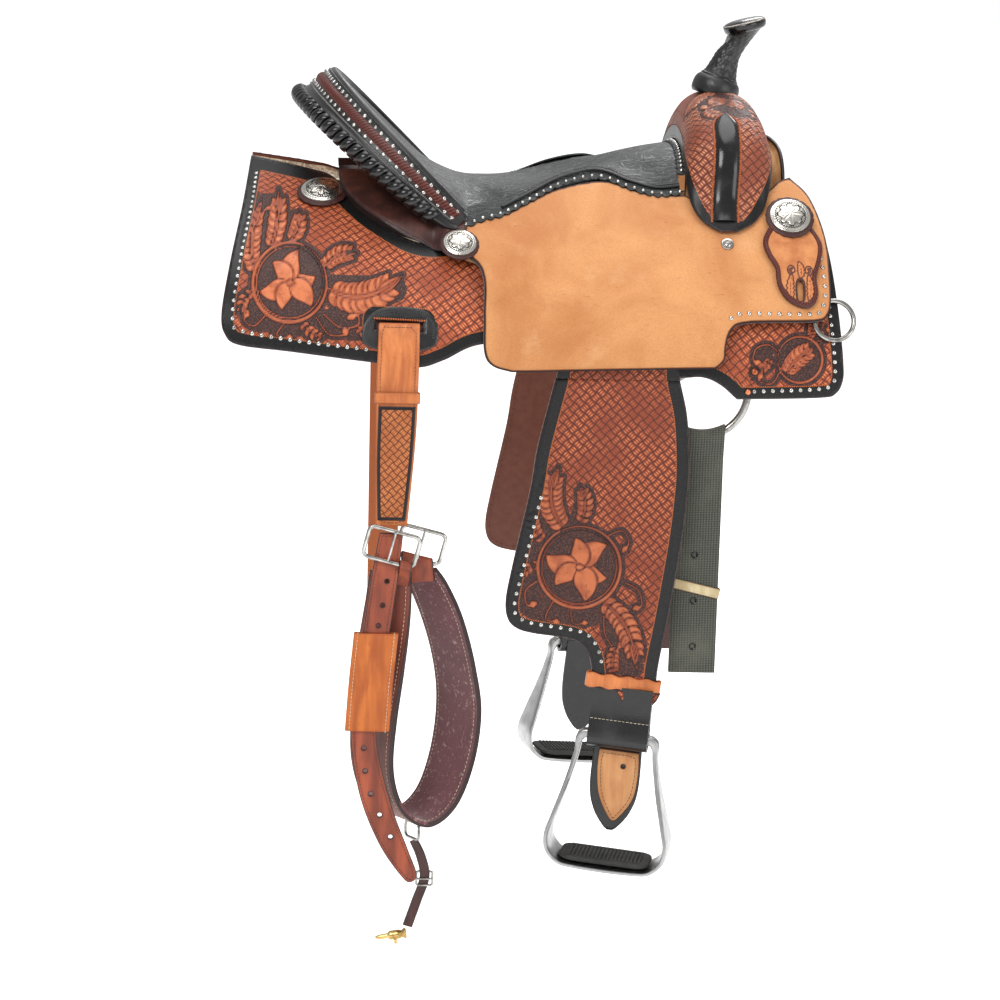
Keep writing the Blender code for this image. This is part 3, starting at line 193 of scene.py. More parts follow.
def through(table, step=0.002):
    """A table of X and a size, drawn as a smooth curve and sampled closely."""
    rows = sorted(table)
    xs, ys = [], []
    for i in range(len(rows) - 1):
        (x0, y0), (x1, y1) = rows[i], rows[i + 1]
        before, after = rows[max(i - 1, 0)], rows[min(i + 2, len(rows) - 1)]
        m0 = (y1 - before[1]) / (x1 - before[0])
        m1 = (after[1] - y0) / (after[0] - x0)
        t = np.linspace(0, 1, max(2, round((x1 - x0) / step)))
        xs.append(x0 + (x1 - x0) * t)
        ys.append((2 * t**3 - 3 * t**2 + 1) * y0 + (t**3 - 2 * t**2 + t) * (x1 - x0) * m0
                  + (-2 * t**3 + 3 * t**2) * y1 + (t**3 - t**2) * (x1 - x0) * m1)
    return np.concatenate(xs), np.concatenate(ys)


TOP_HALF_WIDTH = through((
    (-0.37, 0.006), (-0.28, 0.040), (-0.20, 0.080), (-0.10, 0.104), (0.00, 0.094), (0.10, 0.096),
    (0.18, 0.106), (0.25, 0.104), (0.32, 0.098),
))
TOP_HEIGHT = through((
    (-0.37, 0.137), (-0.28, 0.127), (-0.20, 0.114), (-0.10, 0.104), (0.00, 0.112), (0.10, 0.117),
    (0.18, 0.119), (0.25, 0.122), (0.32, 0.118),
))
LOW_HALF_WIDTH = through(((-0.37, 0.252), (-0.17, 0.249), (0.00, 0.236), (0.18, 0.229), (0.32, 0.222)))
LOW_HEIGHT = through(((-0.37, -0.058), (-0.17, -0.073), (0.00, -0.085), (0.18, -0.100), (0.32, -0.106)))
SIDE_ROUNDNESS = 2.1


def unit(vectors):
    return vectors / np.linalg.norm(vectors, axis=-1, keepdims=True)


def ramp(value, start, end):
    """0 before start, 1 after end, smooth between."""
    t = np.clip((value - start) / (end - start), 0.0, 1.0)
    return t * t * (3 - 2 * t)


def half_width(x, z):
    top, low = np.interp(x, *TOP_HEIGHT), np.interp(x, *LOW_HEIGHT)
    t = np.clip((top - z) / (top - low), -0.25, 1.0)
    spread = 1 - np.sign(1 - t) * np.abs(1 - t) ** SIDE_ROUNDNESS
    inner = np.interp(x, *TOP_HALF_WIDTH)
    return inner + (np.interp(x, *LOW_HALF_WIDTH) - inner) * spread


def side_normal(x, z, side):
    e = 0.002
    slope_x = (half_width(x + e, z) - half_width(x - e, z)) / (2 * e)
    slope_z = (half_width(x, z + e) - half_width(x, z - e)) / (2 * e)
    return unit(np.stack([-slope_x, np.full_like(slope_x, side), -slope_z], -1))


def side_point(x, z, lift, side):
    """Points lift above the skirt's outer face, along its normal."""
    x, z = np.asarray(x, float), np.asarray(z, float)
    flat = np.stack([x, side * half_width(x, z), z], -1)
    return flat + side_normal(x, z, side) * np.broadcast_to(lift, x.shape)[..., None]


def front_fall(x):
    return 1 - 0.45 * ramp(x, 0.200, 0.290)


def under_jockey(x, z):
    bar = BAR_TAIL_ROOM + (BAR_ROOM - BAR_TAIL_ROOM) * ramp(x, -0.130, -0.060)
    bar = bar * ramp(z, -0.022, 0.008)
    middle = BAR_ROOM * ramp(x, -0.090, -0.020)
    return LAYER_GAP + np.maximum(bar, middle) * front_fall(x)


def on_jockey(x, z):
    return under_jockey(x, z) + JOCKEY_THICK


def on_apron(x, z):
    return on_jockey(x, z) + 0.0019


def under_plate(x, z):
    return on_jockey(x, z) + 0.0016


def on_plate(x, z):
    return on_jockey(x, z) + 0.0051


def on_skirt(x, z):
    return x * 0


def leather_low(x, z):
    return LAYER_GAP + (BAR_ROOM - GROOVE_DEPTH) * ramp(z, -0.030, 0.006)


def leather_high(x, z):
    return leather_low(x, z) + LEATHER_THICK


def down_the_side(x, z):
    """Length of leather from a fixed height down the side to z, so that a stamp isn't stretched."""
    steps = np.linspace(0, 1, 40)[:, None]
    heights = 0.14 + (z[None] - 0.14) * steps
    widths = half_width(np.broadcast_to(x, heights.shape), heights)
    return -np.hypot(np.diff(heights, axis=0), np.diff(widths, axis=0)).sum(0)


def smooth_piece(t, start, end, start_slope, end_slope):
    """A piece of curve from start to end, with a slope at each of them."""
    return ((2 * t**3 - 3 * t**2 + 1) * start + (t**3 - 2 * t**2 + t) * start_slope
            + (-2 * t**3 + 3 * t**2) * end + (t**3 - t**2) * end_slope)


def curve_line(points, step, closed=True):
    """A smooth line through the points, with the marked ones left as corners, at about step apart."""
    flat = [np.array(p[:2], float) for p in points]
    corner = [len(p) > 2 for p in points]
    count = len(flat)
    line = []
    for i in range(count if closed else count - 1):
        j = (i + 1) % count
        a, b = flat[i], flat[j]
        m0 = b - a if corner[i] or (not closed and i == 0) else (b - flat[i - 1]) / 2
        m1 = b - a if corner[j] or (not closed and j == count - 1) else (flat[(j + 1) % count] - a) / 2
        t = np.linspace(0, 1, max(1, round(np.linalg.norm(b - a) / step)), endpoint=False)[:, None]
        line.append(smooth_piece(t, a, b, m0, m1))
    if not closed:
        line.append(flat[-1][None])
    return np.concatenate(line)


def is_inside(points, loop):
    odd = np.zeros(len(points), bool)
    for a, b in zip(loop, np.roll(loop, -1, 0)):
        if a[1] == b[1]:
            continue
        crosses = (a[1] > points[:, 1]) != (b[1] > points[:, 1])
        odd ^= crosses & (points[:, 0] < (b[0] - a[0]) * (points[:, 1] - a[1]) / (b[1] - a[1]) + a[0])
    return odd


def to_line(points, line, closed=True):
    """How far each point is from a line, the nearest place on it, and the share of the line before it."""
    ends = np.roll(line, -1, 0) if closed else line[1:]
    starts = line if closed else line[:-1]
    best = np.full(len(points), 1e9)
    place = np.zeros((len(points), 2))
    share = np.zeros(len(points))
    lengths = np.linalg.norm(ends - starts, axis=1)
    before = np.concatenate([[0], np.cumsum(lengths)])
    for k, (a, b) in enumerate(zip(starts, ends)):
        along = b - a
        t = np.clip((points - a) @ along / max(along @ along, 1e-18), 0, 1)
        near = a + t[:, None] * along
        far = np.linalg.norm(points - near, axis=1)
        closer = far < best
        best[closer] = far[closer]
        place[closer] = near[closer]
        share[closer] = (before[k] + t[closer] * lengths[k]) / before[-1]
    return best, place, share


# Meshes

def new_object(name, data):
    obj = bpy.data.objects.new(name, data)
    bpy.context.scene.collection.objects.link(obj)
    return obj


def plain_mesh(name, points, faces, uv=None, marks=None, smooth=math.radians(40)):
    """A new object at the origin. uv and marks are given for each point."""
    mesh = bpy.data.meshes.new(name)
    mesh.from_pydata([tuple(p) for p in points], [], [tuple(int(i) for i in f) for f in faces])
    if uv is not None:
        loops = np.empty(len(mesh.loops), np.int32)
        mesh.loops.foreach_get("vertex_index", loops)
        layer = mesh.uv_layers.new(name="flat")
        layer.data.foreach_set("uv", np.asarray(uv, np.float32)[loops].ravel())
    for mark, values in (marks or {}).items():
        made = mesh.attributes.new(mark, "FLOAT", "POINT")
        made.data.foreach_set("value", np.asarray(values, np.float32))
    mesh.shade_smooth()
    mesh.set_sharp_from_angle(angle=smooth)
    return new_object(name, mesh)


def facing_out(obj):
    """Joins points that meet and turns the faces outwards."""
    shape = bmesh.new()
    shape.from_mesh(obj.data)
    bmesh.ops.remove_doubles(shape, verts=shape.verts, dist=1e-6)
    bmesh.ops.recalc_face_normals(shape, faces=shape.faces)
    shape.to_mesh(obj.data)
    shape.free()
    return obj


def dressed(obj, body, finish, slot, *replaced):
    """Gives a piece its finish and its body, and hides the solids that it stands for."""
    obj.data.materials.clear()
    for made in finish if isinstance(finish, (list, tuple)) else [finish]:
        obj.data.materials.append(made)
    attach(obj, body)
    if replaced:
        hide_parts(*replaced)
    return obj


def cells(outline, holes, size):
    """Square cells over an outline. The rim of the kept cells is moved onto the outline and the holes."""
    low, high = outline.min(0) - size, outline.max(0) + size
    xs = np.arange(low[0], high[0] + size, size)
    zs = np.arange(low[1], high[1] + size, size)
    grid = np.stack(np.meshgrid(xs, zs, indexing="ij"), -1)
    middles = (grid[:-1, :-1] + size / 2).reshape(-1, 2)
    kept = is_inside(middles, outline)
    for hole in holes:
        kept &= ~is_inside(middles, hole)
    kept = kept.reshape(len(xs) - 1, len(zs) - 1)
    used = np.zeros((len(xs), len(zs)), int)
    for i, j in ((0, 0), (0, 1), (1, 0), (1, 1)):
        used[i:i + kept.shape[0], j:j + kept.shape[1]] += kept
    number = np.full(used.shape, -1)
    number[used > 0] = np.arange((used > 0).sum())
    flat = grid[used > 0]
    rim = used[used > 0] < 4
    distance = np.full(len(flat), 1e9)
    place = flat.copy()
    for loop in (outline, *holes):
        far, near, _ = to_line(flat, loop)
        closer = far < distance
        distance[closer] = far[closer]
        place[closer] = near[closer]
    flat[rim] = place[rim]
    distance[rim] = 0.0
    i, j = np.nonzero(kept)
    quads = np.stack([number[i, j], number[i + 1, j], number[i + 1, j + 1], number[i, j + 1]], -1)
    return flat, quads, distance, rim


def rim_loops(quads):
    """The loops of edges round a set of faces, each in order."""
    step = {}
    seen = set()
    for face in quads:
        for a, b in zip(face, np.roll(face, -1)):
            seen.add((int(a), int(b)))
    for a, b in seen:
        if (b, a) not in seen:
            step.setdefault(a, []).append(b)
    loops = []
    while step:
        start = next(iter(step))
        loop = [start]
        here = step[start].pop()
        if not step[start]:
            del step[start]
        while here != start:
            loop.append(here)
            ahead = step[here].pop()
            if not step[here]:
                del step[here]
            here = ahead
        loops.append(loop)
    return loops


def leather(name, outline, inner, outer, place, size, holes=(), soft=0.0014, marks=None, relief=None,
            uv=None):
    """A piece of leather cut to an outline, with rounded edges. place puts flat points at a lift.

    marks gives named values for flat points, and relief a height to add from those values.
    """
    flat, quads, edge, _ = cells(outline, holes, size)
    values = marks(flat) if marks else {}
    near = 1 - np.clip(edge / soft, 0, 1)
    rounding = soft * (1 - np.sqrt(np.clip(1 - near**2, 0, 1)))
    top = outer(flat[:, 0], flat[:, 1]) if callable(outer) else np.full(len(flat), outer)
    bottom = inner(flat[:, 0], flat[:, 1]) if callable(inner) else np.full(len(flat), inner)
    height = top - np.minimum(rounding, (top - bottom) * 0.7)
    if relief:
        height = height + relief(values) * np.clip(edge / soft - 1, 0, 1)
    points = [place(flat[:, 0], flat[:, 1], height)]
    faces = [tuple(q) for q in quads]
    count = len(flat)
    under = {}
    loops = rim_loops(quads)
    order = [i for loop in loops for i in loop]
    for k, i in enumerate(order):
        under[i] = count + k
    points.append(place(flat[order, 0], flat[order, 1], bottom[order]))
    for loop in loops:
        for a, b in zip(loop, loop[1:] + loop[:1]):
            faces.append((b, a, under[a], under[b]))
    low_flat, low_faces = [Vector(flat[i]) for i in order], []
    edges, start = [], 0
    for loop in loops:
        edges += [(start + k, start + (k + 1) % len(loop)) for k in range(len(loop))]
        start += len(loop)
    columns = np.arange(outline[:, 0].min(), outline[:, 0].max(), UNDERSIDE_CELL)
    heights = np.arange(outline[:, 1].min(), outline[:, 1].max(), UNDERSIDE_CELL)
    spots = np.stack(np.meshgrid(columns, heights), -1).reshape(-1, 2)
    clear = is_inside(spots, outline) & (to_line(spots, outline)[0] > UNDERSIDE_CELL * 0.4)
    for hole in holes:
        clear &= ~is_inside(spots, hole) & (to_line(spots, hole)[0] > UNDERSIDE_CELL * 0.3)
    spots = spots[clear]
    made = delaunay_2d_cdt(low_flat + [Vector(s) for s in spots], edges, [], 0, 1e-9)
    source = made[3]
    extra = {}
    corners_at = np.array([tuple(v) for v in made[0]])
    middles = np.array([corners_at[list(f)].mean(0) for f in made[2]])
    kept = is_inside(middles, outline)
    for hole in holes:
        kept &= ~is_inside(middles, hole)
    for f in (face for face, good in zip(made[2], kept) if good):
        corners = []
        for i in f:
            first = source[i][0]
            if first < len(order):
                corners.append(count + first)
            else:
                if first not in extra:
                    extra[first] = count + len(order) + len(extra)
                corners.append(extra[first])
        low_faces.append(tuple(reversed(corners)))
    if extra:
        inner_spots = np.array([spots[first - len(order)] for first in extra])
        lows = inner(inner_spots[:, 0], inner_spots[:, 1]) if callable(inner) else np.full(len(inner_spots),
                                                                                           inner)
        points.append(place(inner_spots[:, 0], inner_spots[:, 1], lows))
    else:
        inner_spots = np.zeros((0, 2))
    faces += low_faces
    everything = np.concatenate([flat, flat[order], inner_spots])
    full = {"edge": np.concatenate([edge, np.zeros(len(order) + len(extra))]) / MM}
    full["front"] = np.concatenate([np.ones(len(flat)), np.zeros(len(order) + len(extra))])
    for mark, value in values.items():
        full[mark] = np.concatenate([value, np.full(len(order) + len(extra), -NO_LINE)])
    flat_uv = uv(everything[:, 0], everything[:, 1]) if uv else everything
    return facing_out(plain_mesh(name, np.concatenate(points), faces, flat_uv, full))


def on_side(side):
    return lambda x, z, height: side_point(x, z, height, side)


def on_plane(plane, side):
    return lambda x, z, height: np.stack([x, side * (plane + height), z], -1)


def side_uv(x, z):
    return np.stack([x, down_the_side(x, z)], -1)


# Carving: strokes drawn on the flat leather

def bent(start, bend, end, count=22):
    """A line from start to end, pulled towards bend."""
    t = np.linspace(0, 1, count)[:, None]
    start, bend, end = (np.array(p, float) for p in (start, bend, end))
    return (1 - t)**2 * start + 2 * t * (1 - t) * bend + t**2 * end


def curl(centre, start_radius, end_radius, start_turn, end_turn, count=40):
    """A spiral line about a centre, turns in degrees."""
    t = np.linspace(0, 1, count)
    angle = np.radians(start_turn + (end_turn - start_turn) * t)
    radius = start_radius + (end_radius - start_radius) * t**0.8
    return np.stack([centre[0] + radius * np.cos(angle), centre[1] + radius * np.sin(angle)], -1)


def petal_width(t, wide):
    return wide * np.sin(np.pi * np.clip(t, 0, 1) ** 0.75) ** 0.8


def leaf_width(t, wide):
    lobes = 1 + 0.22 * np.cos(2 * np.pi * t * 5.5)
    return wide * np.sin(np.pi * np.clip(t, 0, 1) ** 0.85) ** 0.7 * lobes


def stem_width(t, wide):
    return wide * (0.35 + 0.65 * np.sin(np.pi * np.clip(0.12 + 0.88 * t, 0, 1)))


def bulb_width(t, wide):
    """A thin stem that ends in a round bulb."""
    return wide * (0.28 + 0.72 * np.exp(-((t - 0.93) / 0.07) ** 2))


def ground_width(t, wide):
    return t * 0 + wide


WIDTHS = {"petal": petal_width, "leaf": leaf_width, "stem": stem_width, "bulb": bulb_width,
          "ground": ground_width}


def carved(points, strokes):
    """Distance in mm to the nearest cut, positive on a stroke and negative off it, and to the nearest vein."""
    cut = np.full(len(points), NO_LINE)
    on = np.zeros(len(points), bool)
    vein = np.full(len(points), NO_LINE)
    for kind, line, wide in strokes:
        reach = wide * 1.4 + 0.006
        low, high = line.min(0) - reach, line.max(0) + reach
        some = np.nonzero(((points > low) & (points < high)).all(1))[0]
        if not len(some):
            continue
        far, _, share = to_line(points[some], line, closed=False)
        depth = (WIDTHS[kind](share, wide) - far) / MM
        inside = depth > 0
        if kind == "ground":
            cut[some] = np.where(inside, np.minimum(cut[some], 3.0), cut[some])
            continue
        cut[some] = np.where(inside, depth, np.minimum(cut[some], -depth))
        on[some] |= inside
        lines = far / MM if kind in ("petal", "leaf") else np.full(len(some), NO_LINE)
        if kind == "leaf":
            ribs = np.abs((share * 9 - far / wide * 0.9) % 1.0 - 0.5) * 5.0 + 0.1
            lines = np.minimum(lines, np.where(depth > 0.8, ribs, NO_LINE))
        vein[some] = np.where(inside, lines, vein[some])
    return cut * np.where(on, 1, -1), vein


def matted(start, end, wide):
    """An area whose ground is matted dark between the strokes."""
    return [("ground", np.array([start, (end[0] + 1e-5, end[1])]), wide)]


def acanthus(start, bend, end, wide, lobes=7):
    """A leaf of pointed lobes along both sides of a spine."""
    spine = bent(start, bend, end, 40)
    strokes = []
    for k in range(lobes):
        t = 0.10 + 0.72 * k / (lobes - 1)
        i = int(t * 39)
        ahead = spine[i + 1] - spine[i - 1]
        ahead /= np.linalg.norm(ahead)
        reach = wide * (0.45 + 0.55 * math.sin(math.pi * (0.15 + 0.80 * t))) * 1.2
        for way in (-1, 1):
            out = np.array([-ahead[1], ahead[0]]) * way
            bend = spine[i] + out * reach * 0.8 + ahead * reach * 0.1
            tip = spine[i] + out * reach + ahead * reach * 0.85
            strokes.append(("petal", bent(spine[i], bend, tip, 10), reach * 0.40))
    strokes.append(("petal", bent(spine[-14], spine[-7], spine[-1], 10), wide * 0.42))
    strokes.append(("stem", spine, wide * 0.15))
    return strokes


def vine(points, wide):
    """A stem that ends in a round bulb."""
    return [("bulb", curve_line(points, 0.0015, closed=False), wide * 1.7)]


def flower(centre, radius, turn, petals=6):
    """Lily petals round a small heart, each split by its vein."""
    strokes = []
    for k in range(petals):
        angle = math.radians(turn + 360 * k / petals)
        reach = radius * (0.98 if k % 2 else 0.84)
        tip = (centre[0] + reach * math.cos(angle), centre[1] + reach * math.sin(angle))
        swing = angle + math.radians(24 if k % 2 else -20)
        bend = (centre[0] + reach * 0.62 * math.cos(swing), centre[1] + reach * 0.62 * math.sin(swing))
        strokes.append(("petal", bent(centre, bend, tip), radius * (0.33 if k % 2 else 0.27)))
    heart = (centre[0] + radius * 0.02, centre[1])
    heart_line = bent((heart[0] - radius * 0.12, heart[1]), heart, (heart[0] + radius * 0.14, heart[1]))
    return strokes + [("petal", heart_line, radius * 0.09)]


# Finishes

class Finish:
    """A material under construction, with short ways to add the nodes that the finishes share."""

    def __init__(self, name, roughness=0.5, metallic=0.0, sheen=0.0, coat=0.0, specular=0.5):
        self.material = bpy.data.materials.new(name)
        self.material.use_nodes = True
        self.tree = self.material.node_tree
        self.shader = self.tree.nodes["Principled BSDF"]
        self.shader.inputs["Roughness"].default_value = roughness
        self.shader.inputs["Metallic"].default_value = metallic
        self.shader.inputs["Sheen Weight"].default_value = sheen
        self.shader.inputs["Coat Weight"].default_value = coat
        self.shader.inputs["Coat Roughness"].default_value = 0.22
        self.shader.inputs["Specular IOR Level"].default_value = specular
        self.place = self.node("ShaderNodeTexCoord").outputs["Object"]

    def node(self, kind, **settings):
        made = self.tree.nodes.new(kind)
        for key, value in settings.items():
            setattr(made, key, value)
        return made

    def feed(self, socket, value):
        if isinstance(value, bpy.types.NodeSocket):
            self.tree.links.new(value, socket)
        else:
            socket.default_value = value

    def mark(self, name):
        return self.node("ShaderNodeAttribute", attribute_name=name).outputs["Fac"]

    def flat(self):
        return self.node("ShaderNodeUVMap", uv_map="flat").outputs["UV"]

    def sum(self, operation, *values):
        made = self.node("ShaderNodeMath", operation=operation)
        for socket, value in zip(made.inputs, values):
            self.feed(socket, value)
        return made.outputs[0]

    def between(self, value, start, end, smooth=True):
        """0 before start and 1 after end."""
        made = self.node("ShaderNodeMapRange", interpolation_type="SMOOTHSTEP" if smooth else "LINEAR")
        for socket, given in zip(made.inputs, (value, start, end, 0.0, 1.0)):
            self.feed(socket, given)
        return made.outputs[0]

    def band(self, value, start, end, soft):
        """1 between start and end, 0 elsewhere."""
        return self.sum("MULTIPLY", self.between(value, start - soft, start + soft),
                        self.between(value, end + soft, end - soft))

    def noise(self, scale, detail=3.0, place=None, distortion=0.0, roughness=0.55):
        made = self.node("ShaderNodeTexNoise")
        self.feed(made.inputs["Vector"], place or self.place)
        made.inputs["Scale"].default_value = scale
        made.inputs["Detail"].default_value = detail
        made.inputs["Roughness"].default_value = roughness
        made.inputs["Distortion"].default_value = distortion
        return made.outputs[0]

    def pebbles(self, scale, place=None, feature="F1"):
        made = self.node("ShaderNodeTexVoronoi", feature=feature)
        self.feed(made.inputs["Vector"], place or self.place)
        made.inputs["Scale"].default_value = scale
        return made.outputs["Distance"]

    def stretched(self, scale, place=None):
        made = self.node("ShaderNodeMapping")
        self.feed(made.inputs["Vector"], place or self.place)
        made.inputs["Scale"].default_value = scale
        return made.outputs[0]

    def mix(self, share, first, second):
        made = self.node("ShaderNodeMix", data_type="RGBA")
        self.feed(made.inputs[0], share)
        for socket, colour in ((made.inputs[6], first), (made.inputs[7], second)):
            self.feed(socket, colour if isinstance(colour, bpy.types.NodeSocket) else (*colour, 1.0))
        return made.outputs[2]

    def slant(self, place):
        """The sum of a place's first two coordinates, which runs along any edge."""
        apart = self.node("ShaderNodeSeparateXYZ")
        self.feed(apart.inputs[0], place)
        return self.sum("ADD", apart.outputs[0], apart.outputs[1])

    def rough(self, share, first, second):
        made = self.node("ShaderNodeMix", data_type="FLOAT")
        self.feed(made.inputs[0], share)
        self.feed(made.inputs[2], first)
        self.feed(made.inputs[3], second)
        return made.outputs[0]

    def colour(self, value):
        self.feed(self.shader.inputs["Base Color"],
                  value if isinstance(value, bpy.types.NodeSocket) else (*value, 1.0))

    def bump(self, height, distance, strength=1.0, under=None):
        made = self.node("ShaderNodeBump")
        made.inputs["Strength"].default_value = strength
        made.inputs["Distance"].default_value = distance
        self.feed(made.inputs["Height"], height)
        if under:
            self.feed(made.inputs["Normal"], under)
        return made.outputs[0]

    def finish(self, normal=None, roughness=None):
        if normal:
            self.feed(self.shader.inputs["Normal"], normal)
        if roughness is not None:
            self.feed(self.shader.inputs["Roughness"], roughness)
        return self.material


def srgb(*colour):
    """A colour as it is seen, from 0 to 255."""
    return tuple(((c / 255) / 12.92 if c < 10 else ((c / 255 + 0.055) / 1.055) ** 2.4) for c in colour)


TAN = srgb(212, 152, 100)
TAN_DARK = srgb(186, 122, 74)
TAN_PALE = srgb(226, 180, 134)
CARVED = srgb(156, 72, 42)
# Painted highlight colour for carved crests and stamp tips.
CARVED_HIGHLIGHT = srgb(222, 132, 84)
CARVED_LOW = srgb(64, 30, 24)
BLACK = srgb(19, 18, 19)
ORANGE = srgb(196, 104, 52)
STRAP = srgb(216, 132, 74)
STRAP_DARK = srgb(168, 90, 46)
FLESH_SIDE = srgb(92, 50, 42)


def basket(make, size, place):
    """Height of a basket stamp: small ribbed squares that lie by turns along and across."""
    apart = make.node("ShaderNodeSeparateXYZ")
    make.feed(apart.inputs[0], place)
    slant = make.sum("DIVIDE", make.sum("ADD", apart.outputs[0], apart.outputs[1]), size * 1.4142)
    cross = make.sum("DIVIDE", make.sum("SUBTRACT", apart.outputs[0], apart.outputs[1]), size * 1.4142)
    turn = make.sum("ADD", make.sum("FLOOR", slant), make.sum("FLOOR", cross))
    turn = make.sum("FLOORED_MODULO", turn, 2.0)
    first, second = make.sum("FRACT", slant), make.sum("FRACT", cross)
    over = make.rough(turn, first, second)
    along = make.rough(turn, second, first)
    ribs = make.sum("ABSOLUTE", make.sum("SINE", make.sum("MULTIPLY", over, math.pi * 3)))
    dome = make.sum("SINE", make.sum("MULTIPLY", along, math.pi))
    dome = make.sum("POWER", make.sum("MAXIMUM", dome, 0.0), 0.6)
    return make.sum("MULTIPLY", dome, make.sum("MULTIPLY_ADD", ribs, 0.45, 0.55))


def tooled(name, border, base=CARVED, high=CARVED_HIGHLIGHT, stamp=0.0085, line=True):
    """Carved and basket-stamped leather with a black border, drawn from the marks that the piece carries."""
    # high is a painted highlight colour, laid on the stamp's tips and on the carving's crests.
    make = Finish(name, 0.42, specular=0.3)
    edge, art, vein = make.mark("edge"), make.mark("art"), make.mark("vein")
    flat = make.flat()
    weave = basket(make, stamp, flat)
    cloudy = make.noise(22, 4)
    worn = make.between(make.noise(90, 3), 0.40, 0.72)
    on_art = make.between(art, -0.12, 0.12)
    near_art = make.between(art, -3.9, -3.4)
    matted = make.pebbles(620, flat)
    # The stamp is darker in its low parts. Its tips take the high colour as a painted highlight, in patches set by
    # the cloudy noise.
    stamped = make.mix(make.between(weave, 0.12, 0.70), CARVED_LOW, base)
    tip_highlights = make.sum("MULTIPLY", make.between(weave, 0.72, 0.98), make.between(cloudy, 0.30, 0.70))
    stamped = make.mix(tip_highlights, stamped, high)
    ground = make.mix(make.between(matted, 0.10, 0.55), srgb(104, 62, 50), srgb(50, 30, 28))
    ground = make.mix(make.band(art, -3.9, -3.4, 0.2), ground, base)
    # Petals run from darker at the cut to the high colour at the crest, which is a painted highlight.
    petal = make.mix(make.between(art, 0.2, 2.6), make.mix(0.25, base, CARVED_LOW),
                     make.mix(0.35, high, base))
    petal = make.mix(make.sum("MULTIPLY", worn, 0.60), petal, make.mix(0.25, base, CARVED_LOW))
    cut = make.between(make.sum("ABSOLUTE", art), 0.42, 0.12)
    ribs = make.between(vein, 0.42, 0.12)
    petal = make.mix(make.sum("MULTIPLY", ribs, 0.85), petal, CARVED_LOW)
    field = make.mix(near_art, stamped, ground)
    field = make.mix(on_art, field, petal)
    field = make.mix(cut, field, srgb(40, 22, 20))
    blackened = make.mix(make.between(make.noise(700, 3), 0.45, 0.8), srgb(17, 16, 17), srgb(40, 37, 38))
    inside = make.between(edge, border + 0.9, border + 1.2) if line else make.between(edge, border,
                                                                                      border + 0.5)
    colour = make.mix(inside, blackened, field)
    if line:
        bead = make.band(edge, border + 0.1, border + 1.2, 0.15)
        pearls = make.between(make.sum("SINE", make.sum("MULTIPLY", make.slant(flat), 2900.0)), -0.7, 0.4)
        colour = make.mix(make.sum("MULTIPLY", bead, pearls), colour, ORANGE)
    colour = make.mix(make.between(edge, 1.2, 0.5), colour, srgb(62, 40, 36))
    flesh = make.mix(make.noise(140, 5), FLESH_SIDE, make.mix(0.5, FLESH_SIDE, srgb(150, 100, 80)))
    make.colour(make.mix(make.between(make.mark("front"), 0.4, 0.9), flesh, colour))
    height = make.rough(near_art, weave, make.sum("MULTIPLY", matted, 0.45))
    rounded = make.sum("MULTIPLY", make.between(art, 0.0, 2.0), 0.9)
    height = make.rough(on_art, height, make.sum("SUBTRACT", rounded, make.sum("MULTIPLY", ribs, 0.45)))
    height = make.sum("SUBTRACT", height, make.sum("MULTIPLY", cut, 0.5))
    height = make.rough(inside, 0.7, height)
    stitch = make.band(edge, 2.4, 3.0, 0.3)
    thread = make.between(make.sum("SINE", make.sum("MULTIPLY", make.slant(flat), 1900.0)), -0.5, 0.2)
    height = make.sum("SUBTRACT", height, make.sum("MULTIPLY", stitch, make.sum("MULTIPLY", thread, 0.6)))
    normal = make.bump(height, 0.0008, 1.0)
    normal = make.bump(make.pebbles(900), 0.00012, 0.35, normal)
    return make.finish(normal, make.rough(inside, 0.34, make.rough(on_art, 0.46, 0.36)))


def roughout():
    """Suede: the flesh side out, napped, with paler and darker patches and a dark painted edge."""
    make = Finish("roughout_leather", 0.96, sheen=0.35, specular=0.2)
    patches = make.noise(11, 5, distortion=0.6)
    colour = make.mix(make.between(patches, 0.30, 0.72), TAN_DARK, TAN)
    colour = make.mix(make.sum("MULTIPLY", make.between(make.noise(26, 6), 0.55, 0.80), 0.35), colour,
                      TAN_PALE)
    nap = make.noise(620, 4)
    colour = make.mix(make.sum("MULTIPLY", make.between(nap, 0.35, 0.8), 0.30), colour, srgb(150, 88, 46))
    scuffs = make.between(make.noise(60, 4, make.stretched((1.0, 1.0, 5.0))), 0.66, 0.74)
    colour = make.mix(make.sum("MULTIPLY", scuffs, 0.35), colour, srgb(120, 66, 36))
    edge = make.mark("edge")
    colour = make.mix(make.between(edge, 3.0, 1.6), colour, srgb(120, 68, 36))
    colour = make.mix(make.between(edge, 1.9, 1.2), colour, srgb(44, 28, 26))
    make.colour(colour)
    crease = make.between(edge, 3.4, 4.2)
    normal = make.bump(crease, 0.0003, 0.6)
    return make.finish(make.bump(nap, 0.0005, 0.55, normal))


def black_leather(name="black_leather", gloss=0.32, deep=0.00022, tone=BLACK, light=srgb(42, 40, 42)):
    """Black leather with a fine pebbled grain, greyer where it is rubbed."""
    make = Finish(name, gloss, specular=0.5)
    grain = make.pebbles(620, feature="F2")
    rubbed = make.noise(36, 5)
    make.colour(make.mix(make.between(rubbed, 0.48, 0.78), tone, light))
    normal = make.bump(grain, deep, 0.5)
    roughness = make.rough(make.between(rubbed, 0.3, 0.8), gloss - 0.06, gloss + 0.18)
    return make.finish(normal, roughness)


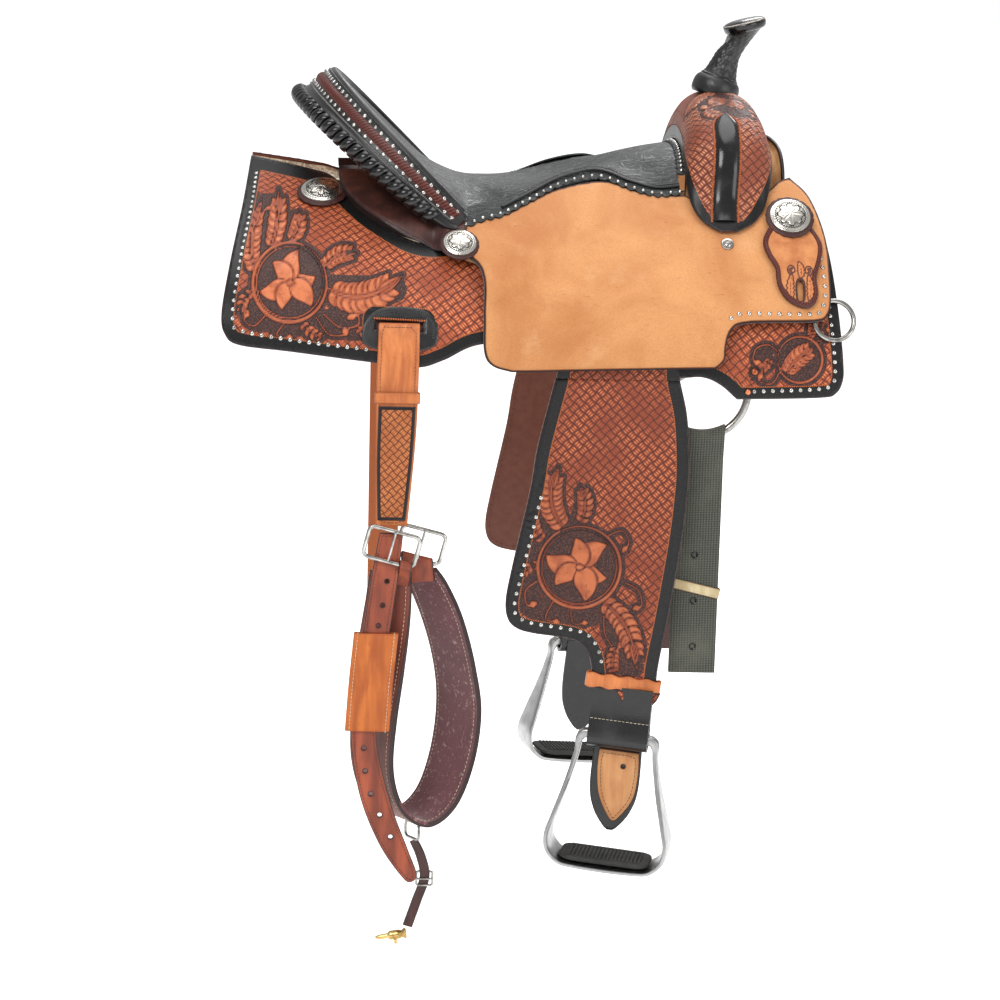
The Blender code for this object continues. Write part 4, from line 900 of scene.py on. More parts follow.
def seat_leather():
    """Seat leather, embossed with short wavy strokes, grey-green where the strokes catch the light."""
    make = Finish("seat_leather", 0.46, specular=0.45)
    strokes = make.noise(150, 3, make.stretched((0.32, 1.0, 0.9)), distortion=1.4)
    rows = make.noise(95, 2, make.stretched((1.0, 0.35, 1.0)), distortion=2.2)
    raised = make.sum("MAXIMUM", make.between(strokes, 0.48, 0.62), make.between(rows, 0.55, 0.66))
    colour = make.mix(raised, srgb(13, 15, 16), srgb(32, 38, 37))
    colour = make.mix(make.between(make.noise(9, 4), 0.40, 0.75), colour,
                      make.mix(0.45, colour, srgb(24, 26, 27)))
    make.colour(colour)
    normal = make.bump(raised, 0.0005, 0.7)
    normal = make.bump(make.pebbles(800), 0.0001, 0.3, normal)
    return make.finish(normal, make.rough(raised, 0.56, 0.40))


def strap_leather(name, tone, dark, edge_tone=None, gloss=0.46):
    """Smooth harness leather: streaky dye, a fine grain, darker edges and a creased line."""
    make = Finish(name, gloss, specular=0.4)
    streaks = make.noise(30, 5, make.stretched((3.0, 3.0, 0.5)), distortion=0.4)
    colour = make.mix(make.between(streaks, 0.28, 0.78), dark, tone)
    pores = make.pebbles(1100)
    colour = make.mix(make.sum("MULTIPLY", make.between(pores, 0.10, 0.0), 0.3), colour, dark)
    marks = make.between(make.noise(75, 5), 0.60, 0.74)
    colour = make.mix(make.sum("MULTIPLY", marks, 0.4), colour, dark)
    edge = make.mark("edge")
    colour = make.mix(make.between(edge, 1.3, 0.5), colour, edge_tone or dark)
    make.colour(colour)
    crease = make.band(edge, 2.0, 2.5, 0.25)
    normal = make.bump(make.sum("SUBTRACT", 1.0, crease), 0.0004, 0.7)
    return make.finish(make.bump(pores, 0.00015, 0.4, normal), make.rough(marks, gloss, gloss + 0.14))


def wool():
    make = Finish("fleece", 1.0, sheen=0.5, specular=0.1)
    locks = make.noise(140, 5, distortion=1.2)
    colour = make.mix(make.between(locks, 0.30, 0.70), srgb(150, 128, 104), srgb(238, 226, 200))
    colour = make.mix(make.between(make.noise(16, 3), 0.45, 0.75), colour,
                      make.mix(0.4, colour, srgb(190, 160, 120)))
    make.colour(colour)
    return make.finish(make.bump(locks, 0.0030, 0.9))


def felt():
    """The cinch's burgundy lining, napped and dusted with pale fluff."""
    make = Finish("cinch_leather", 0.97, sheen=0.4, specular=0.15)
    fluff = make.between(make.noise(210, 6, distortion=0.8), 0.56, 0.72)
    colour = make.mix(make.noise(24, 4), srgb(88, 48, 54), srgb(124, 76, 80))
    colour = make.mix(make.sum("MULTIPLY", fluff, 0.55), colour, srgb(196, 172, 168))
    make.colour(colour)
    return make.finish(make.bump(make.noise(420, 5), 0.0007, 0.7))


def webbing():
    """Dark olive nylon webbing, ribbed across and woven in a twill."""
    make = Finish("webbing", 0.82, sheen=0.2, specular=0.3)
    apart = make.node("ShaderNodeSeparateXYZ")
    make.feed(apart.inputs[0], make.place)
    down = make.sum("MULTIPLY", apart.outputs[2], 2 * math.pi / 0.0019)
    across = make.sum("MULTIPLY", apart.outputs[0], 2 * math.pi / 0.0030)
    ribs = make.sum("SINE", make.sum("ADD", down, make.sum("SINE", across)))
    yarn = make.sum("SINE", across)
    height = make.sum("MULTIPLY_ADD", ribs, 0.35, make.sum("MULTIPLY_ADD", yarn, 0.25, 0.5))
    colour = make.mix(make.between(height, 0.15, 0.85), srgb(42, 44, 40), srgb(92, 94, 84))
    colour = make.mix(make.between(make.noise(20, 4), 0.45, 0.8), colour,
                      make.mix(0.4, colour, srgb(110, 108, 96)))
    make.colour(colour)
    return make.finish(make.bump(height, 0.0005, 0.8))


def silver():
    """Engraved silver with black antiquing in the cuts. It reads depth from the piece."""
    make = Finish("silver", 0.30, 1.0)
    depth = make.mark("depth")
    tarnish = make.noise(160, 4)
    colour = make.mix(make.between(depth, 0.55, 0.15), srgb(206, 202, 194), srgb(48, 46, 44))
    colour = make.mix(make.sum("MULTIPLY", make.between(tarnish, 0.5, 0.8), 0.4), colour, srgb(128, 122, 112))
    make.colour(colour)
    return make.finish(make.bump(make.noise(900, 3), 0.00006, 0.5),
                       make.rough(make.between(depth, 0.55, 0.1), 0.26, 0.6))


def metal(name, tone, dark, gloss, scratch=0.00004):
    make = Finish(name, gloss, 1.0)
    wear = make.noise(90, 5)
    make.colour(make.mix(make.between(wear, 0.35, 0.75), tone, dark))
    scratches = make.noise(420, 3, make.stretched((1.0, 1.0, 0.15)))
    return make.finish(make.bump(scratches, scratch, 0.6),
                       make.rough(make.between(wear, 0.3, 0.8), gloss - 0.03, gloss + 0.06))


def plain(name, tone, dark, gloss, scale):
    """Thread, rubber, wood and other small finishes: a mottled colour and a fine surface."""
    make = Finish(name, gloss)
    mottle = make.noise(scale, 4)
    make.colour(make.mix(make.between(mottle, 0.3, 0.75), tone, dark))
    return make.finish(make.bump(make.noise(scale * 6, 3), 0.0002, 0.6))


def wood():
    make = Finish("tree_wood", 0.55)
    rings = make.noise(26, 4, make.stretched((0.25, 2.0, 2.0)), distortion=1.6)
    make.colour(make.mix(make.between(rings, 0.32, 0.70), srgb(196, 160, 112), srgb(142, 100, 60)))
    return make.finish(make.bump(rings, 0.0006, 0.4))


# Geometry Nodes: pieces set along a line

def piece_line_tree():
    """Sets a piece along a line at an even spacing, looking the way that the line's points face."""
    tree = bpy.data.node_groups.new("pieces along a line", "GeometryNodeTree")
    sides = tree.interface
    sides.new_socket("Line", in_out="INPUT", socket_type="NodeSocketGeometry")
    sides.new_socket("Spacing", in_out="INPUT", socket_type="NodeSocketFloat")
    sides.new_socket("Piece", in_out="INPUT", socket_type="NodeSocketObject")
    sides.new_socket("Finish", in_out="INPUT", socket_type="NodeSocketMaterial")
    sides.new_socket("Line", in_out="OUTPUT", socket_type="NodeSocketGeometry")
    nodes, links = tree.nodes, tree.links
    given, result = nodes.new("NodeGroupInput"), nodes.new("NodeGroupOutput")
    curve = nodes.new("GeometryNodeMeshToCurve")
    spaced = nodes.new("GeometryNodeResampleCurve")
    spaced.mode = "LENGTH"
    facing = nodes.new("GeometryNodeInputNamedAttribute")
    facing.data_type = "FLOAT_VECTOR"
    facing.inputs["Name"].default_value = "facing"
    tangent = nodes.new("GeometryNodeInputTangent")
    turned_to = nodes.new("FunctionNodeAxesToRotation")
    turned_to.primary_axis, turned_to.secondary_axis = "Z", "X"
    piece = nodes.new("GeometryNodeObjectInfo")
    put = nodes.new("GeometryNodeInstanceOnPoints")
    real = nodes.new("GeometryNodeRealizeInstances")
    painted = nodes.new("GeometryNodeSetMaterial")
    links.new(given.outputs["Line"], curve.inputs["Mesh"])
    links.new(curve.outputs[0], spaced.inputs["Curve"])
    links.new(given.outputs["Spacing"], spaced.inputs["Length"])
    links.new(given.outputs["Piece"], piece.inputs["Object"])
    links.new(spaced.outputs[0], put.inputs["Points"])
    links.new(piece.outputs["Geometry"], put.inputs["Instance"])
    links.new(facing.outputs["Attribute"], turned_to.inputs[0])
    links.new(tangent.outputs[0], turned_to.inputs[1])
    links.new(turned_to.outputs[0], put.inputs["Rotation"])
    links.new(put.outputs[0], real.inputs[0])
    links.new(real.outputs[0], painted.inputs["Geometry"])
    links.new(given.outputs["Finish"], painted.inputs["Material"])
    links.new(painted.outputs[0], result.inputs[0])
    return tree


LINE_TREE = piece_line_tree()


def tree_input(tree, name):
    return next(s.identifier for s in tree.interface.items_tree if s.name == name and s.in_out == "INPUT")


def along_lines(name, lines, spacing, piece, finish, body, slot, *replaced):
    """One mesh of a piece repeated along lines. A line is its points, the way they face, and if it closes."""
    points, facings, edges = [], [], []
    for line, facing, closed in lines:
        start = len(points)
        points += [tuple(p) for p in line]
        facings += [tuple(f) for f in facing]
        edges += [(start + i, start + i + 1) for i in range(len(line) - 1)]
        if closed:
            edges.append((start + len(line) - 1, start))
    mesh = bpy.data.meshes.new(name + "_line")
    mesh.from_pydata(points, edges, [])
    layer = mesh.attributes.new("facing", "FLOAT_VECTOR", "POINT")
    layer.data.foreach_set("vector", np.asarray(facings, np.float32).ravel())
    guide = new_object(name + "_line", mesh)
    grown = guide.modifiers.new("pieces", "NODES")
    grown.node_group = LINE_TREE
    grown[tree_input(LINE_TREE, "Spacing")] = spacing
    grown[tree_input(LINE_TREE, "Piece")] = piece
    grown[tree_input(LINE_TREE, "Finish")] = finish
    ready = guide.evaluated_get(bpy.context.evaluated_depsgraph_get())
    made = bpy.data.meshes.new_from_object(ready)
    bpy.data.objects.remove(guide)
    made.name = name
    return dressed(new_object(name, made), body, finish, slot, *replaced)


def side_line(points, lift, side, closed=False):
    """A line on the saddle's side from flat points, with the way that it faces."""
    flat = curve_line(points, 0.002, closed)
    high = lift(flat[:, 0], flat[:, 1]) if callable(lift) else lift
    return side_point(flat[:, 0], flat[:, 1], high, side), side_normal(flat[:, 0], flat[:, 1], side), closed


def plane_line(points, plane, side, closed=False, way=1):
    """The same on a flat face. way is -1 on the face that looks at the saddle."""
    flat = curve_line(points, 0.002, closed)
    line = np.stack([flat[:, 0], np.full(len(flat), side * plane), flat[:, 1]], -1)
    return line, np.tile((0.0, side * way, 0.0), (len(flat), 1)), closed


def tube_faces(rows, sides):
    """Faces round rows of points, with as many sides to each, and over both ends."""
    faces = []
    for i in range(rows - 1):
        for k in range(sides):
            a, b = i * sides + k, i * sides + (k + 1) % sides
            faces.append((a, b, b + sides, a + sides))
    return faces + [tuple(reversed(range(sides))), tuple(range((rows - 1) * sides, rows * sides))]


def turned(profile, sides, wide=1.0):
    """Points and faces of a lathe-turned piece about Z, closed at both ends. wide stretches it in Y."""
    points = []
    for radius, height in profile:
        for k in range(sides):
            angle = 2 * math.pi * k / sides
            points.append((radius * math.cos(angle), radius * math.sin(angle) * wide, height))
    return points, tube_faces(len(profile), sides)


def turned_finely(profile, sides, wide=1.0):
    """The same with the profile drawn as a smooth curve."""
    fine = resampled(np.c_[np.array(profile), np.zeros(len(profile))], 0.0010)[:, :2]
    return turned([tuple(p) for p in fine], sides, wide)


SMALL_PARTS = []


def small_part(name, points, faces):
    """A small piece that Geometry Nodes repeats, taken away at the end."""
    obj = facing_out(plain_mesh(name, points, faces))
    SMALL_PARTS.append(obj)
    return obj


def stud_part(radius=0.0025, high=0.0016):
    ring = ((radius * 1.0, -0.0003), (radius * 1.0, 0.0002), (radius * 0.86, high * 0.62),
            (radius * 0.45, high * 0.95))
    return small_part("stud", *turned(ring, 8))


def stitch_part(long=0.0030, thick=0.0006):
    """A short sunken-ended thread."""
    points = []
    for share in (-0.5, -0.25, 0.25, 0.5):
        lift = 0.0 if abs(share) == 0.5 else thick * 0.75
        size = thick * (0.35 if abs(share) == 0.5 else 0.5)
        for angle in (45, 135, 225, 315):
            turn = math.radians(angle)
            points.append((share * long, math.cos(turn) * size, lift + math.sin(turn) * size))
    return small_part("stitch", points, tube_faces(4, 4))


def bow_part(name, reach, wide, high, slant=0.0, steps=6, across=6):
    """A thong that crosses a line: up out of the leather, over and down again."""
    points = []
    for i in range(steps + 1):
        t = i / steps
        y = (t - 0.5) * reach
        z = math.sin(math.pi * t) ** 0.7 * high - 0.0006
        for k in range(across):
            turn = 2 * math.pi * k / across
            points.append((math.cos(turn) * wide / 2 + slant * (t - 0.5), y,
                           z + math.sin(turn) * wide * 0.24))
    return small_part(name, points, tube_faces(steps + 1, across))


TOOLED = tooled("carved_leather", 12.5)
# high is the painted highlight colour for the carving's crests and the stamp's tips.
FENDER_TOOLED = tooled("fender_leather", 13.5, base=srgb(132, 58, 34), high=srgb(206, 120, 76), stamp=0.0080)
TIP_TOOLED = tooled("tip_leather", 1.4, base=srgb(132, 58, 34), stamp=0.0060, line=False)
ROUGHOUT = roughout()
BLACK_LEATHER = black_leather()
GLOSS_LEATHER = black_leather("gloss_black_leather", 0.18, 0.00008, srgb(13, 12, 14), srgb(24, 23, 26))
SEAT_LEATHER = seat_leather()
STRAP_TAN = strap_leather("strap_leather", STRAP, STRAP_DARK)
TAIL_BROWN = strap_leather("tail_leather", srgb(168, 82, 54), srgb(116, 54, 36), srgb(46, 26, 24), 0.44)
TONGUE_TAN = strap_leather("tongue_leather", srgb(214, 158, 108), srgb(184, 124, 78), srgb(84, 52, 38), 0.7)
SLEEVE_TAN = strap_leather("sleeve_leather", srgb(206, 116, 48), srgb(160, 78, 30))
PALE_TAN = strap_leather("gullet_leather", srgb(226, 176, 122), srgb(190, 130, 80), srgb(70, 42, 36), 0.6)
DARK_BROWN = strap_leather("brown_leather", srgb(86, 48, 40), srgb(50, 30, 28), srgb(34, 22, 22), 0.42)
LACE_RED = strap_leather("lace_leather", srgb(142, 60, 38), srgb(84, 34, 26), None, 0.36)
WOOL = wool()
FELT = felt()
WEBBING = webbing()
SILVER = silver()
NICKEL = metal("nickel", srgb(190, 188, 184), srgb(128, 126, 122), 0.20)
STEEL = metal("steel", srgb(166, 164, 160), srgb(104, 101, 97), 0.24)
ALUMINIUM = metal("aluminium", srgb(164, 164, 164), srgb(150, 150, 150), 0.34, 0.00003)
BRASS = metal("brass", srgb(220, 190, 124), srgb(150, 116, 62), 0.28)
COPPER = metal("copper", srgb(206, 128, 92), srgb(130, 70, 48), 0.34)
RUBBER = plain("tread_rubber", srgb(54, 54, 52), srgb(36, 36, 36), 0.82, 60.0)
THREAD = plain("cream_thread", srgb(232, 222, 196), srgb(190, 176, 146), 0.8, 300.0)
DARK_THREAD = plain("dark_thread", srgb(52, 44, 42), srgb(34, 30, 30), 0.7, 300.0)
WOOD = wood()

STUD = stud_part()
SMALL_STUD = stud_part(0.0021, 0.0014)
STITCH = stitch_part()
BEAD = small_part("bead", *turned(((0.0009, -0.0004), (0.0013, 0.0), (0.0009, 0.0008), (0.0003, 0.0011)), 6))


# Skirts

def around(centre, radius, wide, turn=0.0):
    line = curl(centre, radius, radius, turn, turn + 358, 56)
    return ("stem", line, wide)


def skirt_strokes():
    """Flower in its vine, fronds behind it, a long leaf forwards, scrolls below, then the front corner."""
    heart = (-0.284, 0.010)
    strokes = vine(((-0.2480, -0.0200), (-0.2300, -0.0330), (-0.2120, -0.0300), (-0.2130, -0.0200),
                    (-0.2220, -0.0230)), 0.0026)
    strokes += vine(((-0.2560, -0.0230), (-0.2420, -0.0400), (-0.2260, -0.0400), (-0.2260, -0.0340)), 0.0024)
    strokes += vine(((-0.2380, 0.0080), (-0.2220, -0.0080), (-0.2060, -0.0120), (-0.1960, -0.0060)), 0.0022)
    strokes += vine(((-0.3170, 0.0300), (-0.3220, 0.0560), (-0.3120, 0.0790), (-0.3020, 0.0760)), 0.0024)
    strokes += vine(((-0.3080, -0.0220), (-0.3200, -0.0330), (-0.3300, -0.0280), (-0.3270, -0.0190)), 0.0024)
    strokes += vine(((-0.2900, -0.0310), (-0.2960, -0.0420), (-0.2810, -0.0440)), 0.0022)
    strokes += acanthus((-0.3190, 0.0200), (-0.3340, 0.0440), (-0.3160, 0.0900), 0.0082, 9)
    strokes += acanthus((-0.3060, 0.0420), (-0.2960, 0.0640), (-0.2990, 0.0980), 0.0080, 7)
    strokes += acanthus((-0.2860, 0.0500), (-0.2740, 0.0600), (-0.2760, 0.0780), 0.0070, 5)
    strokes += acanthus((-0.2440, 0.0060), (-0.2070, -0.0170), (-0.1660, 0.0200), 0.0125, 9)
    strokes += acanthus((-0.2480, 0.0260), (-0.2360, 0.0420), (-0.2140, 0.0400), 0.0072, 6)
    strokes += acanthus((-0.3230, 0.0000), (-0.3350, -0.0060), (-0.3330, -0.0220), 0.0052, 4)
    strokes += acanthus((-0.2700, -0.0290), (-0.2620, -0.0400), (-0.2480, -0.0440), 0.0052, 4)
    strokes += acanthus((-0.2130, -0.0330), (-0.2050, -0.0400), (-0.1990, -0.0360), 0.0045, 4)
    strokes += [around(heart, 0.0385, 0.0022, 70), around(heart, 0.0345, 0.0012, 70)]
    strokes += flower(heart, 0.0330, 15)
    strokes += matted(heart, heart, 0.0380) + matted((-0.3280, 0.0880), (-0.3180, 0.0200), 0.0110)
    strokes += matted((-0.3100, 0.0850), (-0.2980, 0.0500), 0.0100) + matted((-0.3180, -0.0250),
                                                                             (-0.2060, -0.0320), 0.0150)
    strokes += matted((-0.2400, 0.0060), (-0.1750, 0.0060), 0.0140)
    strokes += matted((0.2560, -0.0590), (0.2560, -0.0590), 0.0250) + matted((0.2100, -0.0740),
                                                                             (0.2160, -0.0540), 0.0100)
    front = (0.256, -0.059)
    strokes += vine(((0.2330, -0.0520), (0.2220, -0.0440), (0.2090, -0.0480), (0.2060, -0.0600),
                     (0.2140, -0.0640)), 0.0024)
    strokes += vine(((0.2360, -0.0680), (0.2270, -0.0840), (0.2130, -0.0820), (0.2150, -0.0740)), 0.0022)
    strokes += vine(((0.2740, -0.0400), (0.2850, -0.0360), (0.2860, -0.0260)), 0.0020)
    strokes += acanthus((0.2240, -0.0580), (0.2200, -0.0680), (0.2120, -0.0700), 0.0045, 4)
    strokes += acanthus((0.2660, -0.0350), (0.2720, -0.0260), (0.2690, -0.0140), 0.0050, 5)
    strokes += [around(front, 0.0240, 0.0018, 190)]
    strokes += acanthus((0.2420, -0.0740), (0.2500, -0.0560), (0.2720, -0.0460), 0.0085, 7)
    return strokes


SKIRT_CUTS = skirt_strokes()


def art_marks(strokes):
    def marks(flat):
        art, vein = carved(flat, strokes)
        return {"art": art, "vein": vein}
    return marks


def open_top_marks(strokes, outline):
    """Marks of a fender, whose border leaves out the top edge that goes up under the jockey."""
    top = outline[:, 1] > outline[:, 1].max() - 0.0015
    start = int(np.nonzero(~top & np.roll(top, 1))[0][0])
    rim = np.roll(outline, -start, 0)[~np.roll(top, -start)]

    def marks(flat):
        art, vein = carved(flat, strokes)
        far, _, _ = to_line(flat, rim, closed=False)
        return {"art": art, "vein": vein, "edge": far / MM}
    return marks


def neck_marks(flat):
    """Marks of the short piece above a fender: borders down its two sides, and no carving."""
    sides = np.minimum(flat[:, 0] + 0.0022, 0.1272 - flat[:, 0]) / MM
    return {"art": np.full(len(flat), -NO_LINE), "vein": np.full(len(flat), NO_LINE), "edge": sides}


def art_relief(values):
    rise = np.clip(values["art"] / 2.0, 0, 1)
    ground = np.clip((values["art"] + 3.6) / 0.8, 0, 1)
    return 0.00055 * rise - 0.00025 * ground * (values["art"] < 0) - 0.0002 * (values["vein"] < 0.5)


def make_skirts():
    outline = curve_line(SKIRT_OUTLINE, 0.004)
    slot = curve_line(SLOT_OUTLINE, 0.003)
    for word, side in SIDES:
        skirt = leather(
            f"skirt_leather_{word}", outline, -SKIRT_THICK, 0.0, on_side(side), 0.0017, (slot,),
            marks=art_marks(SKIRT_CUTS), relief=art_relief, uv=side_uv,
        )
        dressed(skirt, "saddle", TOOLED, "carved_leather", f"skirt_{word}")
        rear = ((-0.3240, 0.1120), (-0.3280, 0.0780), (-0.3370, 0.0280), (-0.3425, -0.0250),
                (-0.3330, -0.0380),
                (-0.2800, -0.0465), (-0.2030, -0.0545))
        front = ((0.2080, -0.0930), (0.2750, -0.0895), (0.2905, -0.0840), (0.2940, -0.0700),
                 (0.2890, -0.0180),
                 (0.2830, 0.0300))
        lines = [side_line(rear, 0.0, side), side_line(front, 0.0, side)]
        along_lines(f"skirt_studs_{word}", lines, STUD_SPACING, STUD, NICKEL, "saddle", "steel")
        make_slot_plate(word, side)
        make_slot_lining(word, side)
        make_skirt_rivets(word, side)


def make_slot_plate(word, side):
    """The black plate round the billet's slot, with its ribbed top edge and stitching."""
    outline = curve_line((
        (-0.2070, -0.0470), (-0.2060, -0.0300), (-0.1960, -0.0170), (-0.1800, -0.0120), (-0.1560, -0.0120),
        (-0.1390, -0.0170), (-0.1290, -0.0300), (-0.1300, -0.0480), (-0.1420, -0.0550, 1),
        (-0.1950, -0.0540, 1),
    ), 0.002)
    slot = curve_line(((-0.1960, -0.0220, 1), (-0.1420, -0.0240, 1), (-0.1420, -0.0370, 1),
                       (-0.1960, -0.0350, 1)), 0.002)
    plate = leather(f"slot_plate_{word}", outline, 0.0002, 0.0016, on_side(side), 0.0012, (slot,),
                    soft=0.0007)
    dressed(plate, "saddle", BLACK_LEATHER, "black_leather")
    top = ((-0.2035, -0.0400), (-0.2020, -0.0300), (-0.1935, -0.0195), (-0.1790, -0.0150), (-0.1570, -0.0150),
           (-0.1420, -0.0195), (-0.1330, -0.0300), (-0.1335, -0.0420))
    rib = bow_part("rib", 0.0042, 0.0016, 0.0010)
    along_lines(f"slot_ribs_{word}", [side_line(top, 0.0016, side)], 0.0022, rib, BLACK_LEATHER, "saddle",
                "black_leather")
    lip = ((-0.1950, -0.0232), (-0.1430, -0.0252))
    along_lines(f"slot_lip_{word}", [side_line(lip, 0.0014, side)], 0.0024, BEAD, STRAP_TAN, "saddle",
                "strap_leather")


def make_slot_lining(word, side):
    """Dark leather behind the slot, in front of the fleece."""
    lining = curve_line(((-0.200, -0.018), (-0.137, -0.018), (-0.132, -0.044), (-0.205, -0.044)), 0.003)
    dark = leather(f"slot_lining_{word}", lining, -0.0066, -0.0060, on_side(side), 0.0030, soft=0.0002,
                   uv=side_uv)
    dressed(dark, "saddle", DARK_BROWN, "brown_leather")


def make_skirt_rivets(word, side):
    for name, x, z, radius in (("rivet", 0.2010, -0.0935, 0.0034), ("ball", 0.2075, -0.0720, 0.0040)):
        foot, way, _ = side_line(((x, z), (x + 0.002, z)), 0.0002, side)
        profile = ((radius, 0.0), (radius, 0.0008), (radius * 0.8, 0.0022), (radius * 0.4, 0.0030))
        piece = set_at(f"copper_{name}_{word}", *turned(profile, 16), foot[0], way[0])
        dressed(piece, "saddle", COPPER, "steel")


def set_at(name, points, faces, foot, way, marks=None):
    """Puts a piece made about Z at a foot, looking along way."""
    way = Vector(way).normalized()
    turn = way.to_track_quat("Z", "Y").to_matrix()
    placed = [Vector(foot) + turn @ Vector(p) for p in points]
    return facing_out(plain_mesh(name, placed, faces, marks=marks))


# Fleece

def make_fleece():
    outline = curve_line(FLEECE_OUTLINE, 0.005)
    slot = curve_line(FLEECE_SLOT, 0.004)
    lock = lock_part()
    for word, side in SIDES:
        def inner(x, z):
            waves = np.sin(x * 410 + np.sin(z * 300) * 2) * np.sin(z * 370 + np.sin(x * 240) * 2)
            return -0.0205 - 0.0014 * waves
        body = leather(f"fleece_wool_{word}", outline, -0.0066, inner, on_side(side), 0.0040, (slot,),
                       soft=0.0060)
        dressed(body, "saddle", WOOL, "fleece", f"fleece_{word}")
        rim = side_point(outline[:, 0], outline[:, 1], -0.0125, side)
        outwards = outline - np.roll(outline, 2, 0)
        way = np.stack([-outwards[:, 1], np.zeros(len(outline)), outwards[:, 0]], -1)
        middle = outline.mean(0)
        flip = np.sign((outline - middle)[:, 0] * way[:, 0] + (outline - middle)[:, 1] * way[:, 2])
        way = way * flip[:, None] + np.array([0, -side * 0.002, 0])
        along_lines(f"fleece_locks_{word}", [(rim, way, True)], 0.0030, lock, WOOL, "saddle", "fleece")


def lock_part():
    """A short curled lock of wool."""
    points = []
    for i in range(5):
        t = i / 4
        angle = t * 4.2
        middle = (math.cos(angle) * 0.0016 * (1 - t), math.sin(angle) * 0.0016 * (1 - t), t * 0.0034 - 0.0016)
        for k in range(5):
            turn = 2 * math.pi * k / 5
            size = 0.0015 * (1 - 0.75 * t)
            points.append((middle[0] + math.cos(turn) * size, middle[1] + math.sin(turn) * size, middle[2]))
    return small_part("lock", points, tube_faces(5, 5))


# Seat jockeys

def make_jockeys():
    outline = curve_line(JOCKEY_OUTLINE, 0.004)
    for word, side in SIDES:
        jockey = leather(f"jockey_leather_{word}", outline, under_jockey, on_jockey, on_side(side), 0.0026,
                         uv=side_uv)
        dressed(jockey, "saddle", ROUGHOUT, "roughout_leather", f"seat_jockey_{word}")
        row = ((0.1790, -0.0215), (0.1900, -0.0170), (0.2660, -0.0150), (0.2770, -0.0090), (0.2805, 0.0040),
               (0.2800, 0.0190), (0.2775, 0.0390), (0.2740, 0.0560))
        along_lines(f"jockey_studs_{word}", [side_line(row, on_jockey, side)], 0.0105, STUD, NICKEL, "saddle",
                    "steel")
        make_screw(f"swell_screw_{word}", 0.1780, 0.0480, on_jockey, side, 0.0070)
        make_bar_cover(word, side)


def make_screw(name, x, z, lift, side, radius):
    """A cup washer with a slotted screw in it."""
    foot, way, _ = side_line(((x, z), (x + 0.002, z)), lift, side)
    cup = ((radius, 0.0), (radius, 0.0007), (radius * 0.92, 0.0016), (radius * 0.74, 0.0018),
           (radius * 0.62, 0.0009))
    dressed(set_at(name + "_cup", *turned(cup, 28), foot[0], way[0]), "saddle", NICKEL, "steel")
    head = ((radius * 0.56, 0.0008), (radius * 0.56, 0.0013), (radius * 0.40, 0.0022),
            (radius * 0.12, 0.0026))
    dressed(set_at(name + "_head", *turned(head, 20), foot[0], way[0]), "saddle", STEEL, "steel")


def make_bar_cover(word, side):
    """Dark leather over the bar's end, from under the cantle's laced edge to a rounded tongue."""
    outline = curve_line((
        (-0.2350, 0.1120, 1), (-0.2300, 0.0960), (-0.2140, 0.0800), (-0.1900, 0.0660), (-0.1640, 0.0560),
        (-0.1450, 0.0500), (-0.1300, 0.0420), (-0.1180, 0.0360), (-0.1080, 0.0400), (-0.1000, 0.0530),
        (-0.0980, 0.0660, 1), (-0.1240, 0.0830), (-0.1500, 0.0940), (-0.1800, 0.1040), (-0.2080, 0.1120, 1),
    ), 0.003)

    def low(x, z):
        return 0.0006 + (under_jockey(x, z) + 0.0042) * ramp(x, -0.135, -0.118)

    def high(x, z):
        return low(x, z) + 0.0016 + 0.0085 * ramp(z, 0.050, 0.068) * ramp(-x, 0.095, 0.120)
    cover = leather(f"bar_cover_{word}", outline, low, high, on_side(side), 0.0022, soft=0.0011, uv=side_uv)
    dressed(cover, "saddle", DARK_BROWN, "brown_leather")


# Drop plates

def drop_strokes():
    return [
        ("leaf", bent((0.2440, -0.0030), (0.2400, 0.0060), (0.2440, 0.0200)), 0.0032),
        ("leaf", bent((0.2620, -0.0030), (0.2660, 0.0060), (0.2620, 0.0200)), 0.0032),
        ("leaf", bent((0.2530, 0.0180), (0.2560, 0.0240), (0.2520, 0.0320)), 0.0030),
        ("bulb", curl((0.2440, 0.0250), 0.0040, 0.0016, 250, -60), 0.0012),
        ("bulb", curl((0.2620, 0.0250), 0.0040, 0.0016, 290, 600), 0.0012),
    ]


def drop_leather():
    """Tan leather with small carved leaves round the slot; the middle of the plate is left plain."""
    make = Finish("drop_plate_leather", 0.50, specular=0.4)
    art, vein, edge = make.mark("art"), make.mark("vein"), make.mark("edge")
    mottled = make.mix(make.between(make.noise(60, 5), 0.3, 0.75), srgb(176, 104, 58), srgb(206, 138, 84))
    leaf = make.mix(make.between(vein, 0.5, 0.15), srgb(200, 122, 70), CARVED_LOW)
    ground = make.mix(make.between(art, -1.8, -1.4), mottled, srgb(92, 50, 38))
    field = make.mix(make.between(art, -0.1, 0.1), ground, leaf)
    make.colour(make.mix(make.between(edge, 2.6, 2.0), field, srgb(70, 34, 28)))
    normal = make.bump(make.between(art, -0.2, 0.8), 0.0005, 0.7)
    return make.finish(make.bump(make.pebbles(1000), 0.00015, 0.4, normal))


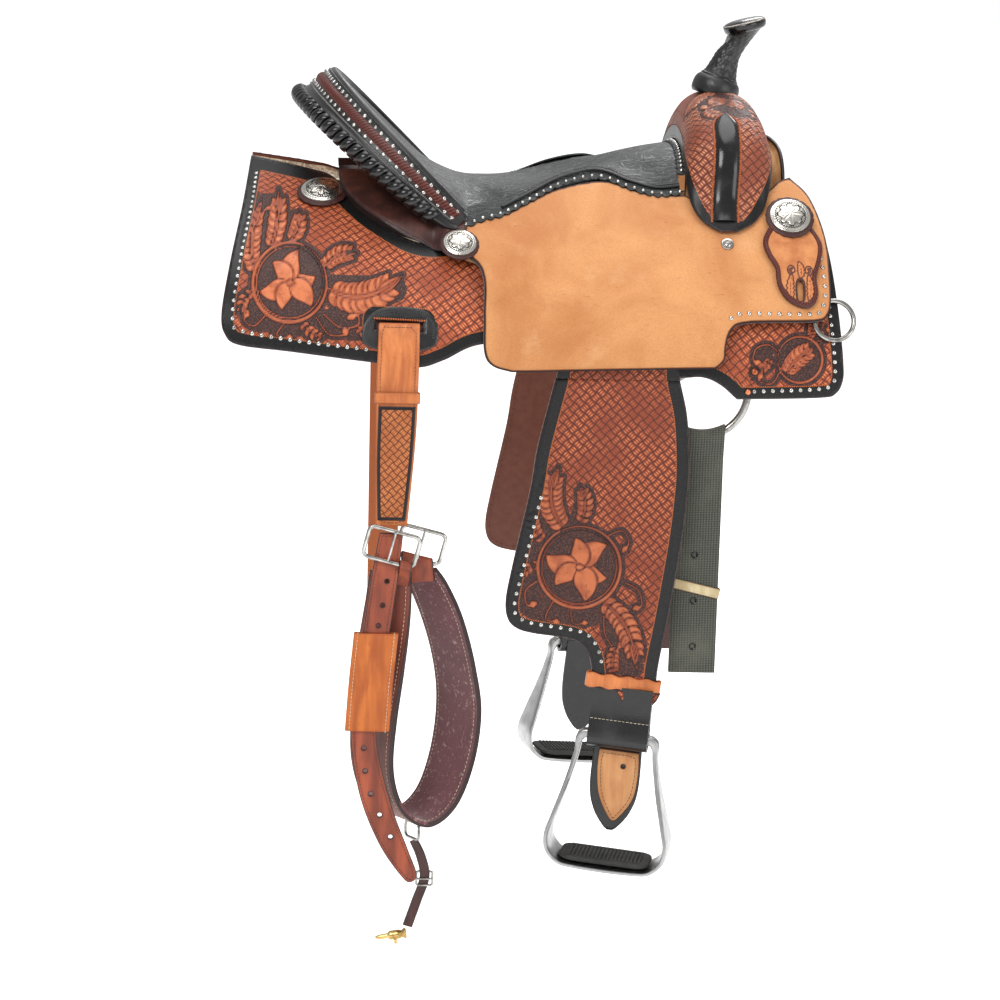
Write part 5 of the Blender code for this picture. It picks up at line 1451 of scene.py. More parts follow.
def make_drop_plates():
    outline = curve_line(DROP_OUTLINE, 0.002)
    slot = curve_line(DROP_SLOT, 0.001)
    finish = drop_leather()
    braid = bow_part("braid", 0.0052, 0.0030, 0.0016, 0.0036)
    for word, side in SIDES:
        plate = leather(f"drop_leather_{word}", outline, under_plate, on_plate, on_side(side), 0.0010,
                        (slot,), soft=0.0009,
                        marks=art_marks(drop_strokes()), relief=art_relief, uv=side_uv)
        dressed(plate, "saddle", finish, "carved_leather", f"drop_plate_{word}")
        middle = np.array(DROP_OUTLINE)[:, :2].mean(0)
        inset = [tuple(middle + (np.array(p[:2]) - middle) * 0.92) for p in DROP_OUTLINE]
        along_lines(f"drop_braid_{word}", [side_line(inset, on_plate, side, closed=True)], 0.0030, braid,
                    LACE_RED,
                    "saddle", "carved_leather")


# Conchos

def make_conchos():
    rosette = strap_leather("rosette_leather", srgb(150, 70, 44), srgb(92, 40, 30), srgb(60, 30, 26), 0.5)
    for word, side in SIDES:
        concho(f"front_concho_{word}", (0.2450, 0.0735), 0.0225, 0.0064, on_jockey, side, rosette)
        concho(f"seat_concho_{word}", (-0.107, 0.0420), 0.0180, 0.0024, on_jockey, side, rosette)
        concho(f"rear_concho_{word}", (-0.252, 0.0950), 0.0235, 0.0030, on_skirt, side, rosette)


def engraving(share, angle):
    """How deep the cut is at a share of the radius, from 0 to 1: eight petals, a ground and a roped rim."""
    reach = 0.30 + 0.38 * abs(math.cos(angle * 4)) ** 0.5
    if share < 0.74:
        if share > reach + 0.035:
            return 0.75 * (math.sin(angle * 40) * math.sin(share * 60) > -0.1)
        rib = abs(math.sin(angle * 4)) ** 0.7
        return 1.0 if abs(share - reach) < 0.035 else 0.45 * (1 - rib) * (share < reach)
    if share < 0.80:
        return 1.0
    if share < 0.96:
        return 0.9 * (0.5 + 0.5 * math.sin(angle * 36 + share * 40)) ** 2
    return 0.0


def engraved_dome(radius):
    """Points and faces of a silver dome about Z, and 1 less the depth of its cuts."""
    around_count, out_count = 120, 26
    points, faces, depth = [(0.0, 0.0, 0.0074)], [], [1.0]
    for i in range(1, out_count + 1):
        share = i / out_count
        for k in range(around_count):
            angle = 2 * math.pi * k / around_count
            cut = engraving(share, angle)
            height = 0.0074 - 0.0044 * share**2.2 - 0.0005 * cut
            points.append((radius * share * math.cos(angle) * 0.96, radius * share * math.sin(angle) * 0.96,
                           height))
            depth.append(1 - cut)
    for k in range(around_count):
        faces.append((0, 1 + k, 1 + (k + 1) % around_count))
    for i in range(out_count - 1):
        for k in range(around_count):
            a, b = 1 + i * around_count + k, 1 + i * around_count + (k + 1) % around_count
            faces.append((a, a + around_count, b + around_count, b))
    start = 1 + (out_count - 1) * around_count
    low = len(points)
    for k in range(around_count):
        px, py, _ = points[start + k]
        points.append((px, py, 0.0014))
        depth.append(0.3)
    for k in range(around_count):
        m = (k + 1) % around_count
        faces.append((start + k, low + k, low + m, start + m))
    faces.append(tuple(low + k for k in reversed(range(around_count))))
    return points, faces, depth


def scalloped_disc(radius):
    """Points and faces of a leather rosette with a scalloped edge, about Z."""
    count, points = 96, []
    for height, inset in ((-0.0012, 0.0), (0.0002, 0.0), (0.0009, 0.0007), (0.0016, 0.0040),
                          (0.0016, 0.0100)):
        for k in range(count):
            angle = 2 * math.pi * k / count
            reach = radius * (1.13 + 0.04 * abs(math.sin(angle * 9)) ** 0.5) - inset
            points.append((reach * math.cos(angle), reach * math.sin(angle), height))
    return points, tube_faces(5, count)


def concho(node, place, radius, rise, carrier, side, rosette):
    """An engraved silver dome with a roped rim, on a scalloped leather rosette."""
    x, z = np.array([place[0]]), np.array([place[1]])
    foot = side_point(x, z, carrier(x, z) + rise, side)[0]
    way = side_normal(x, z, side)[0]
    points, faces, depth = engraved_dome(radius)
    dome = set_at(f"{node}_silver", points, faces, foot, way, {"depth": depth})
    dressed(dome, "saddle", SILVER, "silver", node)
    disc = set_at(f"{node}_rosette", *scalloped_disc(radius), foot, way)
    dressed(disc, "saddle", rosette, "carved_leather")


# Fenders and what hangs from them

def fender_strokes():
    heart = (0.0280, -0.2840)
    strokes = vine(((0.0560, -0.2500), (0.0720, -0.2440), (0.0800, -0.2560), (0.0740, -0.2660)), 0.0022)
    strokes += vine(((-0.0130, -0.2980), (-0.0280, -0.3100), (-0.0260, -0.3260), (-0.0170, -0.3240)), 0.0026)
    strokes += vine(((0.0020, -0.3200), (-0.0060, -0.3400), (0.0080, -0.3440)), 0.0024)
    strokes += vine(((0.0200, -0.3280), (0.0240, -0.3450), (0.0380, -0.3440)), 0.0022)
    strokes += vine(((0.0780, -0.3000), (0.0920, -0.3080), (0.0960, -0.3240), (0.0880, -0.3280)), 0.0024)
    strokes += vine(((0.0560, -0.3300), (0.0580, -0.3560), (0.0700, -0.3720), (0.0780, -0.3640)), 0.0024)
    strokes += acanthus((0.0120, -0.2430), (-0.0160, -0.2160), (0.0030, -0.1760), 0.0105, 9)
    strokes += acanthus((0.0270, -0.2370), (0.0380, -0.2160), (0.0260, -0.1960), 0.0070, 6)
    strokes += acanthus((-0.0100, -0.2560), (-0.0260, -0.2440), (-0.0220, -0.2240), 0.0062, 5)
    strokes += acanthus((0.0520, -0.3200), (0.0880, -0.3400), (0.0940, -0.3960), 0.0100, 9)
    strokes += acanthus((-0.0150, -0.2820), (-0.0300, -0.2840), (-0.0360, -0.3000), 0.0052, 4)
    strokes += acanthus((0.0700, -0.3700), (0.0640, -0.3860), (0.0700, -0.4000), 0.0060, 5)
    strokes += [around(heart, 0.0440, 0.0024, 120), around(heart, 0.0398, 0.0012, 120)]
    strokes += matted(heart, heart, 0.0435) + matted((-0.0080, -0.1980), (-0.0260, -0.3260), 0.0120)
    strokes += matted((-0.0180, -0.3300), (0.0420, -0.3360), 0.0130) + matted((0.0640, -0.3280),
                                                                              (0.0860, -0.3900), 0.0150)
    strokes += matted((0.0240, -0.2360), (0.0300, -0.2100), 0.0090)
    return strokes + flower(heart, 0.0385, -20)


def make_fenders():
    outline = curve_line(FENDER_OUTLINE, 0.003)
    top_outline = curve_line(FENDER_TOP_OUTLINE, 0.003)
    cuts = fender_strokes()
    for word, side in SIDES:
        body, bend = f"fender_{word}", f"leather_bend_{word}"
        fender = leather(f"fender_leather_{word}", outline, 0.0, FENDER_THICK, on_plane(FENDER_PLANE, side),
                         0.0014,
                         marks=open_top_marks(cuts, outline), relief=art_relief)
        dressed(fender, body, FENDER_TOOLED, "carved_leather", f"fender_{word}")
        row = ((-0.0150, -0.2100), (-0.0300, -0.2800), (-0.0395, -0.3240), (-0.0360, -0.3380),
               (-0.0200, -0.3455),
               (0.0140, -0.3505), (0.0380, -0.3560), (0.0500, -0.3700), (0.0550, -0.3860))
        along_lines(f"fender_studs_{word}", [plane_line(row, FENDER_PLANE + FENDER_THICK, side)], 0.0104,
                    STUD, NICKEL,
                    body, "steel")
        holes = [tuple(p) for p in inset_line(outline, 0.0050)]
        along_lines(f"fender_stitches_{word}", [plane_line(holes, FENDER_PLANE, side, True, -1)], 0.0070,
                    STITCH, DARK_THREAD, body, "carved_leather")
        strap = leather(f"fender_top_strap_{word}", top_outline, 0.0, 0.0030, on_plane(FENDER_PLANE, side),
                        0.0022, soft=0.0008)
        dressed(strap, bend, STRAP_TAN, "strap_leather", f"fender_top_{word}")
        neck = curve_line(((0.0010, -0.0640, 1), (0.1250, -0.0640, 1), (0.1278, -0.0822, 1),
                           (-0.0032, -0.0822, 1)), 0.003)
        cover = leather(f"fender_neck_{word}", neck, 0.0032, FENDER_THICK, on_plane(FENDER_PLANE, side),
                        0.0020, soft=0.0001,
                        marks=neck_marks)
        dressed(cover, bend, FENDER_TOOLED, "carved_leather")
        leather_piece = leather(f"stirrup_strap_{word}", curve_line(LEATHER_OUTLINE, 0.004), leather_low,
                                leather_high,
                                on_side(side), 0.0036, soft=0.0010, uv=side_uv)
        dressed(leather_piece, "saddle", STRAP_TAN, "strap_leather", f"stirrup_leather_{word}")
        make_hobble(word, side, body)
        make_stirrup(word, side)


def inset_line(outline, inset):
    """An outline moved inwards by an even distance."""
    ahead = unit(np.roll(outline, -1, 0) - np.roll(outline, 1, 0))
    normal = np.stack([-ahead[:, 1], ahead[:, 0]], -1)
    x, z = outline[:, 0], outline[:, 1]
    area = (x * np.roll(z, -1) - np.roll(x, -1) * z).sum()
    moved = outline + normal * inset * np.sign(area)
    keep = to_line(moved, outline)[0] > inset * 0.9
    return moved[keep][::3]


def ring_loft(rings, closed_path=False):
    """Points and faces of a skin over rings of points."""
    rings = np.asarray(rings)
    count, size = rings.shape[:2]
    faces = []
    for i in range(count if closed_path else count - 1):
        j = (i + 1) % count
        for k in range(size):
            m = (k + 1) % size
            faces.append((i * size + k, i * size + m, j * size + m, j * size + k))
    if not closed_path:
        faces.append(tuple(range(size)))
        faces.append(tuple((count - 1) * size + k for k in range(size)))
    return rings.reshape(-1, 3), faces


def strap_axes(middles, across):
    """The directions across a strap and out of its face, square to its path."""
    ahead = unit(np.gradient(middles, axis=0))
    across = unit(across - ahead * (across * ahead).sum(1, keepdims=True))
    return across, np.cross(ahead, across)


def strap_mesh(name, middles, wides, across, thick, round_edge=0.0008, columns=8):
    """A flat strap along a path: its middle, its width, and the direction of its width at each station."""
    middles, across = np.asarray(middles, float), np.asarray(across, float)
    across, face = strap_axes(middles, across)
    shares = np.linspace(-1, 1, columns)
    rings, edges = [], []
    for middle, wide, right, up in zip(middles, np.broadcast_to(wides, len(middles)), across, face):
        half = wide / 2
        flat = [middle + right * (s * (half - (round_edge if abs(s) > 0.99 else 0))) for s in shares]
        top, low = [p + up * thick / 2 for p in flat], [p - up * thick / 2 for p in flat[::-1]]
        rings.append(top + [middle + right * half] + low + [middle - right * half])
        line = [(1 - abs(s)) * half / MM for s in shares]
        edges += line + [0.0] + line[::-1] + [0.0]
    points, faces = ring_loft(rings)
    return facing_out(plain_mesh(name, points, faces, marks={"edge": edges}))


def resampled(points, step):
    """A smooth 3-D line through points at about step apart."""
    points = np.asarray(points, float)
    out = []
    for i in range(len(points) - 1):
        before, after = points[max(i - 1, 0)], points[min(i + 2, len(points) - 1)]
        a, b = points[i], points[i + 1]
        m0, m1 = (b - before) / 2, (after - a) / 2
        t = np.linspace(0, 1, max(2, round(np.linalg.norm((b - a)[:3]) / step)), endpoint=False)[:, None]
        out.append(smooth_piece(t, a, b, m0, m1))
    out.append(points[-1][None])
    return np.concatenate(out)


def wire(name, line, radius, closed=True, across=12, up=(0, 1, 0)):
    """A round wire along a line."""
    line = np.asarray(line, float)
    ahead = unit((np.roll(line, -1, 0) - np.roll(line, 1, 0)) if closed else np.gradient(line, axis=0))
    first = unit(np.cross(ahead, np.broadcast_to(up, ahead.shape)))
    second = np.cross(ahead, first)
    turn = np.linspace(0, 2 * np.pi, across, endpoint=False)
    rings = [[p + (a * math.cos(t) + b * math.sin(t)) * radius for t in turn] for p, a,
             b in zip(line, first, second)]
    points, faces = ring_loft(rings, closed)
    return facing_out(plain_mesh(name, points, faces))


def make_hobble(word, side, body):
    """The wavy-edged hobble strap round the fender's foot."""
    near, far = FENDER_PLANE - 0.0005, FENDER_PLANE + FENDER_THICK + 0.0005
    wall = 0.0025
    lean = math.radians(-7)
    middle = (0.0795, -0.4095)
    half, inside, outside = 0.0392, near - wall / 2, far + wall / 2
    loop = [(-half, inside), (half, inside), (half, outside), (-half, outside)]
    path = []
    for k in range(4):
        (u0, y0), (u1, y1) = loop[k], loop[(k + 1) % 4]
        count = 40 if abs(u1 - u0) > 0.01 else 5
        path += [(u0 + (u1 - u0) * t / count, y0 + (y1 - y0) * t / count) for t in range(count)]
    rings, edges = [], []
    for i, (u, y) in enumerate(path):
        (ua, ya), (ub, yb) = path[i - 1], path[(i + 1) % len(path)]
        out = np.array([(yb - ya), -(ub - ua)])
        out /= np.linalg.norm(out)
        tall = 0.0076 + 0.0010 * math.sin(u * 320)
        ring = []
        for h, d in ((-1, -0.4), (-0.94, -1), (-0.5, -1), (0, -1), (0.5, -1), (0.94, -1), (1, -0.4),
                     (1, 0.4), (0.94, 1), (0.5, 1), (0, 1), (-0.5, 1), (-0.94, 1), (-1, 0.4)):
            pu, py = u + out[0] * d * wall / 2, y + out[1] * d * wall / 2
            height = h * tall
            px = middle[0] + pu * math.cos(lean) - height * math.sin(lean)
            pz = middle[1] + pu * math.sin(lean) + height * math.cos(lean)
            ring.append((px, side * py, pz))
            edges.append((1 - abs(h)) * tall / MM)
        rings.append(ring)
    points, faces = ring_loft(rings, True)
    hobble = facing_out(plain_mesh(f"hobble_{word}", points, faces, marks={"edge": edges}))
    dressed(hobble, body, STRAP_TAN, "strap_leather", f"hobble_strap_{word}")


def stirrup_axes(side):
    along = Vector((math.cos(STIRRUP_TURN), side * math.sin(STIRRUP_TURN), 0))
    along = (Matrix.Rotation(STIRRUP_LEAN, 3, Vector((0, 1, 0))) @ along).normalized()
    out = Vector((-side * along.y, side * along.x, 0)).normalized()
    up = out.cross(along) * side * -1
    if up.z < 0:
        up.negate()
    return np.array(along), np.array(up), np.array(out)


def make_stirrup(word, side):
    along, up, out = stirrup_axes(side)
    foot = np.array((STIRRUP_TOP[0], side * STIRRUP_PLANE, STIRRUP_TOP[1]))
    body = f"stirrup_{word}"
    line = ((0.0, 0.000), (0.020, 0.0), (0.036, 0.001), (0.0415, -0.006), (0.0425, -0.020), (0.0500, -0.055),
            (0.0600, -0.092), (0.0645, -0.110), (0.0620, -0.126), (0.0500, -0.138), (0.0350, -0.1410),
            (0.0, -0.1420))
    full = curve_line(list(line) + [(-u, w) for u, w in reversed(line[1:-1])], 0.004)
    ahead = unit(np.roll(full, -1, 0) - np.roll(full, 1, 0))
    outward = np.stack([ahead[:, 1], -ahead[:, 0]], -1)
    if (outward[:, 1] * (full[:, 1] + 0.07)).sum() < 0:
        outward = -outward
    rings = []
    for (u, w), (ou, ow) in zip(full, outward):
        thick = 0.0028 + 0.0022 * float(ramp(w, -0.015, 0.0))
        deep = 0.0065 + 0.0215 * float(ramp(-w, 0.0, 0.125))
        ring = []
        for k in range(20):
            turn = 2 * math.pi * k / 20
            a = math.copysign(abs(math.cos(turn)) ** 0.55, math.cos(turn))
            b = math.copysign(abs(math.sin(turn)) ** 0.35, math.sin(turn))
            ring.append(foot + along * (u + ou * thick * a) + up * (w + ow * thick * a) + out * (deep * b))
        rings.append(ring)
    points, faces = ring_loft(rings, True)
    frame_piece = facing_out(plain_mesh(f"stirrup_frame_{word}", points, faces))
    dressed(frame_piece, body, ALUMINIUM, "aluminium", f"stirrup_{word}")
    make_tread(word, along, up, out, foot, body)
    make_wrap(word, side, along, up, out, foot)


def rounded_loop(half_wide, half_tall, corner, steps):
    """A rectangle with rounded corners, as a closed line."""
    loop = []
    for quarter, (sx, sy) in enumerate(((1, 1), (-1, 1), (-1, -1), (1, -1))):
        for k in range(steps + 1):
            angle = math.pi / 2 * (quarter + k / steps)
            loop.append((sx * (half_wide - corner) + corner * math.cos(angle),
                         sy * (half_tall - corner) + corner * math.sin(angle)))
    return loop


def make_tread(word, along, up, out, foot, body):
    """The rubber tread with its cross ribs."""
    loop = rounded_loop(0.0490, 0.0265, 0.012, 6)
    rings = []
    for w, shrink in ((-0.1366, 0.80), (-0.1350, 0.95), (-0.1330, 1.0), (-0.1318, 1.0), (-0.1306, 0.985),
                      (-0.1302, 0.95)):
        rings.append([foot + along * u * shrink + up * w + out * v * shrink for u, v in loop])
    points, faces = ring_loft(rings)
    tread = facing_out(plain_mesh(f"tread_rubber_{word}", points, faces, smooth=math.radians(30)))
    dressed(tread, body, RUBBER, "tread_rubber", f"tread_{word}")
    rib = small_part("tread_rib", *box_points(0.0016, 0.0215, 0.0012))
    line = [foot + along * u + up * -0.1300 for u in np.linspace(-0.038, 0.038, 20)]
    along_lines(f"tread_ribs_{word}", [(line, [tuple(up)] * 20, False)], 0.0042, rib, RUBBER, body,
                "tread_rubber")


def box_points(half_x, half_y, half_z):
    """A bar with bevelled upper edges, about its middle."""
    points = []
    for z, shrink in ((-half_z, 1.0), (half_z * 0.3, 1.0), (half_z, 0.62)):
        for x, y in ((-1, -1), (1, -1), (1, 1), (-1, 1)):
            points.append((x * half_x * shrink, y * (half_y - half_x * (1 - shrink)), z))
    return points, tube_faces(3, 4)


def make_wrap(word, side, along, up, out, foot):
    """Black leather looped over the stirrup's bar, the tan tongue inside it, and their stitching."""
    body = f"fender_{word}"
    half, inner, wall, top = 0.0325, 0.0082, 0.0040, 0.0560
    turn = np.radians(np.linspace(180, 360, 19))
    skin = [(-0.0016 - wall, top), (-0.0016 - wall, 0.040), (-0.0018 - wall, 0.030), (-0.0024 - wall, 0.022),
            (-0.0090, 0.012)]
    skin += [((inner + wall) * math.cos(t), (inner + wall) * math.sin(t)) for t in turn]
    skin += [(-v, w) for v, w in reversed(skin[:5])]
    hollow = [(0.0016, top), (0.0016, 0.026), (0.0060, 0.010)]
    hollow += [(inner * math.cos(t), inner * math.sin(t)) for t in turn[::-1]]
    hollow += [(-0.0060, 0.010), (-0.0016, 0.026), (-0.0016, top)]
    section = skin + hollow
    rings, edges = [], []
    for u in (-half, -half * 0.96, -half * 0.6, 0, half * 0.6, half * 0.96, half):
        rings.append([foot + along * u + out * v + up * w for v, w in section])
        edges += [(half - abs(u)) / MM] * len(section)
    points, faces = ring_loft(rings)
    wrap = facing_out(plain_mesh(f"stirrup_wrap_leather_{word}", points, faces, marks={"edge": edges}))
    dressed(wrap, body, BLACK_LEATHER, "black_leather", f"stirrup_wrap_{word}")
    tail = curve_line((
        (-0.0255, 0.004, 1), (0.0255, 0.004, 1), (0.0265, -0.056), (0.0200, -0.084), (0.0065, -0.1035),
        (0.0, -0.106),
        (-0.0065, -0.1035), (-0.0200, -0.084), (-0.0265, -0.056)), 0.003)
    behind = -(inner + wall)

    def place(x, z, height):
        return foot + np.outer(x, along) + np.outer(z, up) + np.outer(behind + height, out)
    inner_tail = leather(f"wrap_tail_{word}", tail, -0.0008, 0.0030, place, 0.0022, soft=0.0008)
    dressed(inner_tail, body, BLACK_LEATHER, "black_leather")
    tongue = curve_line((
        (-0.0200, -0.0160, 1), (0.0240, -0.0160, 1), (0.0255, -0.0400), (0.0230, -0.0660), (0.0130, -0.0850),
        (0.0030, -0.0950), (-0.0060, -0.0860), (-0.0160, -0.0660), (-0.0200, -0.0400)), 0.003)
    eye = curl((0.0080, -0.0330), 0.0024, 0.0024, 0, 345, 20)
    piece = leather(f"wrap_tongue_{word}", tongue, 0.0031, 0.0062, place, 0.0018, (eye,), soft=0.0008)
    dressed(piece, body, TONGUE_TAN, "strap_leather")
    tip = curve_line(((0.070, -0.4160, 1), (0.120, -0.4190, 1), (0.1140, -0.4300), (0.1030, -0.4380),
                      (0.0950, -0.4420),
                      (0.0860, -0.4360), (0.0770, -0.4270)), 0.002)
    end = leather(f"fender_tip_{word}", tip, 0.0056, 0.0082, on_plane(FENDER_PLANE, side), 0.0014,
                  soft=0.0006,
                  marks=art_marks(acanthus((0.0960, -0.4170), (0.0980, -0.4260), (0.0950, -0.4390), 0.0080,
                                           5)),
                  relief=art_relief)
    dressed(end, body, TIP_TOOLED, "carved_leather")
    seam = inset_line(tongue, 0.0042)
    line = foot + np.outer(seam[:, 0], along) + np.outer(seam[:, 1], up) + out * (behind + 0.0062)
    along_lines(f"wrap_stitches_{word}", [(line, [tuple(out)] * len(line), True)], 0.0042, STITCH,
                DARK_THREAD, body,
                "strap_leather")
    cross = [foot + along * u + up * 0.0200 + out * 0.0078 for u in np.linspace(-0.030, 0.030, 12)]
    along_lines(f"wrap_seam_{word}", [(cross, [tuple(out)] * 12, False)], 0.0042, STITCH, THREAD, body,
                "black_leather")


# Seat and cantle

def cantle_plane():
    rise = np.array([CANTLE_TOP[0] - CANTLE_FOOT[0], 0, CANTLE_TOP[1] - CANTLE_FOOT[1]])
    length = np.linalg.norm(rise)
    up = rise / length
    return up, np.array([-up[2], 0, up[0]]), length


def rim_point(turn):
    """Points on the cantle's rim, from the right foot at -90 degrees over the top to the left foot."""
    up, _, rise = cantle_plane()
    power = 2 / 2.3
    turn = np.asarray(turn, float)
    across = np.sign(np.sin(turn)) * np.abs(np.sin(turn)) ** power * CANTLE_HALF_WIDTH
    climb = np.abs(np.cos(turn)) ** power * rise
    foot = np.array([CANTLE_FOOT[0], 0, CANTLE_FOOT[1]])
    return foot + climb[..., None] * up + across[..., None] * np.array([0, 1.0, 0])


def seat_surface(width=61):
    """Rows of points across the seat's top, from swell to cantle rim, and how many are in front of the rim."""
    flat = curve_line(SEAT_EDGE, 0.006, closed=False)
    front = side_point(flat[:, 0], flat[:, 1], on_jockey(flat[:, 0], flat[:, 1]) + 0.0045, LEFT)
    turns = np.radians(np.concatenate([np.linspace(90, 14, 30), [10, 7, 5]]))
    edge = np.concatenate([front, rim_point(turns)])
    centre = curve_line(SEAT_CENTRE, 0.003, closed=False)
    length = np.concatenate([[0], np.cumsum(np.linalg.norm(np.diff(centre, axis=0), axis=1))])
    rows = []
    ways = np.linspace(-1, 1, width)
    for i, side in enumerate(edge):
        if i < len(front):
            share = 0.53 * i / (len(front) - 1)
        else:
            share = 0.53 + 0.47 * math.sin(math.pi / 2 * min(1,
                                                             (i - len(front) + 1) / (len(edge) - len(front)))) ** 0.9
        want = share * length[-1]
        middle = np.array([np.interp(want, length, centre[:, 0]), 0, np.interp(want, length, centre[:, 1])])
        w = np.abs(ways)
        blend = ramp(i, len(front) - 6, len(front) + 6)
        open_row = np.stack([side[0] + (middle[0] - side[0]) * (1 - w**2), ways * side[1],
                             side[2] + (middle[2] - side[2]) * (1 - w**2.6)], -1)
        dish_row = np.stack([middle[0] + (side[0] - middle[0]) * w**2.2, np.sign(ways) * w**0.9 * side[1],
                             middle[2] + (side[2] - middle[2]) * w**2.2], -1)
        rows.append(open_row * (1 - blend) + dish_row * blend)
    return np.array(rows), len(front)


def row_normals(rows):
    ahead, across = np.gradient(rows, axis=0), np.gradient(rows, axis=1)
    normal = np.cross(across, ahead)
    return unit(normal * np.sign(normal[..., 2:3]))


def closed_sheet(top, low):
    """Points and faces of a closed slab between two grids of points."""
    deep, wide = top.shape[:2]
    count = deep * wide
    faces = []
    for i in range(deep - 1):
        for c in range(wide - 1):
            a = i * wide + c
            faces.append((a, a + 1, a + wide + 1, a + wide))
            faces.append((a + count, a + wide + count, a + wide + 1 + count, a + 1 + count))
    rim = list(range(wide)) + [i * wide + wide - 1 for i in range(1, deep)]
    rim += [(deep - 1) * wide + c for c in range(wide - 2, -1, -1)] + [i * wide for i in range(deep - 2, 0,
                                                                                               -1)]
    for a, b in zip(rim, rim[1:] + rim[:1]):
        faces.append((a, b, b + count, a + count))
    return np.concatenate([top.reshape(-1, 3), low.reshape(-1, 3)]), faces


def make_seat():
    rows, front = seat_surface()
    normals = row_normals(rows)
    ways = np.linspace(-1, 1, rows.shape[1])
    depth = COVER_THICK + (SEAT_THICK - COVER_THICK) * (1 - np.abs(ways) ** 3)
    swelling = SEAT_SWELL
    top = rows - normals * swelling
    low = rows - normals * depth[None, :, None]
    seat = facing_out(plain_mesh("seat_pad", *closed_sheet(top, low)))
    pad_out(seat, SEAT_SWELL_MOST)
    dressed(seat, "saddle", SEAT_LEATHER, "seat_leather", "seat_cover")
    make_seat_edges(rows, normals, front)
    return rows


def pad_out(obj, most):
    """Blows the pad up under its leather, and lets no point go further than most."""
    mesh = obj.data
    count = len(mesh.vertices)
    start = np.empty(count * 3)
    mesh.vertices.foreach_get("co", start)
    start = start.reshape(-1, 3)
    cloth = obj.modifiers.new("stuffing", "CLOTH")
    cloth.settings.use_pressure = True
    cloth.settings.uniform_pressure_force = 3.0
    cloth.settings.effector_weights.gravity = 0.0
    cloth.settings.tension_stiffness = 40
    cloth.settings.compression_stiffness = 40
    cloth.settings.quality = 4
    scene = bpy.context.scene
    for number in range(1, 15):
        scene.frame_set(number)
    ready = obj.evaluated_get(bpy.context.evaluated_depsgraph_get())
    end = np.empty(count * 3)
    ready.data.vertices.foreach_get("co", end)
    move = end.reshape(-1, 3) - start
    far = np.linalg.norm(move, axis=1, keepdims=True)
    move = move * np.minimum(1.0, most / np.maximum(far, 1e-9))
    obj.modifiers.remove(cloth)
    mesh.vertices.foreach_set("co", (start + move).ravel())
    mesh.update()
    scene.frame_set(1)


def make_seat_edges(rows, normals, front):
    """The seat's scalloped side edges with their spots, cord and stitches, and the strip at the swell."""
    step, columns, scallop = 0.0012, 7, 0.0100
    for word, side, column, inner in (("right", RIGHT, 0, 2), ("left", LEFT, -1, -3)):
        line = curve_line(SEAT_EDGE + APRON_END, step, closed=False)
        length = np.arange(len(line)) * step
        drop = 0.0062 + 0.0022 * np.abs(np.sin(math.pi * length / scallop))
        rise = np.linspace(0, 1, columns) * (drop[:, None] + 0.0040) - drop[:, None]
        x, z = np.broadcast_to(line[:, :1], rise.shape).ravel(), (line[:, 1:] + rise).ravel()
        top, low = (side_point(x, z, lift(x, z), side).reshape(len(line), columns, 3)
                    for lift in (on_apron, on_jockey))
        apron = facing_out(plain_mesh(f"seat_apron_{word}", *closed_sheet(top, low)))
        dressed(apron, "saddle", SEAT_LEATHER, "seat_leather")
        spots = [(x, z - 0.0048) for x, z in SEAT_EDGE + APRON_END]
        line, facing, _ = side_line(spots, on_apron, side)
        along_lines(f"scallop_spots_{word}", [(line, facing, False)], scallop, SMALL_STUD, NICKEL, "saddle",
                    "steel")
        edge = rows[:front, column] - normals[:front, column] * 0.0010
        cord = wire(f"seat_cord_{word}", resampled(edge, 0.003), 0.0015, closed=False)
        dressed(cord, "saddle", BLACK_LEATHER, "black_leather")
        seam = resampled(rows[:front, inner] + normals[:front, inner] * 0.0012, 0.002)
        facing = np.tile(normals[front // 2, inner], (len(seam), 1))
        along_lines(f"seat_stitches_{word}", [(seam, facing, False)], 0.0036, STITCH, DARK_THREAD, "saddle",
                    "seat_leather")
    rim = wire("rim_filler", rim_point(np.radians(np.linspace(-89, 89, 150))), 0.0046, closed=False,
               up=(0.8, 0, 0.6))
    dressed(rim, "saddle", BLACK_LEATHER, "black_leather")
    round_end = ((0.0058, -0.0012), (0.0060, 0.0004), (0.0052, 0.0010), (0.0026, 0.0013))
    disc = small_part("scallop", *turned(round_end, 14))
    facing = normals[0, 4:-4]
    strip = rows[0, 4:-4] + facing * 0.0012 + np.array([0.0028, 0, 0.0006])
    along_lines("swell_scallops", [(strip, facing, False)], STUD_SPACING, disc, SEAT_LEATHER, "saddle",
                "seat_leather")
    along_lines("swell_spots", [(strip + facing * 0.0018, facing, False)], STUD_SPACING, SMALL_STUD, NICKEL,
                "saddle", "steel")


# The cantle roll's section: out from the rim, and behind it.
ROLL = (
    (0.0014, -0.0040), (0.0034, -0.0030), (0.0050, 0.0010), (0.0065, 0.0060), (0.0073, 0.0120),
    (0.0080, 0.0180),
    (0.0085, 0.0240), (0.0086, 0.0300), (0.0104, 0.0345), (0.0122, 0.0385), (0.0130, 0.0430),
    (0.0112, 0.0485),
    (0.0076, 0.0515), (0.0040, 0.0522), (0.0014, 0.0440),
)


def roll_frames(turns):
    """The rim's points, the ways out of it and behind it, and how much of the roll's depth is left there."""
    _, back, _ = cantle_plane()
    point = rim_point(turns)
    out = unit(np.cross(unit(rim_point(turns + 0.01) - rim_point(turns - 0.01)), back))
    middle = point * np.array([0, 1, 1]) - np.array([0, 0, 0.1])
    out *= np.sign((out * middle).sum(1, keepdims=True))
    taper = 0.40 + 0.60 * np.maximum(np.cos(turns), 0) ** 0.5
    return point, out, back, taper


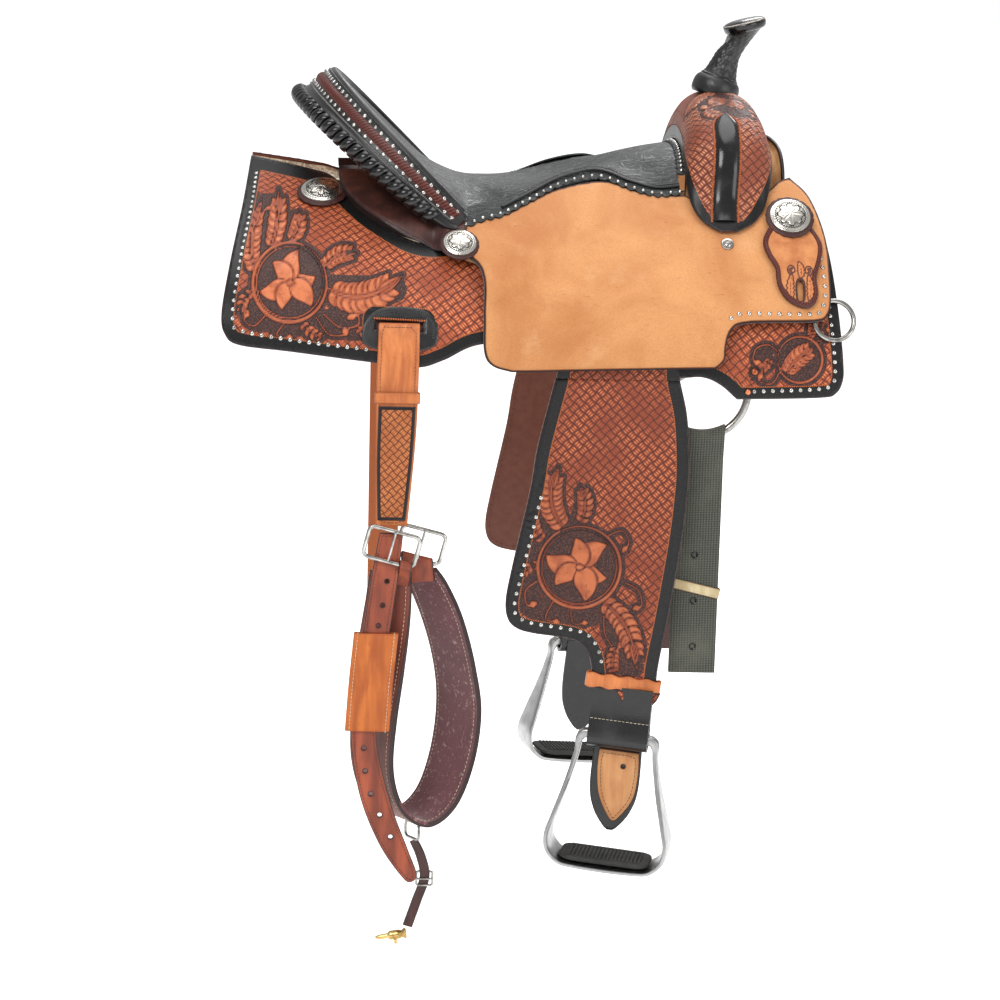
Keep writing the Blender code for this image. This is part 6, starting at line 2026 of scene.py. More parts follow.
def roll_at(turns, n, b):
    """A line along the cantle's roll, n out from the rim and b behind it."""
    point, out, back, taper = roll_frames(turns)
    return point + out * n + back * (b * taper)[:, None]


def roll_out(b):
    """How far the roll stands out from the rim at b behind it."""
    outside = ROLL[:14]
    return np.interp(b, [behind for _, behind in outside], [out for out, _ in outside])


def roll_facing(turns, b):
    step = 0.002
    n0, n1 = roll_out(b - step), roll_out(b + step)
    _, out, back, _ = roll_frames(turns)
    tilt = math.atan2(n1 - n0, 2 * step)
    return out * math.cos(tilt) - back * math.sin(tilt)


def roll_line(b, high=0.0, span=88):
    """A line on the roll's outer face at b behind the rim, lifted by high."""
    turns = np.radians(np.linspace(-span, span, 260))
    facing = roll_facing(turns, b)
    return roll_at(turns, roll_out(b), b) + facing * high, facing, False


def make_cantle():
    turns = np.radians(np.linspace(-90, 90, 181))
    section = resampled([(n, b, 0.0) for n, b in ROLL], 0.0012)
    rings = []
    point, out, back, taper = roll_frames(turns)
    for p, o, t in zip(point, out, taper):
        rings.append([p + o * n + back * (b * t) for n, b, _ in section])
    points, faces = ring_loft(rings)
    roll = facing_out(plain_mesh("cantle_roll_leather", points, faces))
    dressed(roll, "saddle", BLACK_LEATHER, "black_leather", "cantle_roll")
    black = "black_leather"
    cord = bow_part("bead_roll", 0.0026, 0.0022, 0.0012)
    along_lines("cantle_bead_line", [roll_line(0.0015)], 0.0028, cord, BLACK_LEATHER, "saddle", black)
    along_lines("cantle_front_studs", [roll_line(0.0060)], STUD_SPACING, STUD, NICKEL, "saddle", "steel")
    along_lines("cantle_rear_studs", [roll_line(0.0225)], STUD_SPACING, STUD, NICKEL, "saddle", "steel")
    braid = bow_part("braid", 0.0105, 0.0036, 0.0022, 0.0058)
    braid_under = bow_part("braid_back", 0.0105, 0.0034, 0.0014, -0.0058)
    along_lines("cantle_braid", [roll_line(0.0142)], 0.0038, braid, LACE_RED, "saddle", "carved_leather")
    along_lines("cantle_braid_under", [roll_line(0.0142, -0.0002)], 0.0038, braid_under, LACE_RED, "saddle",
                "carved_leather")
    grey = plain("grey_bead", srgb(120, 118, 116), srgb(70, 68, 68), 0.5, 400.0)
    along_lines("cantle_grey_beads", [roll_line(0.0272)], 0.0022, BEAD, grey, "saddle", "steel")
    lacing = bow_part("lacing", 0.0180, 0.0098, 0.0052, 0.0042, 8, 8)
    along_lines("cantle_lacing", [roll_line(0.0445, -0.0008, 84)], 0.0118, lacing, GLOSS_LEATHER, "saddle",
                black)


def make_cantle_back(rows, front):
    """The tooled leather on the back of the cantle, under the laced edge."""
    dish = rows[front + 4:-2, 7:-7]
    normals = row_normals(rows)[front + 4:-2, 7:-7]
    depth = SEAT_THICK + 0.0005 + BOARD_THICK
    inner, outer = dish - normals * depth, dish - normals * (depth + 0.0045)
    points, faces = closed_sheet(inner, outer)
    deep, wide = dish.shape[:2]
    ahead = np.concatenate([[0], np.cumsum(np.linalg.norm(np.diff(outer[:, wide // 2], axis=0), axis=1))])
    uv = np.stack(np.broadcast_arrays(outer[..., 1], ahead[:, None] * np.ones(wide)), -1).reshape(-1, 2)
    uv = np.concatenate([uv, uv])
    hem = np.minimum.reduce(np.broadcast_arrays(
        np.arange(deep)[:, None] * 3.2, (deep - 1 - np.arange(deep))[:, None] * 3.2,
        np.arange(wide)[None] * 4.6, (wide - 1 - np.arange(wide))[None] * 4.6)).reshape(-1).astype(float)
    strokes = [("leaf", bent((0.0, 0.012), (0.010, 0.030), (0.0, 0.052)), 0.010)]
    for way in (-1, 1):
        strokes += [
            ("leaf", bent((way * 0.010, 0.018), (way * 0.040, 0.016), (way * 0.052, 0.040)), 0.009),
            ("bulb", curl((way * 0.066, 0.026), 0.012, 0.004, 200 * way, 540 * way), 0.0026),
            ("leaf", bent((way * 0.076, 0.018), (way * 0.092, 0.012), (way * 0.104, 0.030)), 0.006),
        ]
    art, vein = carved(uv, strokes)
    marks = {"edge": np.concatenate([hem, hem]), "art": art, "vein": vein,
             "front": np.ones(len(uv))}
    back = facing_out(plain_mesh("cantle_back_leather", points, faces, uv, marks))
    dressed(back, "saddle", CANTLE_TOOLED, "carved_leather", "cantle_back")


# Swell, gullet and horn

def arch_rows(table, step=0.0022):
    """The arch's rows from right foot to left foot, closely spaced. Each row starts with Y and Z."""
    right = np.array([(-row[0], *row[1:]) for row in table], float)
    left = right[:-1][::-1] * np.array([-1] + [1] * (right.shape[1] - 1))
    return resampled(np.concatenate([right, left]), step)


def arch_up(rows):
    ahead = unit(np.gradient(rows[:, :2], axis=0))
    return np.stack([np.zeros(len(rows)), -ahead[:, 1], ahead[:, 0]], -1)


def swell_grid(inset, sides=64):
    """The swell's outer face as rows of points, moved in by inset, and the arch's rows that it follows."""
    rows = arch_rows(ARCH)
    up = arch_up(rows)
    beta = np.pi * (np.linspace(0, 1, sides + 1) - 0.5)
    across = np.sign(beta) * np.abs(np.sin(beta)) ** (2 / 2.5)
    drop = 1 - np.abs(np.cos(beta)) ** (2 / 2.5)
    half, depth = rows[:, 3:4] - inset, rows[:, 4:5] - inset * 0.5
    x = rows[:, 2:3] + across * half
    down = drop * depth + inset
    base = np.stack([x, np.broadcast_to(rows[:, 0:1], x.shape), np.broadcast_to(rows[:, 1:2], x.shape)], -1)
    return base - up[:, None] * down[..., None], rows


def swell_strokes():
    strokes = []
    for way in (-1, 1):
        strokes += vine(((0.0000, way * 0.0260), (0.0100, way * 0.0520), (-0.0040, way * 0.0800),
                         (-0.0200, way * 0.0900),
                         (-0.0260, way * 0.0780)), 0.0028)
        strokes += vine(((0.0060, way * 0.0560), (0.0260, way * 0.0640), (0.0360, way * 0.0820),
                         (0.0260, way * 0.0900)), 0.0028)
        strokes += vine(((0.0000, way * 0.0860), (0.0120, way * 0.1040), (0.0260, way * 0.1080),
                         (0.0300, way * 0.0980)), 0.0024)
        strokes += acanthus((0.0080, way * 0.0260), (0.0300, way * 0.0360), (0.0460, way * 0.0640), 0.0115, 8)
        strokes += acanthus((-0.0060, way * 0.0280), (-0.0300, way * 0.0380), (-0.0440, way * 0.0680), 0.0115,
                            8)
        strokes += acanthus((-0.0040, way * 0.0560), (-0.0120, way * 0.0680), (-0.0080, way * 0.0900), 0.0080,
                            6)
        strokes += acanthus((0.0120, way * 0.0640), (0.0160, way * 0.0800), (0.0080, way * 0.0980), 0.0075, 6)
        strokes += acanthus((-0.0220, way * 0.0940), (-0.0200, way * 0.1080), (-0.0060, way * 0.1160), 0.0070,
                            5)
        strokes += matted((0.0000, way * 0.0300), (0.0000, way * 0.0900), 0.0300)
    return strokes


def swell_leather():
    """The swell's cover: floral carving on top, basket stamp down the sides, and a thick black border."""
    # high is the painted highlight colour for the carving's crests and the stamp's tips.
    return tooled("swell_leather", 13.0, base=srgb(134, 66, 44), high=srgb(216, 150, 112), stamp=0.0085)


def make_swell():
    top, rows = swell_grid(0.0)
    low, _ = swell_grid(COVER_THICK)
    points, faces = closed_sheet(top, low)
    down = np.concatenate([[0], np.cumsum(np.linalg.norm(np.diff(rows[:, :2], axis=0), axis=1))])
    down -= down[-1] / 2
    across = np.cumsum(np.linalg.norm(np.diff(top, axis=1), axis=2), axis=1)
    across = np.concatenate([np.zeros((len(top), 1)), across], 1)
    across -= across[:, -1:] / 2
    uv = np.stack([across, np.broadcast_to(down[:, None], across.shape)], -1).reshape(-1, 2)
    reach = np.abs(across[:, -1:])
    to_side = np.minimum((reach - np.abs(across)), 1.0)
    to_foot = (down[-1] - np.abs(down))[:, None]
    edge = np.minimum(to_side, np.broadcast_to(to_foot, to_side.shape)).reshape(-1) / MM
    art, vein = carved(uv, swell_strokes())
    marks = {"edge": edge, "art": art, "vein": vein, "front": np.ones(len(uv))}
    relief = art_relief({"art": art, "vein": vein}) * np.clip(edge / 2, 0, 1)
    out = row_normals_any(top).reshape(-1, 3)
    points[:len(uv)] += out * relief[:, None]
    both = {name: np.concatenate([value, value]) for name, value in marks.items()}
    both["front"][len(uv):] = 0.0
    cover = facing_out(plain_mesh("swell_cover", points, faces, np.concatenate([uv, uv]), both))
    dressed(cover, "saddle", swell_leather(), "carved_leather", "fork_cover")
    for word, side in SIDES:
        make_swell_strap(word, side, top, rows, across)
    normals = row_normals_any(top)
    lines = [(top[6:-6, column], normals[6:-6, column], False) for column in (4, -5)]
    along_lines("swell_stitches", lines, STITCH_SPACING, STITCH, DARK_THREAD, "saddle", "carved_leather")


def row_normals_any(grid):
    """Normals of the swell's grid, away from the arch's middle."""
    normal = unit(np.cross(np.gradient(grid, axis=1), np.gradient(grid, axis=0)))
    middle = grid.mean((0, 1)) - np.array([0, 0, 0.08])
    if ((grid - middle) * normal).sum() < 0:
        normal = -normal
    return normal


def make_swell_strap(word, side, top, rows, across):
    """The glossy black strap down the swell's side, with bead lines along it."""
    normal = row_normals_any(top)
    sign_rows = np.nonzero((np.sign(rows[:, 0]) == side) & (rows[:, 1] < 0.1900) & (rows[:, 1] > 0.0800))[0]
    half = 0.0125
    grid_top, grid_low, edges = [], [], []
    for i in sign_rows:
        shrink = min(1.0, math.sqrt(max(0.0, 1 - max(0.0, (rows[i, 1] - 0.178) / 0.012) ** 2)) + 0.02)
        us = np.linspace(-half * shrink, half * shrink, 13) - 0.004
        line = np.stack([np.interp(us, across[i], top[i, :, c]) for c in range(3)], -1)
        up = np.stack([np.interp(us, across[i], normal[i, :, c]) for c in range(3)], -1)
        crown = 0.0026 * (1 - np.abs(np.linspace(-1, 1, 13)) ** 4) + 0.0002
        grid_top.append(line + up * crown[:, None])
        grid_low.append(line - up * 0.0006)
        edges.append((half * shrink - np.abs(us + 0.004)) / MM)
    points, faces = closed_sheet(np.array(grid_top), np.array(grid_low))
    marks = {"edge": np.concatenate([np.array(edges).ravel()] * 2)}
    strap = facing_out(plain_mesh(f"swell_strap_{word}", points, faces, marks=marks))
    dressed(strap, "saddle", GLOSS_LEATHER, "black_leather")
    lines = []
    for column, shift in ((0, -0.0016), (12, 0.0016)):
        line = np.array(grid_top)[:, column] + np.array([shift, 0, 0])
        lines.append((line, normal[sign_rows, 30], False))
    along_lines(f"swell_strap_beads_{word}", lines, 0.0026, BEAD, STRAP_TAN, "saddle", "strap_leather")


def make_gullet():
    rows = arch_rows(GULLET, 0.003)
    up = arch_up(rows)
    flare = 0.011 * np.abs(rows[:, 0:1]) / GULLET[0][0]
    line = np.array([(0.141, 0.0), (0.180, 0.0), (0.222, 0.0), (0.2275, 0.0010), (0.232, 0.003),
                     (0.235, 0.0065)])
    outer, inner = [], []
    for row, lift, out in zip(rows, flare, up):
        x = line[:, 0] + lift * ramp(line[:, 0], 0.222, 0.236)
        rise = line[:, 1] + 0.0035 * ramp(line[:, 0], 0.230, 0.236)
        base = np.stack([x, np.full(len(x), row[0]), np.full(len(x), row[1])], -1)
        base = base + out * rise[:, None]
        shares = np.linspace(0, len(base) - 1, 40)
        fine = np.stack([np.interp(shares, np.arange(len(base)), base[:, c]) for c in range(3)], -1)
        outer.append(fine)
        inner.append(fine - out * 0.003)
    deep, wide = np.array(outer).shape[:2]
    edge = np.minimum(np.arange(wide)[None] * 3.0,
                      (wide - 1 - np.arange(wide))[None] * 3.0) * np.ones((deep, 1))
    points, faces = closed_sheet(np.array(outer), np.array(inner))
    marks = {"edge": np.concatenate([edge.ravel()] * 2)}
    lining = facing_out(plain_mesh("gullet_leather", points, faces, marks=marks))
    dressed(lining, "saddle", PALE_TAN, "strap_leather", "gullet_lining")
    tip = np.array(outer)[:, -1]
    rim = wire("gullet_rim", resampled(tip, 0.003), 0.0021, closed=False)
    dressed(rim, "saddle", DARK_BROWN, "brown_leather")


def about_horn(profile_points, foot):
    """Places points made about Z on the leaning horn."""
    lean = Matrix.Rotation(HORN_LEAN, 3, "Y")
    return [Vector(foot) + lean @ Vector(p) for p in profile_points]


def on_neck(x, y, height):
    """A place on the horn's neck, which leans forwards and then turns level into the cap."""
    share = float(ramp(height, NECK_BEND_START, NECK_TOP))
    lean = Matrix.Rotation(HORN_LEAN, 3, "Y")
    cap = Matrix.Rotation(CAP_TILT, 3, "Y")
    last = Vector(HORN_CAP_CENTRE) - cap @ Vector((0, 0, 0.0045))
    straight = Vector(HORN_FOOT) + lean @ Vector((0, 0, height))
    shift = last - Vector(HORN_FOOT) - lean @ Vector((0, 0, NECK_TOP))
    turn = Matrix.Rotation(HORN_LEAN + (CAP_TILT - HORN_LEAN) * share, 3, "Y")
    return straight + shift * share + turn @ Vector((x, y, 0))


def make_horn():
    sides = 72
    profile = np.array(((0.0240, -0.0090), (0.0262, -0.0050), (0.0264, 0.0030), (0.0250, 0.0085),
                        (0.0228, 0.0115),
                        (0.0190, 0.0150), (0.0166, 0.0210), (0.0144, 0.0300), (0.0126, 0.0400),
                        (0.0120, 0.0480),
                        (0.0128, 0.0550), (0.0150, 0.0610), (0.0182, 0.0660), (0.0196, 0.0690)))
    fine = resampled(np.c_[profile, np.zeros(len(profile))], 0.0010)[:, :2]
    points = []
    for radius, height in fine:
        for k in range(sides):
            angle = 2 * math.pi * k / sides
            over = abs(math.sin(angle * 6 + height * 300)) * abs(math.sin(angle * 6 - height * 300))
            swell = 0.0011 * over ** 0.6 * float(ramp(height, 0.013, 0.016)) * float(ramp(-height, -0.066,
                                                                                          -0.060))
            points.append(on_neck((radius + swell) * math.cos(angle), (radius + swell) * math.sin(angle),
                                  height))
    neck = facing_out(plain_mesh("horn_neck", points, tube_faces(len(fine), sides)))
    dressed(neck, "saddle", BLACK_LEATHER, "black_leather", "horn_wrap")
    turns = np.linspace(0, 2 * math.pi, 60, endpoint=False)
    ring = [(0.0190 * math.cos(t), 0.0190 * math.sin(t), 0.0130) for t in turns]
    collar = wire("horn_collar", about_horn(ring, HORN_FOOT), 0.0024)
    dressed(collar, "saddle", GLOSS_LEATHER, "black_leather")
    tilt = Matrix.Rotation(CAP_TILT, 3, "Y")
    cap_profile = ((0.0100, -0.0070), (0.0160, -0.0066), (0.0205, -0.0060), (0.0228, -0.0040),
                   (0.0236, -0.0016),
                   (0.0240, 0.0010), (0.0237, 0.0022), (0.0228, 0.0040), (0.0222, 0.0046), (0.0218, 0.0050),
                   (0.0190, 0.0062), (0.0140, 0.0072), (0.0060, 0.0078), (0.0008, 0.0079))
    points, faces = turned_finely(cap_profile, 72, 1.12)
    cap = [Vector(HORN_CAP_CENTRE) + tilt @ Vector(p) for p in points]
    cap = facing_out(plain_mesh("horn_cap_leather", cap, faces))
    dressed(cap, "saddle", GLOSS_LEATHER, "black_leather", "horn_cap")
    ring = [Vector(HORN_CAP_CENTRE) + tilt @ Vector((0.0233 * math.cos(t), 0.0261 * math.sin(t), 0.0034))
            for t in np.linspace(0, 2 * math.pi, 90, endpoint=False)]
    edge = wire("horn_cap_edge", ring, 0.0008)
    dressed(edge, "saddle", plain("pale_edge", srgb(196, 190, 182), srgb(120, 112, 106), 0.5, 200.0),
            "strap_leather")


# Rings, billets and cinch

def circle(centre, first, second, radius, count, squash=1.0):
    """A ring of points. squash flattens the half towards second."""
    first, second = np.array(Vector(first).normalized()), np.array(Vector(second).normalized())
    t = np.linspace(0, 2 * np.pi, count, endpoint=False)
    rise = np.sin(t)
    rise = np.where(rise > 0, rise * squash, rise)
    return np.array(centre) + np.outer(np.cos(t) * radius, first) + np.outer(rise * radius, second)


def make_rings():
    for word, side in SIDES:
        centre = (RING_CENTRE[0], side * RING_CENTRE[1], RING_CENTRE[2])
        loop = circle(centre, (1, 0, 0), (0, 0, 1), RING_RADIUS, 96, 0.55)
        ring = wire(f"rigging_wire_{word}", loop, RING_WIRE, across=18)
        dressed(ring, f"rigging_ring_{word}", STEEL, "steel", f"rigging_ring_{word}")
        x, z = 0.2915, -0.019
        centre = side_point(x, z, 0.0038, side)
        first = side_point(x + 0.01, z, 0.0038, side) - centre
        down = side_point(x, z - 0.01, 0.0038, side) - centre
        normal = np.cross(first, down)
        second = np.cross(normal, first)
        ring = wire(f"breast_wire_{word}", circle(centre, first, second, 0.0215, 64), 0.0026, across=14,
                    up=tuple(normal))
        dressed(ring, f"breast_ring_{word}", STEEL, "steel", f"breast_ring_{word}")


def make_hung_strap(node, body, x, wide, low, side, finish, slot):
    """A strap doubled over the foot of the rigging ring."""
    ring_z = RING_CENTRE[2] - RING_RADIUS
    bore, wall, flat = RING_WIRE + 0.0013, HUNG_WALL, HUNG_GAP
    turn = np.radians(np.linspace(180, 0, 15))
    middle_radius = bore + wall / 2
    path = [(-wall / 2 - flat, low - ring_z), (-wall / 2 - flat, -0.060), (-wall / 2 - flat, -0.026),
            (-middle_radius * 0.80, -0.010)]
    path += [(middle_radius * math.cos(t), middle_radius * math.sin(t)) for t in turn]
    path += [(-v, w) for v, w in reversed(path[:4])]
    path = resampled([(v, w, 0) for v, w in path], 0.0022)[:, :2]
    ahead = unit(np.gradient(path, axis=0))
    out = np.stack([-ahead[:, 1], ahead[:, 0]], -1)
    columns = np.linspace(-1, 1, 15)
    outer, inner, edges = [], [], []
    for (v, w), (ov, ow) in zip(path, out):
        row_out, row_in = [], []
        for c in columns:
            u = c * wide / 2
            bend = RING_RADIUS - math.sqrt(RING_RADIUS**2 - u**2)
            rise = bend * float(ramp(w, -0.03, 0.0))
            slim = wall / 2 * (1 - 0.5 * abs(c) ** 8)
            row_out.append((x + u, side * (RING_CENTRE[1] + v + ov * slim), ring_z + w + ow * slim + rise))
            row_in.append((x + u, side * (RING_CENTRE[1] + v - ov * slim), ring_z + w - ow * slim + rise))
        outer.append(row_out)
        inner.append(row_in)
        edges.append([(1 - abs(c)) * wide / 2 / MM for c in columns])
    points, faces = closed_sheet(np.array(outer), np.array(inner))
    marks = {"edge": np.concatenate([np.array(edges).ravel()] * 2)}
    strap = facing_out(plain_mesh(f"{node}_strap", points, faces, marks=marks))
    dressed(strap, body, finish, slot, node)


def make_billets():
    make_hung_strap("off_billet", "off_billet", 0.155, 0.050, -0.402, RIGHT, WEBBING, "webbing")
    make_hung_strap("latigo", "latigo", 0.155, 0.044, -0.470, LEFT, DARK_BROWN, "brown_leather")
    lip = ((0.0036, -0.0002), (0.0038, 0.0008), (0.0032, 0.0013), (0.0022, 0.0006), (0.0020, -0.0002))
    eye = small_part("eyelet", *turned(lip, 18))
    face = RING_CENTRE[1] + HUNG_GAP + HUNG_WALL
    line = np.array([(x, -face, z) for x, z in ((0.1535, -0.2730), (0.1540, -0.3220), (0.1550, -0.3730))])
    along_lines("billet_eyelets", [(line, [(0, -1, 0)] * 3, False)], 0.0500, eye, GLOSS_LEATHER, "off_billet",
                "webbing")
    cream = strap_leather("keeper_leather", srgb(222, 208, 170), srgb(180, 160, 120), srgb(130, 106, 76), 0.5)
    band("webbing_keeper", (0.155, -RING_CENTRE[1], -0.3090), 0.0268, 0.0046, 0.0055, -13, cream,
         "off_billet", "strap_leather")
    make_rear_billets()


def band(name, centre, half_wide, half_deep, half_tall, tilt, finish, body, slot):
    """A keeper: a closed band round a strap, tilted in its plane."""
    loop = rounded_loop(half_wide, half_deep, min(half_deep * 0.8, 0.002), 4)
    turn = math.radians(tilt)
    rings = []
    wall = 0.0013
    for u, v in loop:
        n = np.array([u / half_wide, v / half_deep])
        n /= np.linalg.norm(n)
        ring = []
        for h, d in ((-1, 0), (-0.9, 1), (0, 1), (0.9, 1), (1, 0), (0.9, -1), (-0.9, -1)):
            pu, pv, pw = u + n[0] * wall * d / 2, v + n[1] * wall * d / 2, h * half_tall
            ring.append((centre[0] + pu * math.cos(turn) - pw * math.sin(turn), centre[1] + pv,
                         centre[2] + pu * math.sin(turn) + pw * math.cos(turn)))
        rings.append(ring)
    points, faces = ring_loft(rings, True)
    marks = {"edge": np.tile([0.0, 0.6, 5.0, 0.6, 0.0, 0.6, 0.6], len(loop))}
    dressed(facing_out(plain_mesh(name, points, faces, marks=marks)), body, finish, slot)


def billet_near(z):
    """How far out the billet's inner face lies: on the skirt's side, and straight down below its edge."""
    return half_width(np.full_like(z, -0.169), np.maximum(z, -0.068)) + 0.0024


def uncarved(flat):
    return {"art": np.full(len(flat), -30.0), "vein": np.full(len(flat), 30.0)}


def make_rear_billets():
    outline = (
        (-0.1905, -0.0270, 1), (-0.1475, -0.0270, 1), (-0.1480, -0.106), (-0.1500, -0.160),
        (-0.1560, -0.240, 1),
        (-0.1890, -0.240, 1), (-0.1915, -0.106),
    )
    # high is the painted highlight colour for the stamp's tips.
    basket_tan = tooled("billet_basket", 3.4, base=srgb(168, 92, 46), high=srgb(214, 140, 84), stamp=0.0064,
                        line=False)
    for word, side in SIDES:
        reach = outline if side == RIGHT else [(x, z * 1.9 if z < -0.2 else z, *c) for x, z, *c in outline]
        body = "flank_cinch" if side == RIGHT else "rear_billet_left"
        loop = curve_line(reach, 0.003)

        def place(x, z, height, side=side):
            return np.stack([x, side * (billet_near(z) + height), z], -1)
        strap = leather(f"rear_billet_strap_{word}", loop, 0.0, STRAP_THICK - 0.0014, place, 0.0019,
                        soft=0.0010)
        dressed(strap, body, STRAP_TAN, "strap_leather", f"rear_billet_{word}")
        seam = inset_line(loop, 0.0038)
        line = place(seam[:, 0], seam[:, 1], np.full(len(seam), STRAP_THICK - 0.0014))
        along_lines(f"billet_stitches_{word}", [(line, [(0, side, 0)] * len(line), True)], STITCH_SPACING,
                    STITCH,
                    DARK_THREAD, body, "strap_leather")
        centre = (-0.1695, side * float(billet_near(np.array([-0.104]))[0] + STRAP_THICK / 2), -0.1040)
        band(f"billet_keeper_{word}", centre, 0.0232, 0.0046, 0.0056, 0, STRAP_TAN, body, "strap_leather")
        patch = curve_line(((-0.1890, -0.1130, 1), (-0.1500, -0.1130, 1), (-0.1525, -0.1700),
                            (-0.1580, -0.2340, 1),
                            (-0.1875, -0.2340, 1), (-0.1895, -0.1700)), 0.003)
        stamped = leather(f"billet_basket_{word}", patch, STRAP_THICK - 0.0014, STRAP_THICK - 0.0002, place,
                          0.0016,
                          soft=0.0006, marks=uncarved)
        dressed(stamped, body, basket_tan, "strap_leather")


def make_cinch():
    stations = (
        (-0.172, -0.2440, -0.292, 0.045, 5), (-0.174, -0.2380, -0.332, 0.052, 20),
        (-0.180, -0.2290, -0.392, 0.062, 38),
        (-0.186, -0.2220, -0.455, 0.070, 50), (-0.186, -0.2190, -0.510, 0.072, 55),
        (-0.172, -0.2120, -0.552, 0.072, 56),
        (-0.143, -0.1990, -0.571, 0.070, 56), (-0.116, -0.1860, -0.553, 0.072, 56),
        (-0.099, -0.1760, -0.508, 0.074, 55),
        (-0.093, -0.1720, -0.453, 0.074, 54), (-0.100, -0.1760, -0.402, 0.068, 52),
        (-0.114, -0.1880, -0.352, 0.058, 42),
        (-0.130, -0.2040, -0.314, 0.046, 25), (-0.140, -0.2150, -0.298, 0.040, 8),
    )
    fine = resampled([np.array(s) * (1, 1, 1, 1, 0.01) for s in stations], 0.0045)
    middles, wides, angles = fine[:, :3], fine[:, 3], np.radians(fine[:, 4] * 100)
    across = np.stack([np.cos(angles), -np.sin(angles), np.zeros(len(fine))], -1)
    strap = strap_mesh("cinch_strap", middles, wides, across, 0.0062, columns=21)
    paint_cinch(strap)
    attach(strap, "flank_cinch")
    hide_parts("flank_cinch")
    across, face = strap_axes(middles, across)
    lines = []
    for way in (-1, 1):
        for up in (-1, 1):
            edge = middles + across * (wides / 2 - 0.0058)[:, None] * way + face * 0.0031 * up
            lines.append((edge, face * up, False))
    along_lines("cinch_stitches", lines, 0.0046, STITCH, THREAD, "flank_cinch", "cinch_leather")
    make_chapes()
    make_tail()
    make_sleeve()


def paint_cinch(strap):
    """Felt inside the loop, tooled brown leather outside it."""
    outer = strap_leather("cinch_outside", srgb(134, 68, 52), srgb(88, 44, 36), srgb(44, 26, 26), 0.5)
    strap.data.materials.clear()
    strap.data.materials.append(outer)
    strap.data.materials.append(FELT)
    centre = Vector((-0.142, -0.205, -0.440))
    for face in strap.data.polygons:
        face.material_index = 1 if face.normal.dot(centre - face.center) > 0 else 0


TAIL_OUTLINE = (
    (-0.1850, -0.2465, 1), (-0.1600, -0.2465, 1), (-0.1640, -0.290), (-0.1720, -0.354), (-0.1790, -0.410),
    (-0.1830, -0.470), (-0.1660, -0.540), (-0.1470, -0.590), (-0.1370, -0.617), (-0.1430, -0.626),
    (-0.1530, -0.620),
    (-0.1780, -0.584), (-0.2000, -0.530), (-0.2110, -0.463), (-0.2070, -0.405), (-0.2000, -0.354),
    (-0.1920, -0.290),
)


def make_tail():
    near = BILLET_PLANE + STRAP_THICK + LAYER_GAP
    holes = [(-0.1760, -0.2980), (-0.1800, -0.3240), (-0.1840, -0.3460), (-0.1965, -0.4790),
             (-0.1945, -0.5040),
             (-0.1880, -0.5290), (-0.1780, -0.5520), (-0.1660, -0.5760)]
    rounds = [curl(h, 0.0024, 0.0024, 0, 340, 16) for h in holes]
    loop = curve_line(TAIL_OUTLINE, 0.003)
    tail = leather("billet_tail_strap", loop, 0.0, TAIL_THICK, on_plane(near, RIGHT), 0.0013, rounds,
                   soft=0.0009)
    dressed(tail, "flank_cinch", TAIL_BROWN, "strap_leather", "billet_tail")
    seam = inset_line(loop, 0.0034)
    line = np.stack([seam[:, 0], np.full(len(seam), -near - TAIL_THICK), seam[:, 1]], -1)
    along_lines("tail_stitches", [(line, [(0, -1, 0)] * len(line), True)], STITCH_SPACING, STITCH,
                DARK_THREAD,
                "flank_cinch", "strap_leather")


def make_sleeve():
    """The sleeve round the billet's tail, flattened, with a row of stitches down each side."""
    near = BILLET_PLANE + STRAP_THICK + LAYER_GAP
    middle_y = -(near + TAIL_THICK / 2)
    path = resampled([(-0.1860, middle_y, -0.354), (-0.1905, middle_y, -0.408), (-0.1935, middle_y, -0.460)],
                     0.003)
    rings, edges = [], []
    half, deep, wall = 0.0222, 0.0043, 0.0014
    for i, p in enumerate(path):
        flare = 0.0006 * (abs(i / (len(path) - 1) - 0.5) * 2) ** 6
        outer, inner = [], []
        for k in range(40):
            t = 2 * math.pi * k / 40
            u = math.copysign(abs(math.cos(t)) ** 0.35, math.cos(t))
            v = math.copysign(abs(math.sin(t)) ** 0.5, math.sin(t))
            outer.append(p + np.array([u * (half + wall), v * (deep + flare), 0]))
            inner.append(p + np.array([u * half, v * (deep + flare - 0.0022), 0]))
            end = min(i, len(path) - 1 - i) * 3.0
            edges.append(min(end, (1 - abs(u)) * half / MM + 1.2))
        rings.append((outer, inner))
    deep_count = len(rings)
    points = np.array([r[0] for r in rings] + [r[1] for r in rings]).reshape(-1, 3)
    faces = []
    base = deep_count * 40
    for i in range(deep_count - 1):
        for k in range(40):
            m = (k + 1) % 40
            faces.append((i * 40 + k, i * 40 + m, (i + 1) * 40 + m, (i + 1) * 40 + k))
            faces.append((base + i * 40 + k, base + (i + 1) * 40 + k, base + (i + 1) * 40 + m,
                          base + i * 40 + m))
    for i in (0, deep_count - 1):
        for k in range(40):
            m = (k + 1) % 40
            faces.append((i * 40 + k, base + i * 40 + k, base + i * 40 + m, i * 40 + m))
    marks = {"edge": edges + edges}
    sleeve = facing_out(plain_mesh("sleeve_leather_tube", points, faces, marks=marks))
    dressed(sleeve, "flank_cinch", SLEEVE_TAN, "strap_leather", "cinch_sleeve")
    lines = []
    for shift in (-0.0192, 0.0192):
        line = path + np.array([shift, -deep - 0.0001, 0])
        lines.append((line, [(0, -1, 0)] * len(line), False))
    along_lines("sleeve_stitches", lines, STITCH_SPACING, STITCH, THREAD, "flank_cinch", "strap_leather")


def rounded_frame(centre, first, second, half_wide, half_tall, corner):
    """The same rectangle in space, about a centre."""
    first, second = np.array(Vector(first).normalized()), np.array(Vector(second).normalized())
    return [np.array(centre) + first * u + second * v for u,
            v in rounded_loop(half_wide, half_tall, corner, 5)]


